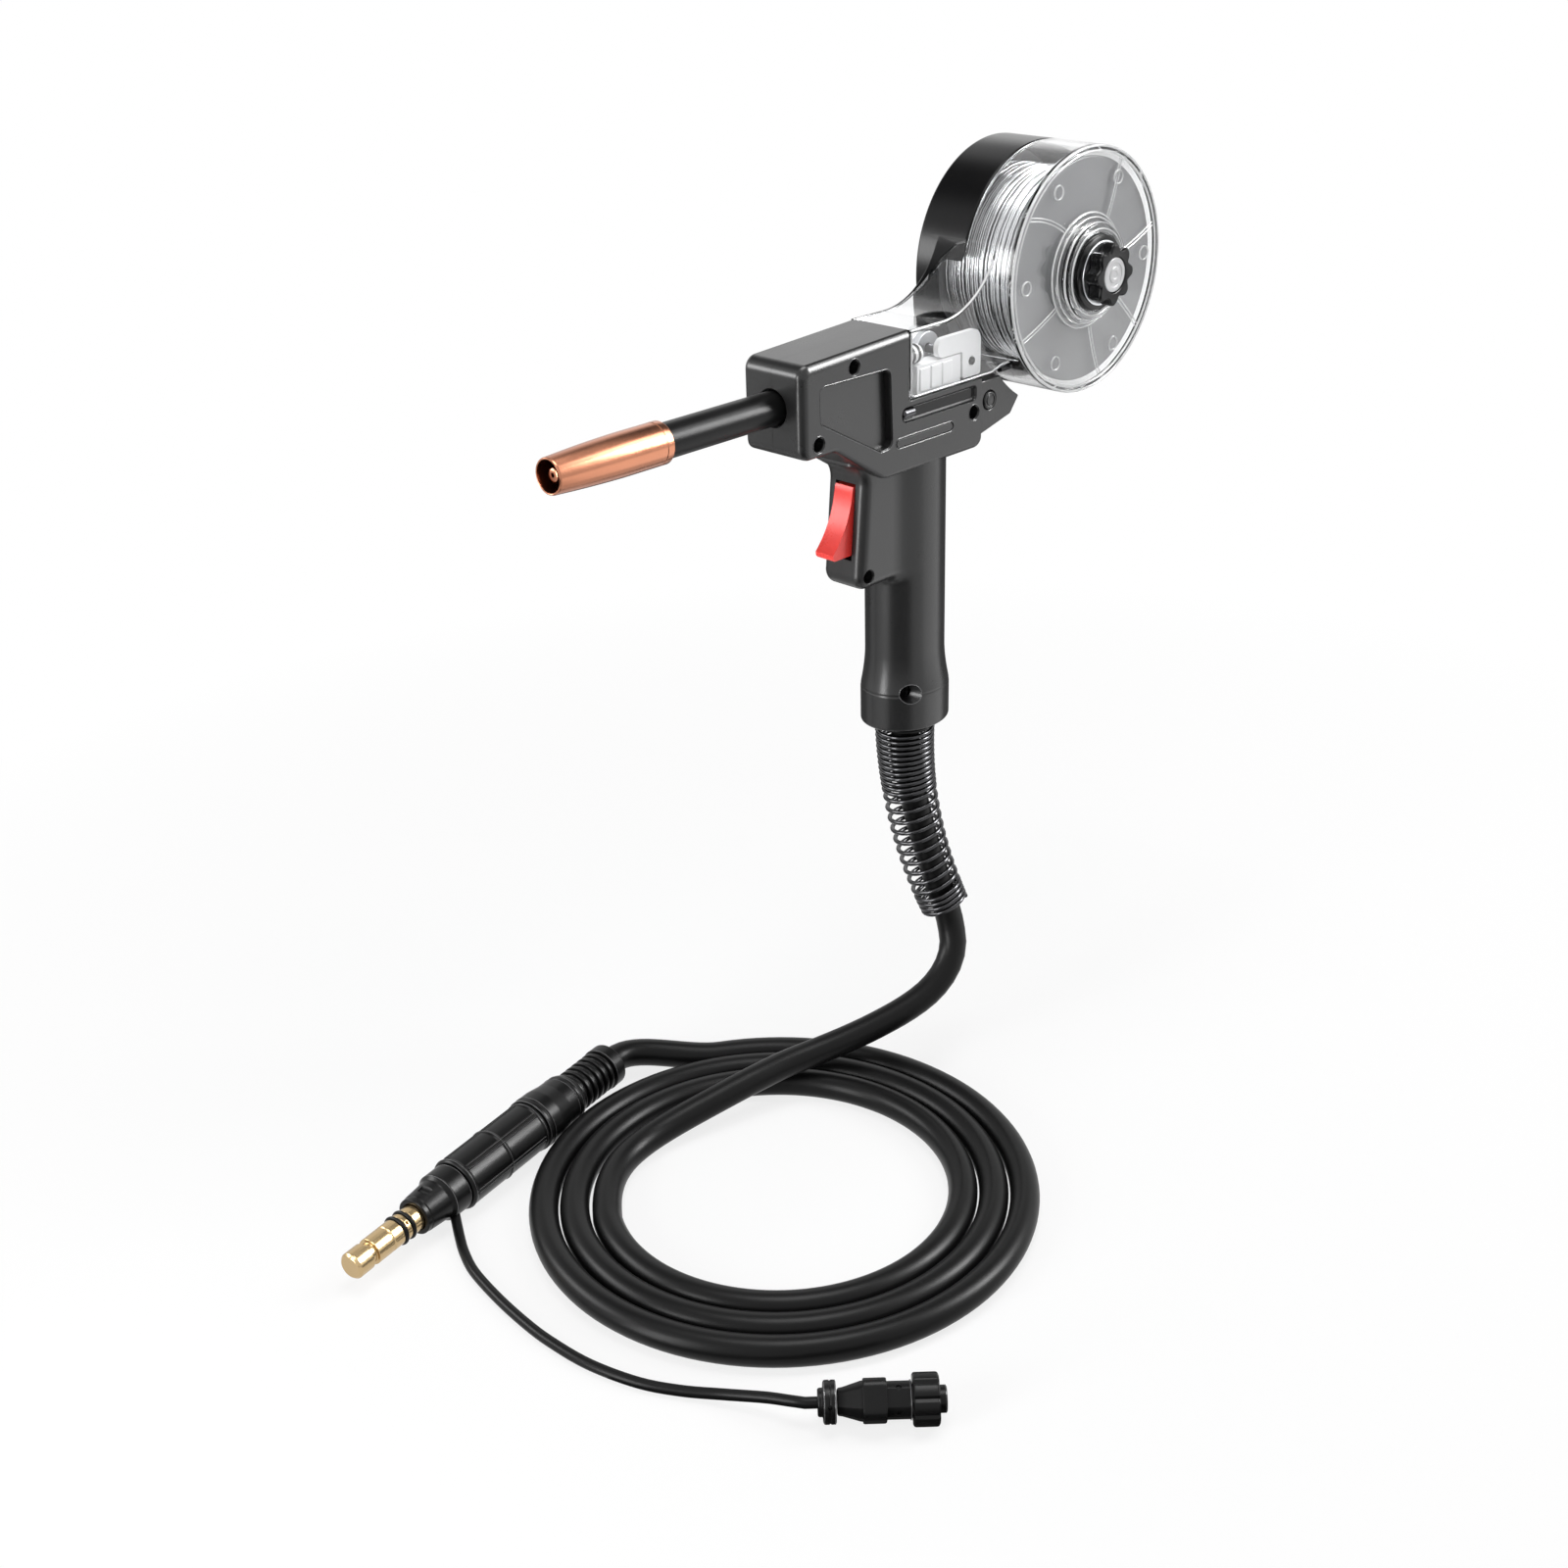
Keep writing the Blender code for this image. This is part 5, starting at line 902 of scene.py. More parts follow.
class TORCH_OT_connector(TorchStep, bpy.types.Operator):
    """Build the power connector: boot, collar, ridged handle, nose, brass pin and its two sealing rings"""

    bl_idname = "torch.connector"
    bl_label = "Power connector"

    def make(self, colours, sizes):
        self.add_boot(sizes)
        self.add_collar()
        self.add_handle(sizes)
        self.add_nose()
        self.add_pin()
        middle = (0.0633 + 0.1186) / 2
        rings = (
            (0.0004, 0.0107), (0.0063, 0.0109), (0.0357, 0.0122), (0.0388, 0.01235), (0.0593, 0.0135),
            (0.0627, 0.0134), (0.0650, 0.0130), (middle, 0.0131), (0.1170, 0.0130),
            (NOSE_AT + 0.0008, 0.0117),
            (NOSE_AT + 0.0103, 0.0117),
        )
        edge_lines("connector_lines", rings, CONNECTOR_AT, CONNECTOR_WAY)

    def turn(self, name, profile, finish, slot, node, hollow=False, steps=72):
        piece = turned(name, profile, CONNECTOR_AT, CONNECTOR_WAY, steps, hollow)
        return show(piece, "torch_body", finish, slot, node)

    def add_boot(self, sizes):
        ribs, end, radius, groove = 6, 0.0065, 0.0106, 0.0018
        pitch = (0.033 - end) / ribs
        profile = [(0.0, 0.0074), (0.0, 0.0109), (end, 0.0109), (end + 0.0004, radius - groove)]
        for rib in range(ribs):
            start = end + pitch * rib + pitch * 0.12
            profile += [
                (start + pitch * 0.30, radius - groove), (start + pitch * 0.36, radius),
                (start + pitch * 0.80, radius), (start + pitch * 0.86, radius - groove),
            ]
        profile += [(0.033, radius - groove), (0.033, 0.003), (0.012, 0.003), (0.012, 0.0074)]
        self.turn(
            "ribbed_boot", soften(profile, 0.0005), "connector", "black_rubber", "connector_boot", True
        )

    def add_collar(self):
        profile = [
            (0.0333, 0.0), (0.0333, 0.0116), (0.0356, 0.0122), (0.0372, 0.0122), (0.0376, 0.0118),
            (0.0382, 0.0118), (0.0386, 0.0123), (0.0450, 0.0125), (0.0530, 0.0135), (0.0595, 0.0135),
            (0.0599, 0.0131), (0.0605, 0.0131), (0.0609, 0.0135), (0.0625, 0.0135), (0.0630, 0.0130),
            (0.0630, 0.0),
        ]
        self.turn("smooth_collar", soften(profile, 0.0006), "connector", "black_case", "connector_collar")

    def add_handle(self, sizes):
        start, end, radius = 0.0633, 0.1186, 0.0127
        middle = (start + end) / 2
        profile = [
            (start, 0.0), (start, radius), (start + 0.0012, 0.0130), (start + 0.0022, 0.0130),
            (start + 0.003, radius),
            (middle - 0.0012, radius), (middle - 0.0005, 0.0131), (middle + 0.0005, 0.0131),
            (middle + 0.0012, radius),
            (end - 0.003, radius), (end - 0.0022, 0.0130), (end - 0.001, 0.0130), (end, 0.0122), (end, 0.0),
        ]
        self.turn("ridged_handle", soften(profile, 0.0004), "connector", "black_case", "connector_handle")
        ridge = [(-0.0003, -0.0016), (0.0004, -0.0013), (0.0004, -0.0007), (-0.0003, -0.0004)]
        strips = prism("ridge", ridge, start + 0.003, end - 0.003, along=UP)
        other = prism("ridge_pair", [(x, -y) for x, y in ridge], start + 0.003, end - 0.003, along=UP)
        double = join(strips, other)
        ridges = round_copies(
            "handle_ridges", bevelled(double, 0.0002, 2), sizes.ridges, radius, "connector",
            CONNECTOR_AT, CONNECTOR_WAY, math.radians(57.7),
        )
        show(ridges, "torch_body", "connector", "black_case")

    def add_nose(self):
        end = PIN_AT
        profile = [
            (NOSE_AT, 0.002), (NOSE_AT, 0.0112), (NOSE_AT + 0.0008, 0.0118), (NOSE_AT + 0.0085, 0.0118),
            (NOSE_AT + 0.0102, 0.0118), (NOSE_AT + 0.0122, 0.0102), (end - 0.003, 0.0093),
            (end - 0.0026, 0.0090),
            (end, 0.0090), (end, 0.0067), (end - 0.010, 0.0067), (end - 0.010, 0.002),
        ]
        nose = turned("pin_nose", soften(profile, 0.0006), CONNECTOR_AT, CONNECTOR_WAY, 72, True)
        notch_at = CONNECTOR_AT + CONNECTOR_WAY * (NOSE_AT + 0.0185) + Vector(UP) * 0.0118
        notch = rod("notch", -0.003, 0.003, 0.0032, notch_at, CONNECTOR_SIDE, 32)
        show(cut(nose, notch), "torch_body", "connector", "black_case", "connector_nose")

    def add_pin(self):
        radius, wire_radius = 0.0064, 0.0009
        groove = radius - wire_radius - GAP
        profile = [(PIN_AT - 0.0097, 0.0), (PIN_AT - 0.0097, radius)]
        for place in (0.0065, 0.0115):
            half = wire_radius + GAP
            profile += [
                (PIN_AT + place - half, radius), (PIN_AT + place - half, groove),
                (PIN_AT + place + half, groove), (PIN_AT + place + half, radius),
            ]
        profile += [
            (PIN_AT + 0.0185, radius), (PIN_AT + 0.0188, radius - 0.0004), (PIN_AT + 0.0194, radius - 0.0004),
            (PIN_AT + 0.0197, radius), (PIN_AT + 0.029, radius), (PIN_AT + 0.0292, radius - 0.0016),
            (PIN_AT + 0.0322, radius - 0.0016), (PIN_AT + 0.0324, radius), (PIN_AT + 0.0404, radius),
            (PIN_AT + 0.0416, radius - 0.0012), (PIN_AT + 0.0416, 0.0),
        ]
        pin = turned("brass_pin", soften(profile, 0.0003), CONNECTOR_AT, CONNECTOR_WAY, 72)
        out = (CONNECTOR_SIDE + Vector(UP)).normalized()
        hole_at = CONNECTOR_AT + CONNECTOR_WAY * (PIN_AT + 0.009) + out * radius
        pin = cut(pin, rod("gas_hole", -0.002, 0.002, 0.0009, hole_at, out, 24))
        show(pin, "torch_body", "brass", "brass", "power_pin")
        for index, place in enumerate((0.0065, 0.0115), 1):
            seat = groove + GAP + wire_radius
            section = [
                (PIN_AT + place + wire_radius * math.cos(t), seat + wire_radius * math.sin(t))
                for t in (math.pi * step / 6 for step in range(12))
            ]
            self.turn(
                f"sealing_ring_{index}", section, "grip_rubber", "black_rubber", f"o_ring_{index}", True, 64
            )


class TORCH_OT_plug(TorchStep, bpy.types.Operator):
    """Build the control plug: clamp, squared body, lobed coupling ring and barrel"""

    bl_idname = "torch.plug"
    bl_label = "Control plug"

    def make(self, colours, sizes):
        self.add_clamp()
        self.add_body()
        self.add_ring(sizes)
        self.add_barrel()
        rings = ((0.0027, 0.0085), (0.0071, 0.0086), (0.0373, 0.0079), (0.0514, 0.0054))
        edge_lines("plug_lines", rings, PLUG_AT, PLUG_WAY)

    def add_clamp(self):
        profile = [
            (0.0, 0.0), (0.0, 0.0052), (0.0006, 0.0057), (0.0020, 0.0057), (0.0022, 0.0080), (0.0029, 0.0087),
            (0.0046, 0.0087), (0.0048, 0.0084), (0.0052, 0.0084), (0.0054, 0.0087), (0.0069, 0.0087),
            (0.0075, 0.0081), (0.0075, 0.0),
        ]
        clamp = turned("plug_nut", soften(profile, 0.0004), PLUG_AT, PLUG_WAY, 72)
        turn = math.radians(154.0)
        out = Vector(UP).cross(PLUG_WAY) * math.cos(turn) + Vector(UP) * math.sin(turn)
        clamp = cut(
            clamp,
            rod("clamp_hole", -0.002, 0.001, 0.0010, PLUG_AT + PLUG_WAY * 0.0049 + out * 0.0087, out, 24)
        )
        show(clamp, "torch_body", "connector", "black_case", "plug_clamp")

    def add_body(self):
        square = rounded(
            [(x * 0.0084, y * 0.0084, 0.0042) for x, y in ((1, 1), (-1, 1), (-1, -1), (1, -1))], 23
        )
        turn = Matrix.Rotation(math.radians(130.0), 2)
        square = [tuple(turn @ Vector(point)) for point in square]
        angles = [math.atan2(y, x) for x, y in square]

        def ring(radius, distance):
            return [(radius * math.cos(a), radius * math.sin(a), distance) for a in angles]

        def squared(share, distance):
            return [(x * share, y * share, distance) for x, y in square]

        rings = [
            ring(0.0050, 0.0078), ring(0.0057, 0.0083), ring(0.0060, 0.0100), ring(0.0083, 0.0172),
            ring(0.0084, 0.0181), squared(0.97, 0.0182), squared(1.0, 0.0188), squared(1.0, 0.0270),
            squared(0.97, 0.0276), ring(0.0079, 0.0277), ring(0.0079, 0.0372), ring(0.0074, 0.0378),
        ]
        body = loft("plug_shell", rings, PLUG_AT, PLUG_WAY)
        side = Vector(UP).cross(PLUG_WAY)
        for degrees in (100.0, 176.0):
            out = side * math.cos(math.radians(degrees)) + Vector(UP) * math.sin(math.radians(degrees))
            slot_at = PLUG_AT + PLUG_WAY * 0.0325 + out * 0.0079
            slot = rod("slot", -0.0007, 0.0007, 0.0012, slot_at, out, 24)
            body = cut(body, slot)
        show(body, "torch_body", "connector", "black_case", "plug_body", angle=30.0)

    def add_ring(self, sizes):
        lobes = sizes.ring_lobes
        start = math.radians(138.0 - 180.0 / lobes)

        def grip(less, distance):
            return level(lobed(0.0107 - less, lobes, 0.0010, start, 16, 6.0), distance)

        def bore(radius, distance):
            return level(round_outline(radius, lobes * 16, start), distance)

        rings = [
            bore(0.0060, 0.0381), grip(0.0008, 0.0381), grip(0.0002, 0.0385), grip(0.0, 0.0392),
            grip(0.0, 0.0476),
            grip(0.0002, 0.0483), grip(0.0009, 0.0488), bore(0.0066, 0.0488), bore(0.0060, 0.0480),
        ]
        ring = loft("coupling_grip", rings, PLUG_AT, PLUG_WAY, True)
        show(ring, "coupling_ring", "connector", "black_case", "plug_ring")

    def add_barrel(self):
        profile = [
            (0.0382, 0.0), (0.0382, 0.0055), (0.0512, 0.0055), (0.0519, 0.0050), (0.0519, 0.0044),
            (0.0490, 0.0043),
            (0.0490, 0.0012), (0.0512, 0.0011), (0.0514, 0.0),
        ]
        barrel = turned("plug_socket", soften(profile, 0.0003), PLUG_AT, PLUG_WAY, 64)
        show(barrel, "torch_body", "connector", "black_case", "plug_barrel")


def coil_place(degrees):
    radius = COIL_RADIUS + COIL_PITCH * (degrees - COIL_DEGREES[0]) / 360
    turn = math.radians(degrees)
    return Vector(
        (COIL_CENTRE[0] + radius * math.cos(turn), COIL_CENTRE[1] + radius * math.sin(turn), CABLE_REST)
    )


class TORCH_OT_power_lead(TorchStep, bpy.types.Operator):
    """Lay the power lead from the gland through its coil into the connector's boot"""

    bl_idname = "torch.power_lead"
    bl_label = "Power lead"

    def make(self, colours, sizes):
        start, end = COIL_DEGREES
        points = smooth_route([*LEAD_ROUTE, coil_place(start - 9.0)], 0.006)
        steps = round((end - start + 6.0) / 3.0)
        joint = len(points)
        points += [coil_place(start - 6.0 + (end - start + 6.0) * step / steps) for step in range(steps + 1)]
        for _ in range(14):
            nearby = range(joint - 12, joint + 12)
            eased = [(points[i - 1] + 2 * points[i] + points[i + 1]) / 4 for i in nearby]
            points[nearby.start:nearby.stop] = eased
        first = points[-1]
        last = CONNECTOR_AT - CONNECTOR_WAY * 0.004
        leave = (coil_place(end + 1.0) - coil_place(end - 1.0)).normalized()
        pull = (last - first).length
        for step in range(1, 17):
            t = step / 16
            points.append(
                first * (2 * t ** 3 - 3 * t ** 2 + 1) + leave * pull * (t ** 3 - 2 * t ** 2 + t)
                + last * (3 * t ** 2 - 2 * t ** 3) + CONNECTOR_WAY * pull * (t ** 3 - t ** 2)
            )
        points.append(CONNECTOR_AT + CONNECTOR_WAY * 0.0114)
        lead = wire("coiled_lead", points, sizes.lead, 28, "grip_rubber")
        show(lead, "torch_body", "grip_rubber", "black_rubber", "cable_lead", "cable_coil")
        route_length(points)


class TORCH_OT_control_lead(TorchStep, bpy.types.Operator):
    """Lay the thin control lead from the connector's nose to the control plug"""

    bl_idname = "torch.control_lead"
    bl_label = "Control lead"

    def make(self, colours, sizes):
        out = (CONNECTOR_SIDE - Vector(UP)).normalized()
        start = CONNECTOR_AT + CONNECTOR_WAY * (NOSE_AT + 0.0085) + out * 0.0105
        way = [start, *CONTROL_ROUTE, PLUG_AT - PLUG_WAY * 0.005]
        points = [*smooth_route(way, 0.004), PLUG_AT + PLUG_WAY * 0.0004]
        lead = wire("control_cord", points, sizes.control, 20, "grip_rubber")
        show(lead, "torch_body", "grip_rubber", "black_rubber", "control_lead")
        route_length(points)


def smooth_least(first, second, reach):
    close = max(reach - abs(first - second), 0.0) / reach
    return min(first, second) - close * close * reach * 0.25


def within(first, second, corner):
    """Distance outside both of two walls that meet in a round corner."""
    a, b = first + corner, second + corner
    return math.hypot(max(a, 0.0), max(b, 0.0)) + min(max(a, b), 0.0) - corner


def grip_reach(z):
    """The grip's radius at a height, with its flared foot, the line above the foot and the rounded end."""
    if z >= FLARE_TOP:
        return GRIP_RADIUS
    share = min((FLARE_TOP - z) / (FLARE_TOP - FOOT_TOP), 1.0)
    radius = GRIP_RADIUS + (FOOT_RADIUS - GRIP_RADIUS) * share ** 1.75
    radius -= 0.00025 * math.exp(-((z - FOOT_TOP) / 0.0005) ** 2)
    edge = 0.0014
    left = min(max(edge - (z - GRIP_BOTTOM), 0.0), edge)
    return radius - edge + math.sqrt(edge * edge - left * left)


def handle_distance(x, y, z):
    """Distance from the handle's skin: an oval grip and the trigger block, softly joined."""
    radius = grip_reach(z)
    grip = (math.hypot(x / radius, y / (radius * GRIP_RATIO)) - 1.0) * radius * GRIP_RATIO
    (top_x, top_z), (low_x, low_z) = BLOCK_FRONT
    front = low_x + (top_x - low_x) * (z - low_z) / (top_z - low_z)
    rise = min(max(z - 0.0755, 0.0), 0.0114)
    front -= 0.0118 - math.sqrt(0.0118 ** 2 - rise ** 2)
    side = within(within(front - x, BLOCK_BOTTOM - z, 0.007), abs(y) - BLOCK_HALF, 0.0050)
    return smooth_least(grip, max(side, x + 0.004), 0.005)


def handle_ring(z, angles):
    """The handle's outline at a height, found outwards from a line inside it."""
    ring = []
    for angle in angles:
        low, high = 0.0, 0.06
        for _ in range(22):
            middle = (low + high) / 2
            place = (-0.010 + middle * math.cos(angle), middle * math.sin(angle))
            if handle_distance(*place, z) < 0.0:
                low = middle
            else:
                high = middle
        ring.append((-0.010 + low * math.cos(angle), low * math.sin(angle), z))
    return ring


def steps_between(*stops):
    """Values from stop to stop, each stop with the count of steps that lead to it."""
    values = [stops[0]]
    for stop, count in stops[1:]:
        start = values[-1]
        values += [start + (stop - start) * (step + 1) / count for step in range(count)]
    return values


def rim_share(x, z):
    """How much of the rim rounding an edge takes: all on top and in front, less below, least elsewhere."""
    if x > -0.0175 and z > 0.1105:
        return 0.12
    upper = min(max((z - 0.0985) / 0.004, 0.0), 1.0)
    rear = min(max((x - 0.0285) / 0.005, 0.0), 1.0)
    return 0.55 + 0.45 * upper - 0.35 * rear


class TORCH_OT_case(TorchStep, bpy.types.Operator):
    """Build the two shells of the case with the grip, trigger block, pocket, grooves and screw holes"""

    bl_idname = "torch.case"
    bl_label = "Case shells"

    def make(self, colours, sizes):
        near = prism("near_shell", rounded(BODY_CORNERS, 8), -2 * PAST, HALF_WIDTH)
        bevel_rim(near, -HALF_WIDTH, sizes.rim, 6, rim_share)
        near = join(near, self.handle())
        near = cut(near, *self.hollow())
        near = join(near, *self.backing())
        reach = 0.3
        far_half = box("far_half", (-reach, GAP / 4, -reach), (reach, reach, reach))
        near = cut(near, self.pocket(), self.groove(), self.outline_groove(), far_half)
        far = add_object("far_shell", near.data.copy())
        far.data.transform(Matrix.Diagonal((1.0, -1.0, 1.0, 1.0)))
        far.data.flip_normals()
        near = cut(near, *self.screw_holes())
        show(near, "torch_body", "case", "black_case", "left_shell")
        self.add_painted_edge_highlights()
        end = [
            (0.0125, 0.0), (0.0125, 0.0024), (0.0190, 0.0026), (0.0203, 0.0022), (0.0209, 0.0012),
            (0.0211, 0.0)
        ]
        latch = turned("groove_latch", soften(end, 0.0004), (0.0, -0.0151, 0.1051), AHEAD, 40)
        show(latch, "torch_body", "spring", "black_steel")
        # A thin sheet of darker, glossier black on the groove's floor, which paints the shade inside the
        # groove.
        strip = [
            (-0.0206, 0.1030, 0.0021), (-0.0206, 0.1072, 0.0021), (0.0277, 0.1072, 0.0006),
            (0.0277, 0.1030, 0.0006)
        ]
        groove_shade = prism("groove_inlay", rounded(strip, 6), HALF_WIDTH - 0.0022, HALF_WIDTH - 0.0016)
        show(groove_shade, "torch_body", "gloss", "black_case")
        show(far, "torch_body", "case", "black_case", "right_shell")

    def add_painted_edge_highlights(self):
        """Fine beads of lighter grey round the pocket, the stadium-shaped line and the screw holes, which
        paint the highlight where these edges catch the light.
        """
        side = -HALF_WIDTH
        outlines = [
            (rounded(inset([(x, z, 0.003) for x, z in POCKET], -0.0007), 8), side),
            (rounded([(-0.0263, 0.0910, 0.0023), (-0.0263, 0.0958, 0.0023), (0.0133, 0.0958, 0.0023),
                      (0.0133, 0.0910, 0.0023)], 8), side),
        ]
        for x, z, half in SCREWS[:3]:
            outlines.append(([(x + a, z + b) for a, b in round_outline(0.0038, 32)], -half))
        loops = [[(x, depth, z) for x, z in outline] for outline, depth in outlines]
        loops.append(self.foot_rim())
        lines = [wire("lip", [*loop, loop[0]], 0.00018, 6, "lip") for loop in loops]
        show(gathered("case_lips", lines), "torch_body", "lip", "black_case")

    def foot_rim(self):
        """Where the flared screw hole of the foot comes out on the grip's round side."""
        x, z, half = SCREWS[4]
        rim = []
        for a, b in round_outline(1.0, 40):
            reach = 0.0045
            for _ in range(6):
                place = (x + a * reach, z + b * reach)
                radius = grip_reach(place[1])
                side = radius * GRIP_RATIO * math.sqrt(max(1.0 - (place[0] / radius) ** 2, 0.0))
                reach = 0.0031 + 0.31 * (side - half + 0.002)
            rim.append((place[0], -side, place[1]))
        return rim

    def handle(self):
        degrees = steps_between(
            0.0, (140.0, 40), (155.0, 10), (170.0, 24), (190.0, 10), (205.0, 24), (220.0, 10)
        )
        degrees = [*degrees, *steps_between(220.0, (360.0, 40))[1:-1]]
        angles = [math.radians(value) for value in degrees]
        heights = steps_between(
            GRIP_BOTTOM, (GRIP_BOTTOM + 0.0014, 5), (FOOT_TOP - 0.0012, 4), (FOOT_TOP + 0.0012, 8),
            (FLARE_TOP, 10),
            (0.023, 6), (0.0272, 6), (0.0350, 22), (0.069, 14), (0.0750, 4), (0.0869, 24), (0.0890, 1),
        )
        return loft("handle", [handle_ring(z, angles) for z in heights])

    def hollow(self):
        """What is cut out of the inside, and the openings for barrel, trigger and wire drive."""
        grip_room = rod("grip_room", -0.039, 0.0854, GRIP_RADIUS - GRIP_WALL, (0, 0, 0), UP, 64)
        grip_room.data.transform(Matrix.Diagonal((1.0, GRIP_RATIO, 1.0, 1.0)))
        flare = [(0.0765, 0.00775), (0.0842, 0.00775), (0.0850, 0.0085), (0.0870, 0.0105)]
        return (
            prism("room", rounded(inset(BODY_CORNERS, BODY_WALL), 6), -3 * PAST, HALF_WIDTH - BODY_WALL),
            grip_room,
            rod("gland_seat", -0.0465, -0.032, 0.0155, (0, 0, 0), UP, 64),
            rod("gland_hole", -0.06, -0.0452, 0.0141, (0, 0, 0), UP, 64),
            box("trigger_slot", (-0.066, -0.0058, 0.0416), (-0.0147, 0.0058, 0.0764)),
            box("floor_opening", (-0.012, -0.0145, 0.1068), (0.030, 0.0145, 0.1132)),
            turned("barrel_hole", flare, BARREL_LINE, AHEAD, 64),
            rod("guide_hole", 0.013, 0.0218, 0.0046, BARREL_LINE, AHEAD, 32),
        )

    def backing(self):
        """Thicker wall behind the pocket and groove, and the pillars round the case screws."""
        grown = inset([(x, z, 0.003) for x, z in POCKET], -0.0016)
        outer = HALF_WIDTH - BODY_WALL / 2
        pieces = [
            prism("pocket_back", rounded(grown, 4), HALF_WIDTH - 0.0052, outer),
            box("groove_back", (-0.0234, -outer, 0.1002), (0.0304, -HALF_WIDTH + 0.0036, 0.110)),
        ]
        for x, z, half in SCREWS:
            pieces.append(rod("pillar", GAP, half - BODY_WALL / 2, 0.0040, (x, 0, z), NEAR, 32))
        return pieces

    def pocket(self):
        """The pocket's cutter: shallow in front, deep at the rear, with a fine chamfer round its mouth."""
        corners = [(x, z, 0.003) for x, z in POCKET]
        front, rear = POCKET[0][0], POCKET[2][0]
        outline = rounded(corners, 8)
        floor = [
            (x, z, HALF_WIDTH - 0.0008 - 0.0028 * (x - front) / (rear - front))
            for x, z in rounded(inset(corners, 0.0003), 8)
        ]
        mouth = rounded(inset(corners, -0.0005), 8)
        rings = [
            floor, level(outline, HALF_WIDTH - 0.0005), level(mouth, HALF_WIDTH + 0.00002),
            level(mouth, HALF_WIDTH + PAST),
        ]
        return loft("pocket", rings, along=NEAR)

    def groove(self):
        corners = [
            (-0.0218, 0.1018, 0.0032), (-0.0218, 0.1084, 0.0032), (0.0288, 0.1084, 0.0016),
            (0.0288, 0.1018, 0.0016)
        ]
        rings = [
            level(rounded(inset(corners, 0.0010), 8), HALF_WIDTH - 0.0020),
            level(rounded(inset(corners, 0.0002), 8), HALF_WIDTH - 0.0013),
            level(rounded(corners, 8), HALF_WIDTH - 0.0004),
            level(rounded(inset(corners, -0.0004), 8), HALF_WIDTH + 0.00002),
            level(rounded(inset(corners, -0.0004), 8), HALF_WIDTH + PAST),
        ]
        return loft("groove", rings, along=NEAR)

    def outline_groove(self):
        """A fine stadium-shaped line below the groove."""
        corners = [
            (-0.026, 0.0913, 0.00209), (-0.026, 0.0955, 0.00209), (0.013, 0.0955, 0.00209),
            (0.013, 0.0913, 0.00209)
        ]
        inner = inset(corners, 0.0007)
        rings = [
            level(rounded(corners, 8), HALF_WIDTH + PAST), level(rounded(corners, 8), HALF_WIDTH - 0.0001),
            level(rounded(inset(corners, 0.0003), 8), HALF_WIDTH - 0.0005),
            level(rounded(inner, 8), HALF_WIDTH - 0.0001),
            level(rounded(inner, 8), HALF_WIDTH + PAST),
        ]
        return loft("outline_groove", rings, along=NEAR, hollow=True)

    def screw_holes(self):
        holes = []
        for x, z, half in SCREWS:
            seat = half - SCREW_DEPTH - 0.0022
            profile = [
                (seat, 0.0031), (half - 0.0005, 0.0031), (half + 0.0001, 0.0037), (half + 0.006, 0.0037)
            ]
            if z < 0.0:
                profile = [(seat, 0.0031), (half - 0.002, 0.0031), (half + 0.008, 0.0062)]
            holes.append(turned("head_hole", profile, (x, 0, z), NEAR, 32))
        return holes


class TORCH_OT_case_screws(TorchStep, bpy.types.Operator):
    """Set a cross-recess screw in each sunk hole of the case"""

    bl_idname = "torch.case_screws"
    bl_label = "Case screws"

    def make(self, colours, sizes):
        profile = [
            (-0.0095, 0.0), (-0.0095, 0.0015), (-0.0022, 0.0015), (-0.0022, 0.0028), (-0.0009, 0.0028),
            (-0.0002, 0.0021), (0.0, 0.0012), (0.0, 0.0),
        ]
        head = turned("screw", soften(profile, 0.0003), (0, 0, 0), NEAR, 40)
        for size in ((0.0017, 0.0004), (0.0004, 0.0017)):
            across, high = size
            bar = box("bar", (-across, -0.002, -high), (across, 0.0011, high))
            head = cut(head, bar)
        places = bpy.data.meshes.new("screw_places")
        places.from_pydata([(x, -(half - SCREW_DEPTH), z) for x, z, half in SCREWS], [], [])
        screws = add_object("case_screws", places)
        TREES["places"].grow(screws, Shape=head, Material=FINISHES["spring"])
        remove(head)
        nodes = [f"shell_screw_{index}" for index in range(1, 6)]
        show(screws, "torch_body", "spring", "black_steel", *nodes)


class TORCH_OT_tail(TorchStep, bpy.types.Operator):
    """Build the wedge behind the case and the round cap of its pin"""

    bl_idname = "torch.tail"
    bl_label = "Tail bracket"

    def make(self, colours, sizes):
        front, radius = 0.0338, 0.0625
        x, _, z = DRUM_AXIS
        start, end = math.acos((0.1085 - z) / radius), math.acos((0.0965 - z) / radius)
        arc = [
            (x - radius * math.sin(turn), z + radius * math.cos(turn))
            for turn in (start + (end - start) * step / 24 for step in range(25))
        ]
        corner = [(arc[-1][0] - 0.006 * t, arc[-1][1] - 0.0075 * t) for t in (0.5, 1.0)]
        outline = [(front, 0.0835), (front, 0.1085), *arc, *corner]
        wedge = prism("tail_wedge", outline, -0.0155, 0.0155)
        pin_at = (0.041, 0.0, 0.0987)
        wedge = cut(wedge, rod("pin_hole", -0.03, 0.03, 0.0045, pin_at, NEAR, 48))
        wedge = bevelled(wedge, 0.0007, 3, 50.0)
        show(wedge, "torch_body", "case", "black_case", "tail_bracket")
        half = 0.0161
        profile = [
            (-half, 0.0), (-half, 0.0036), (0.0006 - half, 0.0042), (half - 0.0006, 0.0042), (half, 0.0037),
            (half, 0.0031), (half - 0.0005, 0.0029), (half - 0.0005, 0.0024), (half, 0.0022), (half, 0.0),
        ]
        pin = turned("tail_pin", soften(profile, 0.0003), pin_at, NEAR, 48)
        show(pin, "torch_body", "case", "black_case", "bracket_pin")


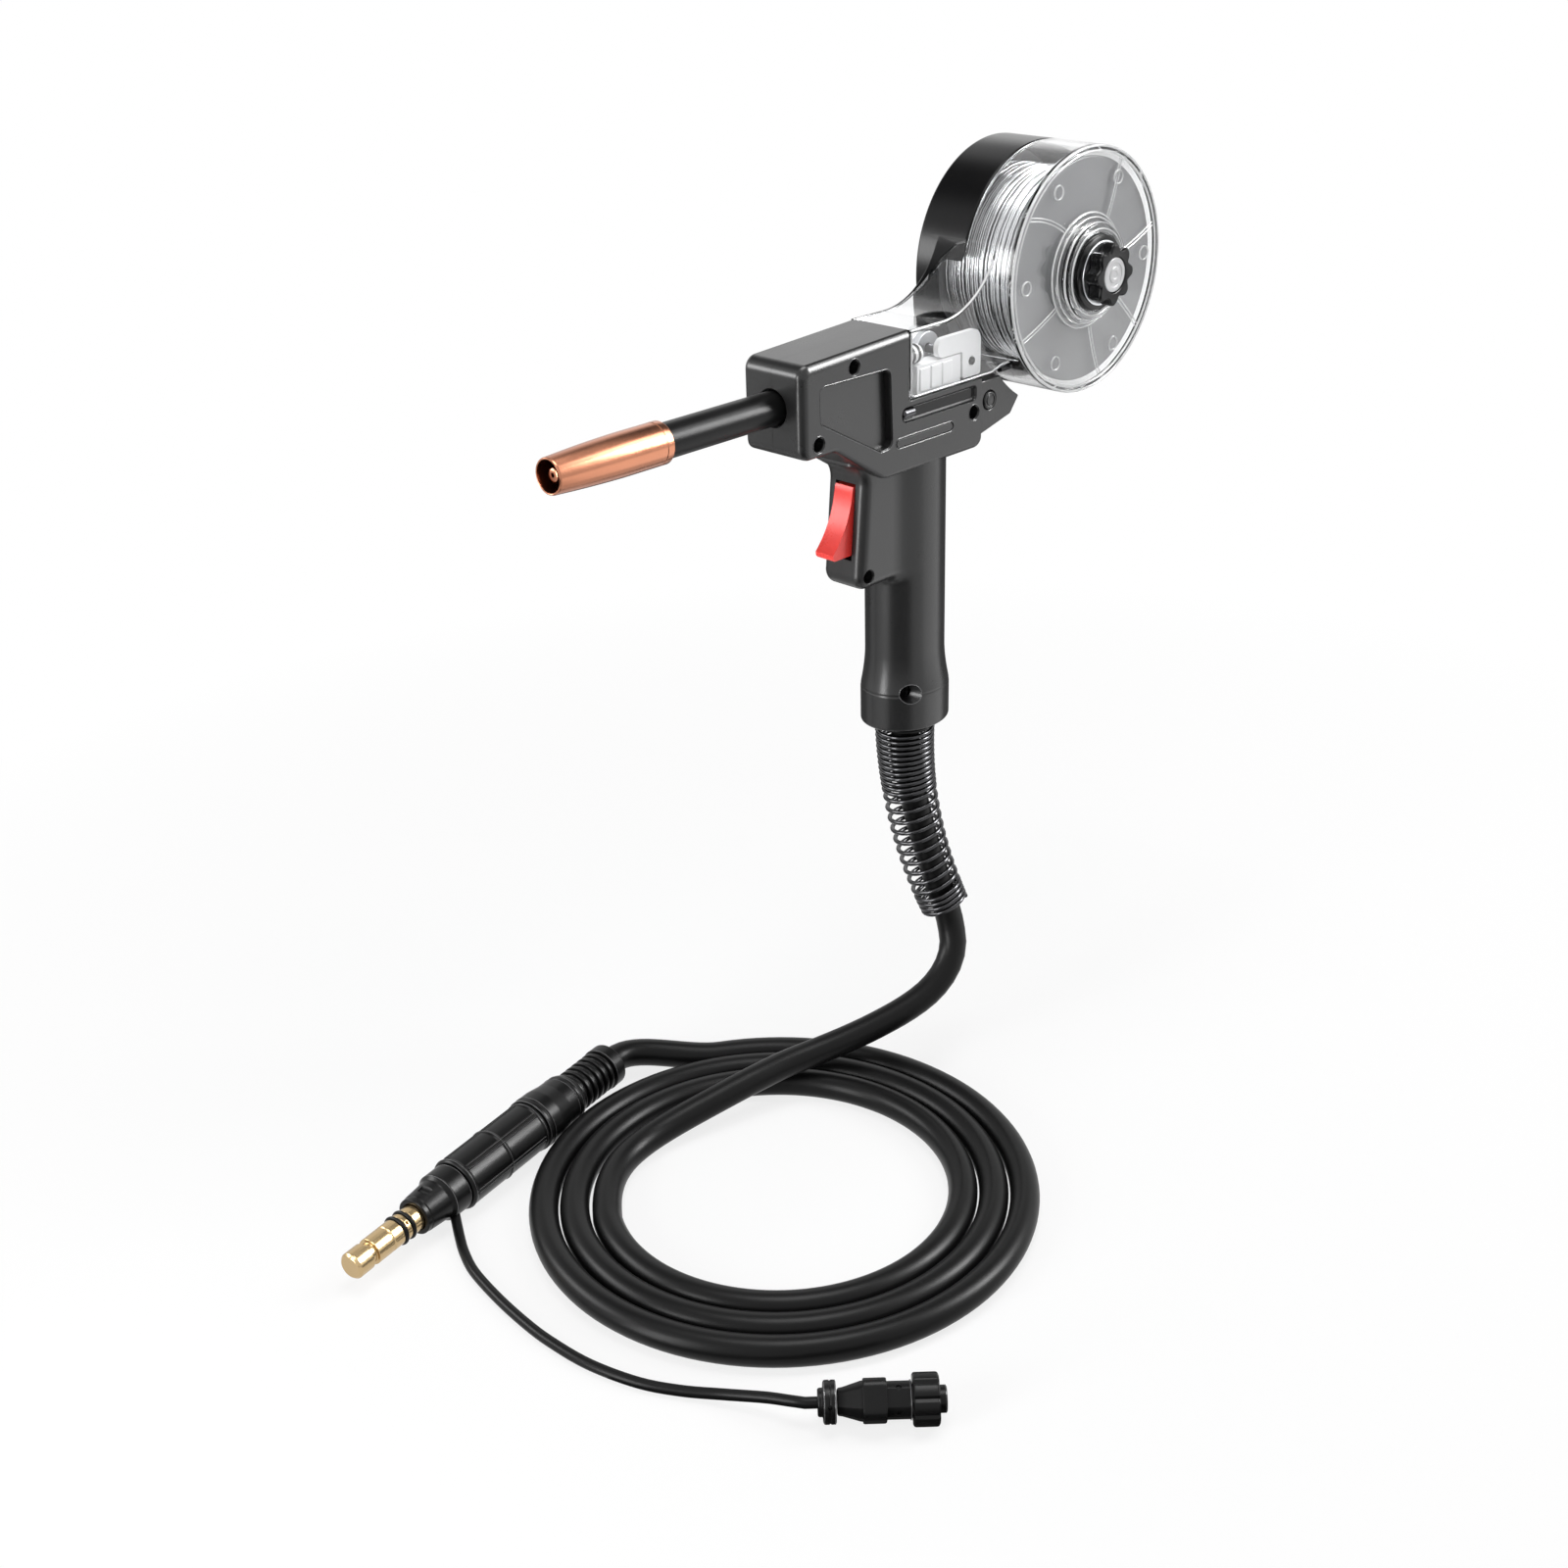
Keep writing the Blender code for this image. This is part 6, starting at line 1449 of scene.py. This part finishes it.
class TORCH_OT_barrel(TorchStep, bpy.types.Operator):
    """Build the barrel's sleeve, the copper nozzle and the contact tip"""

    bl_idname = "torch.barrel"
    bl_label = "Barrel"

    def make(self, colours, sizes):
        sleeve = [(0.0765, 0.0059), (0.0765, 0.00745), (0.1487, 0.00745), (0.1487, 0.0059)]
        sleeve = [*soften([*sleeve, sleeve[0]], 0.0004)]
        self.turn("barrel_tube", sleeve[:-1], "barrel", "black_case", "barrel_sleeve")
        mouth, end = 0.0075, 0.208
        step = end - 0.036
        nozzle = [
            (step, 0.0064), (end - 0.001, 0.0064), (end - 0.0002, 0.0067), (end, 0.0070),
            (end - 0.0003, 0.0074),
            (end - 0.001, mouth + 0.0001),
        ]
        for share in (0.25, 0.5, 0.75, 1.0):
            bulge = 0.00022 * math.sin(math.pi * share)
            nozzle.append(
                (end - 0.001 - 0.035 * share, mouth + 0.0001 + (0.009 - mouth - 0.0001) * share + bulge)
            )
        nozzle += [
            (0.1535, 0.009), (0.1533, 0.0088), (0.1529, 0.0088), (0.1527, 0.009), (0.1496, 0.009),
            (0.149, 0.0086), (0.149, 0.0079), (step - 0.004, 0.0079),
        ]
        self.turn("copper_nozzle", nozzle, "copper", "copper", "nozzle", 96)
        tip_end, tip_rear = end - 0.0025, end - 0.035
        tip = [
            (tip_rear, 0.0008), (tip_rear, 0.0024), (tip_rear + 0.0083, 0.0024), (tip_rear + 0.0083, 0.003),
            (tip_end - 0.0012, 0.003), (tip_end - 0.0003, 0.0027), (tip_end, 0.0022), (tip_end, 0.0010),
            (tip_end - 0.0004, 0.0008),
        ]
        self.turn("wire_tip", tip, "copper", "copper", "contact_tip", 48)

    def turn(self, name, profile, finish, slot, node, steps=72):
        piece = turned(name, profile, BARREL_LINE, AHEAD, steps, True)
        return show(piece, "torch_body", finish, slot, node)


class TORCH_OT_trigger(TorchStep, bpy.types.Operator):
    """Build the red trigger with its scooped front"""

    bl_idname = "torch.trigger"
    bl_label = "Trigger"

    def make(self, colours, sizes):
        top, toe = Vector((-0.0412, 0.0740)), Vector((-0.0545, 0.0468))
        chord = toe - top
        inward = Vector((-chord.y, chord.x)).normalized()
        front = []
        for step in range(17):
            t = step / 16
            front.append(tuple(top + chord * t + inward * (4 * 0.0026 * t * (1 - t))))
        rear, low, high = top.x + 0.0072, toe.y - 0.0028, top.y + 0.0012
        outline = [
            (top.x + 0.0006, high), *front, (toe.x + 0.0002, low + 0.0011), (toe.x + 0.0012, low),
            (rear - 0.006, low),
            (rear - 0.0025, low + 0.003), (rear - 0.0012, 0.056), (rear, 0.0702), (rear, high),
        ]
        blade = prism("trigger_blade", outline, -0.0053, 0.0053)
        blade = cut(blade, rod("pivot", -0.02, 0.02, 0.0015, (-0.0375, 0.0, 0.0722), NEAR, 32))
        blade = bevelled(blade, 0.0014, 5, 50.0)
        show(blade, "trigger_lever", "trigger", "red_trigger", "trigger")


def neck_corner():
    """The centre of the fillet between the neck's top line and the drum."""
    rise = NECK_TOP + NECK_FILLET - DRUM_AXIS[2]
    return DRUM_AXIS[0] - math.sqrt((DRUM_RADIUS + NECK_FILLET) ** 2 - rise ** 2), NECK_TOP + NECK_FILLET


def fillet_arc(radius, steps=24):
    x, z = neck_corner()
    first, last = -math.pi / 2, math.atan2(DRUM_AXIS[2] - z, DRUM_AXIS[0] - x)
    turns = (last + (first - last) * step / steps for step in range(steps + 1))
    return [(x + radius * math.cos(turn), z + radius * math.sin(turn)) for turn in turns]


def neck_outline():
    inside = DRUM_AXIS[0] - DRUM_BORE * 0.75
    return [
        (NECK_FRONT, NECK_BOTTOM), (0.040, NECK_BOTTOM), (inside, NECK_BOTTOM + 0.0025),
        (inside, DRUM_AXIS[2]),
        *fillet_arc(NECK_FILLET), (NECK_FRONT, NECK_TOP),
    ]


def neck_passage():
    front, inside = NECK_FRONT - 0.0103, DRUM_AXIS[0] - DRUM_BORE * 0.65
    return [
        (front, 0.0992), (0.040, 0.1072), (inside, 0.1117), (inside, DRUM_AXIS[2] + 0.015),
        *fillet_arc(NECK_FILLET + NECK_WALL), (front, NECK_TOP - NECK_WALL),
    ]


class TORCH_OT_cover(TorchStep, bpy.types.Operator):
    """Build the clear cover of the drum with its neck, window, boss, pads and ridges"""

    bl_idname = "torch.cover"
    bl_label = "Clear cover"

    def make(self, colours, sizes):
        seam = GAP / 2
        cup = [
            (BOSS_TOP, BOSS_BORE), (BOSS_TOP, BOSS_RADIUS), (0.0322, BOSS_RADIUS),
            (0.0320, BOSS_RADIUS - 0.0006),
            (0.0312, BOSS_RADIUS - 0.0006), (0.0310, BOSS_RADIUS), (0.0298, BOSS_RADIUS), (0.0296, 0.0240),
            (0.0284, 0.0240), (0.0282, 0.0258), (FACE, 0.0262), (FACE, DRUM_RADIUS - 0.003),
            (DRUM_NEAR, DRUM_RADIUS - 0.003), (DRUM_NEAR, DRUM_RADIUS), (seam, DRUM_RADIUS),
            (seam, DRUM_BORE),
            (FACE_INSIDE, DRUM_BORE), (FACE_INSIDE, BOSS_BORE),
        ]
        closed = soft_ring(cup, 0.0007)
        cup = turned("cup", closed, DRUM_AXIS, NEAR, 144, True)
        neck = prism("clear_cover", neck_outline(), -(HALF_WIDTH - NECK_WALL - GAP), HALF_WIDTH)
        neck = bevel_rim(neck, -HALF_WIDTH, 0.0012, 4)
        far = [(x - GAP, y - GAP) for x, y in SEAM]
        far_part = prism(
            "far_part", [*far, (0.026, 0.06), (0.2, 0.06), (0.2, far[0][1])], 0.05, 0.3, along=UP
        )
        cover = cut(neck, rod("core", -0.06, 0.06, DRUM_RADIUS - 0.00125, DRUM_AXIS, NEAR, 144), far_part)
        cover = join(cover, cup)
        cover = cut(cover, prism("passage", neck_passage(), -0.05, HALF_WIDTH - NECK_WALL))
        show(cover, "cover", "clear", "clear_case", "spool_cover", angle=30.0)
        self.add_pads(sizes)
        self.add_ridges()
        self.add_edges()

    def add_pads(self, sizes):
        profile = [(-0.0002, 0.0028), (-0.0002, 0.0035), (0.0004, 0.0034), (0.0007, 0.0031), (0.0004, 0.0028)]
        # The pads' pale, partly see-through finish paints the highlight on their rims.
        pad = turned("pad", profile, steps=32, hollow=True)
        pads = round_copies(
            "cover_pads", pad, sizes.pads, 0.0445, "pad", (DRUM_AXIS[0], -FACE, DRUM_AXIS[2]), NEAR,
            math.radians(1.0)
        )
        show(pads, "cover", "pad", "clear_case")

    def add_ridges(self):
        """Fine double ridges from the boss to the rim, which bend towards their ends, in a pale finish that
        paints their highlight.
        """
        lines = []
        for degrees, bend in (
            (60.0, 8.0), (12.0, 6.0), (-36.0, -5.0), (-79.0, 6.0), (-150.0, -4.0), (138.0, 16.0)
        ):
            for side in (-0.0008, 0.0008):
                points = []
                for step in range(13):
                    reach = 0.0262 + (0.0522 - 0.0262) * step / 12
                    turn = math.radians(degrees + bend * (step / 12 - 0.5)) + side / reach
                    x, z = reach * math.cos(turn), reach * math.sin(turn)
                    points.append((DRUM_AXIS[0] + x, -FACE, DRUM_AXIS[2] + z))
                lines.append(wire("ridge", points, 0.00036, 8, "pad"))
        show(gathered("cover_ridges", lines), "cover", "pad", "clear_case")

    def add_edges(self):
        """Painted highlights along the edges of the cover: its rim, the steps of its boss, its seam and its
        neck's outline.
        """
        lines = [
            self.round_edge(0.0553, DRUM_NEAR - 0.0004, 0.0006),
            self.round_edge(0.0531, DRUM_NEAR - 0.0004, 0.0006),
            self.round_edge(0.0260, FACE, 0.0005), self.round_edge(0.0240, 0.0293, 0.0004),
            self.round_edge(0.0220, 0.0320, 0.0004), self.round_edge(0.0195, BOSS_TOP, 0.0004),
        ]
        side = -HALF_WIDTH + 0.0004
        top = [(x, side, z - 0.0004) for x, z in reversed(fillet_arc(NECK_FILLET)[3:])]
        top = [(NECK_FRONT + 0.0006, side, NECK_TOP - 0.0004), *top]
        frame = [
            (NECK_FRONT + 0.0012, side, NECK_TOP - 0.002), (NECK_FRONT + 0.0012, side, NECK_BOTTOM + 0.002),
            (NECK_FRONT + 0.0032, side, NECK_BOTTOM + 0.0007), (0.040, side, NECK_BOTTOM + 0.0007),
            (0.0462, side, NECK_BOTTOM + 0.0027), (0.0530, side, NECK_BOTTOM + 0.0032),
        ]
        lines += [wire("edge", line, 0.0005, 8, "pad") for line in (top, frame)]
        show(gathered("cover_edges", lines), "cover", "pad", "clear_case")

    def round_edge(self, radius, across, thick):
        turns = [2 * math.pi * step / 96 for step in range(97)]
        points = [
            (DRUM_AXIS[0] + radius * math.cos(turn), -across, DRUM_AXIS[2] + radius * math.sin(turn))
            for turn in turns
        ]
        return wire("edge", points, thick, 8, "pad")


class TORCH_OT_drum_back(TorchStep, bpy.types.Operator):
    """Build the polished black far half of the drum with the far wall of the neck"""

    bl_idname = "torch.drum_back"
    bl_label = "Drum back"

    def make(self, colours, sizes):
        seam, inside, wall = GAP / 2, DRUM_FAR - 0.0025, HALF_WIDTH - NECK_WALL
        profile = [
            (DRUM_FAR, 0.0), (DRUM_FAR, 0.0180), (DRUM_FAR - 0.0006, 0.0184), (DRUM_FAR - 0.0006, 0.0196),
            (DRUM_FAR, 0.0200), (DRUM_FAR, DRUM_RADIUS), (seam, DRUM_RADIUS), (seam, DRUM_BORE),
            (inside, DRUM_BORE),
            (inside, 0.0),
        ]
        cup = turned("cup", soften(profile, 0.0016, 5), DRUM_AXIS, AWAY, 144)
        neck = prism("drum_back", neck_outline(), -HALF_WIDTH, -seam)
        neck = bevel_rim(neck, HALF_WIDTH, 0.0012, 4)
        near = [(-0.03, -0.01), (SEAM[0][0], -0.01), *SEAM, (-0.03, wall)]
        near_part = prism("near_part", near, 0.05, 0.3, along=UP)
        back = cut(neck, rod("core", -0.06, 0.06, DRUM_RADIUS - 0.00125, DRUM_AXIS, NEAR, 144), near_part)
        back = join(back, cup)
        back = cut(back, prism("passage", neck_passage(), -wall, 0.05))
        front = add_object("neck_far_wall", back.data.copy())
        low, high = (-0.1, -0.1, 0.0), (0.025, 0.1, 0.3)
        front = combine(front, "INTERSECT", [box("front_part", low, high)])
        show(front, "torch_body", "clear", "clear_case", angle=30.0)
        back = cut(back, box("front_part", low, high))
        show(back, "torch_body", "gloss", "black_case", "spool_housing", angle=30.0)


class TORCH_OT_reel(TorchStep, bpy.types.Operator):
    """Build the reel, the layers of wire wound on it and the wire that runs to the rolls"""

    bl_idname = "torch.reel"
    bl_label = "Wire reel"

    def make(self, colours, sizes):
        low, high = REEL_FAR + REEL_FLANGE, REEL_NEAR - REEL_FLANGE
        profile = [
            (REEL_NEAR, 0.0083), (REEL_NEAR, 0.0150), (REEL_NEAR - 0.0006, 0.0156),
            (REEL_NEAR - 0.0006, 0.0232),
            (REEL_NEAR, 0.0238), (REEL_NEAR, 0.0508), (high, 0.0508), (high, REEL_HUB),
            (low, REEL_HUB), (low, 0.050), (REEL_FAR, 0.050), (REEL_FAR, 0.0083),
        ]
        reel = turned("wire_reel", soft_ring(profile, 0.0007), DRUM_AXIS, NEAR, 128, True)
        show(reel, "wire_spool", "reel", "grey_spool", "spool")
        self.add_windings(sizes, low, high)
        self.add_feed_wire()

    def add_windings(self, sizes, low, high):
        """Two layers that run to and fro, each loop a little out of line."""
        margin, per_loop = sizes.strand + 0.0002, 36
        points = []
        for layer, reach in enumerate((0.0428, 0.0441)):
            total = sizes.loops * per_loop
            for step in range(total + 1):
                turn = 2 * math.pi * step / per_loop
                share = step / total
                share += 0.011 * math.sin(turn * 0.37 + layer) + 0.007 * math.sin(turn * 1.13 + 2.0 * layer)
                share = min(max(share if layer % 2 == 0 else 1.0 - share, 0.0), 1.0)
                wave = 0.00016 * math.sin(turn * 2.71 + layer) if layer == 1 else 0.0
                across = low + margin + (high - low - 2 * margin) * share
                x, z = (reach + wave) * math.cos(turn), (reach + wave) * math.sin(turn)
                points.append(Vector((DRUM_AXIS[0] + x, -across, DRUM_AXIS[2] + z)))
        winding = wire("wound_wire", points, sizes.strand, 6, "wire")
        show(winding, "wire_spool", "wire", "wire", "wire_winding", angle=70.0)

    def add_feed_wire(self):
        start = ARM_PIVOT[0] + 0.0095
        gap = Vector((DRUM_AXIS[0] - start, DRUM_AXIS[2] - BARREL_LINE[2]))
        reach = 0.0458
        slope = math.atan2(gap.y, gap.x) - math.asin(reach / gap.length)
        run = math.sqrt(gap.length ** 2 - reach ** 2)
        end = (start + run * math.cos(slope), 0.0, BARREL_LINE[2] + run * math.sin(slope))
        way = [(-0.2015, 0.0, 0.1195), (-0.1, 0.0, 0.1195), (0.02, 0.0, 0.1195), (start - 0.004, 0.0, 0.1195)]
        bend = [(start + 0.003, 0.0, 0.1195 + 0.004 * math.tan(slope) * 0.4)]
        feed = wire("fed_wire", [*way, *bend, end], 0.00045, 10, "wire")
        show(feed, "torch_body", "wire", "steel", "feed_wire", angle=70.0)


class TORCH_OT_knob(TorchStep, bpy.types.Operator):
    """Build the cover's knob with its collar, washer, pale disc and brake spring"""

    bl_idname = "torch.knob"
    bl_label = "Cover knob"

    def make(self, colours, sizes):
        self.add_collar()
        self.add_grip(sizes)
        self.add_disc()
        self.add_brake_spring()

    def add_collar(self):
        low, bore, radius = 0.0255, 0.0110, 0.0172
        profile = [
            (low, bore), (low, radius), (0.0342, radius), (0.0344, radius - 0.0007),
            (0.0348, radius - 0.0007),
            (0.0350, radius - 0.0001), (0.0356, radius - 0.0003), (0.0360, 0.0152), (0.0360, bore),
        ]
        collar = turned("knob_neck", soft_ring(profile, 0.0005), DRUM_AXIS, NEAR, 96, True)
        show(collar, "knob_turner", "gloss", "black_case", "knob_collar")
        washer = [(0.0361, bore), (0.0361, 0.0147), (0.0369, 0.0147), (0.0369, bore)]
        ring = turned("knob_washer", soft_ring(washer, 0.0003), DRUM_AXIS, NEAR, 96, True)
        show(ring, "knob_turner", "steel", "steel")

    def add_grip(self, sizes):
        lobes, points = sizes.knob_lobes, 16

        def grip(less, distance):
            return level(lobed(0.01425 - less, lobes, 0.0029, 0.0, points, 1.2), distance)

        def bore(radius, distance):
            return level(round_outline(radius, lobes * points), distance)

        rings = [
            bore(0.0039, 0.0404), bore(0.0039, KNOB_BACK), grip(0.0009, KNOB_BACK), grip(0.0003, 0.0374),
            grip(0.0, 0.0380), grip(0.0, 0.0428), grip(0.0003, 0.0435), grip(0.0010, KNOB_FRONT),
            bore(0.0090, KNOB_FRONT), bore(0.0083, 0.0437), bore(0.0081, 0.0432), bore(0.0081, 0.0426),
        ]
        knob = loft("knob_grip", rings, DRUM_AXIS, NEAR)
        show(knob, "knob_turner", "gloss", "black_case", "knob")

    def add_disc(self):
        profile = [
            (0.0429, 0.0), (0.0429, 0.0078), (0.0434, 0.0078), (0.0437, 0.0074), (0.0437, 0.0056),
            (0.0433, 0.0053),
            (0.0433, 0.0038), (0.0437, 0.0035), (0.0439, 0.0020), (0.0436, 0.0015), (0.0436, 0.0),
        ]
        disc = turned("knob_face", soften(profile, 0.0002), DRUM_AXIS, NEAR, 72)
        show(disc, "knob_turner", "pale", "steel", "knob_disc")

    def add_brake_spring(self):
        low, high, curls = 0.0247 + 0.0009, 0.0362, 3
        points = []
        for step in range(curls * 24 + 1):
            turn = 2 * math.pi * step / 24
            across = low + (high - low) * step / (curls * 24)
            x, z = 0.0065 * math.cos(turn), 0.0065 * math.sin(turn)
            points.append((DRUM_AXIS[0] + x, -across, DRUM_AXIS[2] + z))
        spring = wire("brake_coil", points, 0.0006, 10, "steel")
        show(spring, "torch_body", "steel", "steel", "brake_spring", angle=70.0)


def copy_of(node, name, width, segments=3):
    """A copy of a solid with its flat faces whole and its edges rounded."""
    work = bmesh.new()
    work.from_mesh(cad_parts[node].data)
    bmesh.ops.remove_doubles(work, verts=work.verts, dist=0.00001)
    bmesh.ops.dissolve_limit(work, angle_limit=math.radians(0.5), verts=work.verts, edges=work.edges)
    return bevelled(as_object(name, work), width, segments)


class TORCH_OT_wire_drive(TorchStep, bpy.types.Operator):
    """Build the white frame, pressure arm, rolls and small fittings that show in the window"""

    bl_idname = "torch.wire_drive"
    bl_label = "Wire drive"

    def make(self, colours, sizes):
        show(
            copy_of("drive_frame", "feed_frame", 0.0005), "torch_body", "nylon", "white_plastic",
            "drive_frame"
        )
        show(
            copy_of("pressure_arm", "feed_arm", 0.0005), "pressure_lever", "nylon", "white_plastic",
            "pressure_arm"
        )
        self.add_flutes()
        self.add_roll("feed_roll", 0.0125, 0.0032, 0.10685, "drive_rotor", "drive_roll")
        self.add_roll("press_roll", 0.0075, 0.0024, 0.12715, "pressure_wheel", "pressure_roll")
        self.add_tension_screw()
        peg = [(-0.0555, 0.0), (-0.0555, 0.0009), (-0.0550, 0.0014), (-0.0470, 0.0014), (-0.0470, 0.0)]
        show(turned("rail_peg", peg, (0.0, -0.0160, 0.1118), AHEAD, 32), "torch_body", "gloss", "black_case")

    def add_flutes(self):
        """Upright ribs on the cheek of the frame."""
        places = bpy.data.meshes.new("flute_places")
        places.from_pydata([(-0.0046 + 0.0076 * step, -ARM_NEAR, 0.1178) for step in range(3)], [], [])
        flutes = add_object("cheek_flutes", places)
        rib = bevelled(box("rib", (-0.0034, -0.0006, -0.0052), (0.0034, 0.0004, 0.0052)), 0.0005)
        TREES["places"].grow(flutes, Shape=rib, Material=FINISHES["nylon"])
        remove(rib)
        show(flutes, "torch_body", "nylon", "white_plastic")

    def add_roll(self, name, radius, bore, z, body, node):
        profile = [
            (-0.004, bore), (-0.004, radius), (-0.0012, radius), (0.0, radius - 0.0006), (0.0012, radius),
            (0.004, radius),
            (0.004, bore),
        ]
        closed = soft_ring(profile, 0.0003)
        show(turned(name, closed, (ROLL_X, 0.0, z), NEAR, 64, True), body, "steel", "steel", node)

    def add_tension_screw(self):
        """The small screw beside the arm, with two dark bands."""
        at = (0.0, -0.0096, 0.1288)
        profile = [(0.0042, 0.0), (0.0042, 0.0040), (0.0126, 0.0040), (0.0126, 0.0)]
        show(
            turned("tension_sleeve", soften(profile, 0.0006), at, AHEAD, 48), "torch_body", "nylon",
            "white_plastic"
        )
        for index, place in enumerate((0.0062, 0.0098), 1):
            band = [(place, 0.0036), (place, 0.0044), (place + 0.0012, 0.0044), (place + 0.0012, 0.0036)]
            ring = turned(f"tension_band_{index}", band, at, AHEAD, 48, True)
            show(ring, "torch_body", "gloss", "black_case")


class TORCH_OT_strain_relief(TorchStep, bpy.types.Operator):
    """Build the gland under the grip and the long spring round the lead"""

    bl_idname = "torch.strain_relief"
    bl_label = "Strain relief"

    def make(self, colours, sizes):
        seat, bottom, bore = -0.0462, -0.0535, 0.0071
        profile = [
            (-0.0392, bore), (-0.0392, 0.0152), (seat, 0.0152), (seat, 0.0138), (-0.0512, 0.0138),
            (-0.0514, 0.0134),
            (-0.0520, 0.0134), (-0.0522, 0.0138), (bottom, 0.0136), (bottom, bore),
        ]
        gland = turned("lead_gland", soft_ring(profile, 0.0005), steps=72, hollow=True)
        show(gland, "torch_body", "connector", "black_rubber", "cable_gland")
        spring = wire("relief_spring", self.spring_line(sizes), sizes.spring_wire, 12, "spring")
        show(spring, "torch_body", "spring", "black_steel", "strain_spring", angle=70.0)

    def spring_line(self, sizes):
        """Close curls, open curls and close curls again, on an axis that leans over."""
        bend, per_turn = 0.257, 28
        pitches = [pitch for count, pitch in SPRING_TURNS for _ in range(count)]
        side = LEAN.cross(Vector(UP))
        total = len(pitches) * per_turn
        distance, points = sizes.spring_wire + GAP, []
        for step in range(total + 1):
            turn = distance / bend
            across = LEAN * math.cos(turn) + Vector(UP) * math.sin(turn)
            spring_top = Vector((0, 0, -0.0535))
            middle = spring_top + LEAN * bend * (1 - math.cos(turn)) - Vector(UP) * bend * math.sin(turn)
            radius = 0.0133 + (0.0112 - 0.0133) * step / total
            curl = 2 * math.pi * step / per_turn
            points.append(middle + across * (radius * math.cos(curl)) + side * (radius * math.sin(curl)))
            distance += pitches[min(step, total - 1) // per_turn] / per_turn
        return points


class TORCH_OT_inner_parts(TorchStep, bpy.types.Operator):
    """Give the solids that stay as they are their finishes"""

    bl_idname = "torch.inner_parts"
    bl_label = "Inner parts"

    def make(self, colours, sizes):
        kept = {
            "fibre": ("nozzle_insulator",),
            "brass": ("gas_diffuser", "barrel_conductor", "barrel_block", "outlet_guide", "inlet_guide"),
            "steel": (
                "spindle", "brake_washer", "drive_shaft", "gear_motor", "trigger_pin",
            ),
            "case": ("gearbox", "micro_switch"),
            "trigger": ("switch_button",),
            # The wound wire's core and the roll pin take the dark spring finish as painted shade: the core
            # paints the shade in the gaps between the strands above it, and the roll pin paints the dark of
            # the arm's hole.
            "spring": ("wire_core", "roll_pin"),
            "gloss": ("arm_pin",),
        }
        for finish, nodes in kept.items():
            for node in nodes:
                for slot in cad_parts[node].material_slots:
                    slot.material = FINISHES[finish]


STEPS = (
    TORCH_OT_finishes, TORCH_OT_stage, TORCH_OT_connector, TORCH_OT_plug, TORCH_OT_power_lead,
    TORCH_OT_control_lead, TORCH_OT_case, TORCH_OT_case_screws, TORCH_OT_tail, TORCH_OT_barrel,
    TORCH_OT_trigger,
    TORCH_OT_cover, TORCH_OT_drum_back, TORCH_OT_reel, TORCH_OT_knob, TORCH_OT_wire_drive,
    TORCH_OT_strain_relief, TORCH_OT_inner_parts,
)


class TORCH_PT_panel(bpy.types.Panel):
    """The torch's sizes and colours, and the steps that build it"""

    bl_idname = "TORCH_PT_panel"
    bl_label = "Spool Gun Torch"
    bl_space_type = "VIEW_3D"
    bl_region_type = "UI"
    bl_category = "Torch"

    def draw(self, context):
        column = self.layout.column()
        for group in (context.scene.torch_colours, context.scene.torch_sizes):
            for name in group.__annotations__:
                column.prop(group, name)
        for step in STEPS:
            column.operator(step.bl_idname)


CLASSES = (TorchColours, TorchSizes, *STEPS, TORCH_PT_panel)


def register():
    for item in CLASSES:
        bpy.utils.register_class(item)
    bpy.types.Scene.torch_colours = PointerProperty(type=TorchColours)
    bpy.types.Scene.torch_sizes = PointerProperty(type=TorchSizes)


def unregister():
    del bpy.types.Scene.torch_colours
    del bpy.types.Scene.torch_sizes
    for item in reversed(CLASSES):
        bpy.utils.unregister_class(item)


def main():
    register()
    for step in STEPS:
        group, name = step.bl_idname.split(".")
        getattr(getattr(bpy.ops, group), name)()


if __name__ == "__main__":
    main()
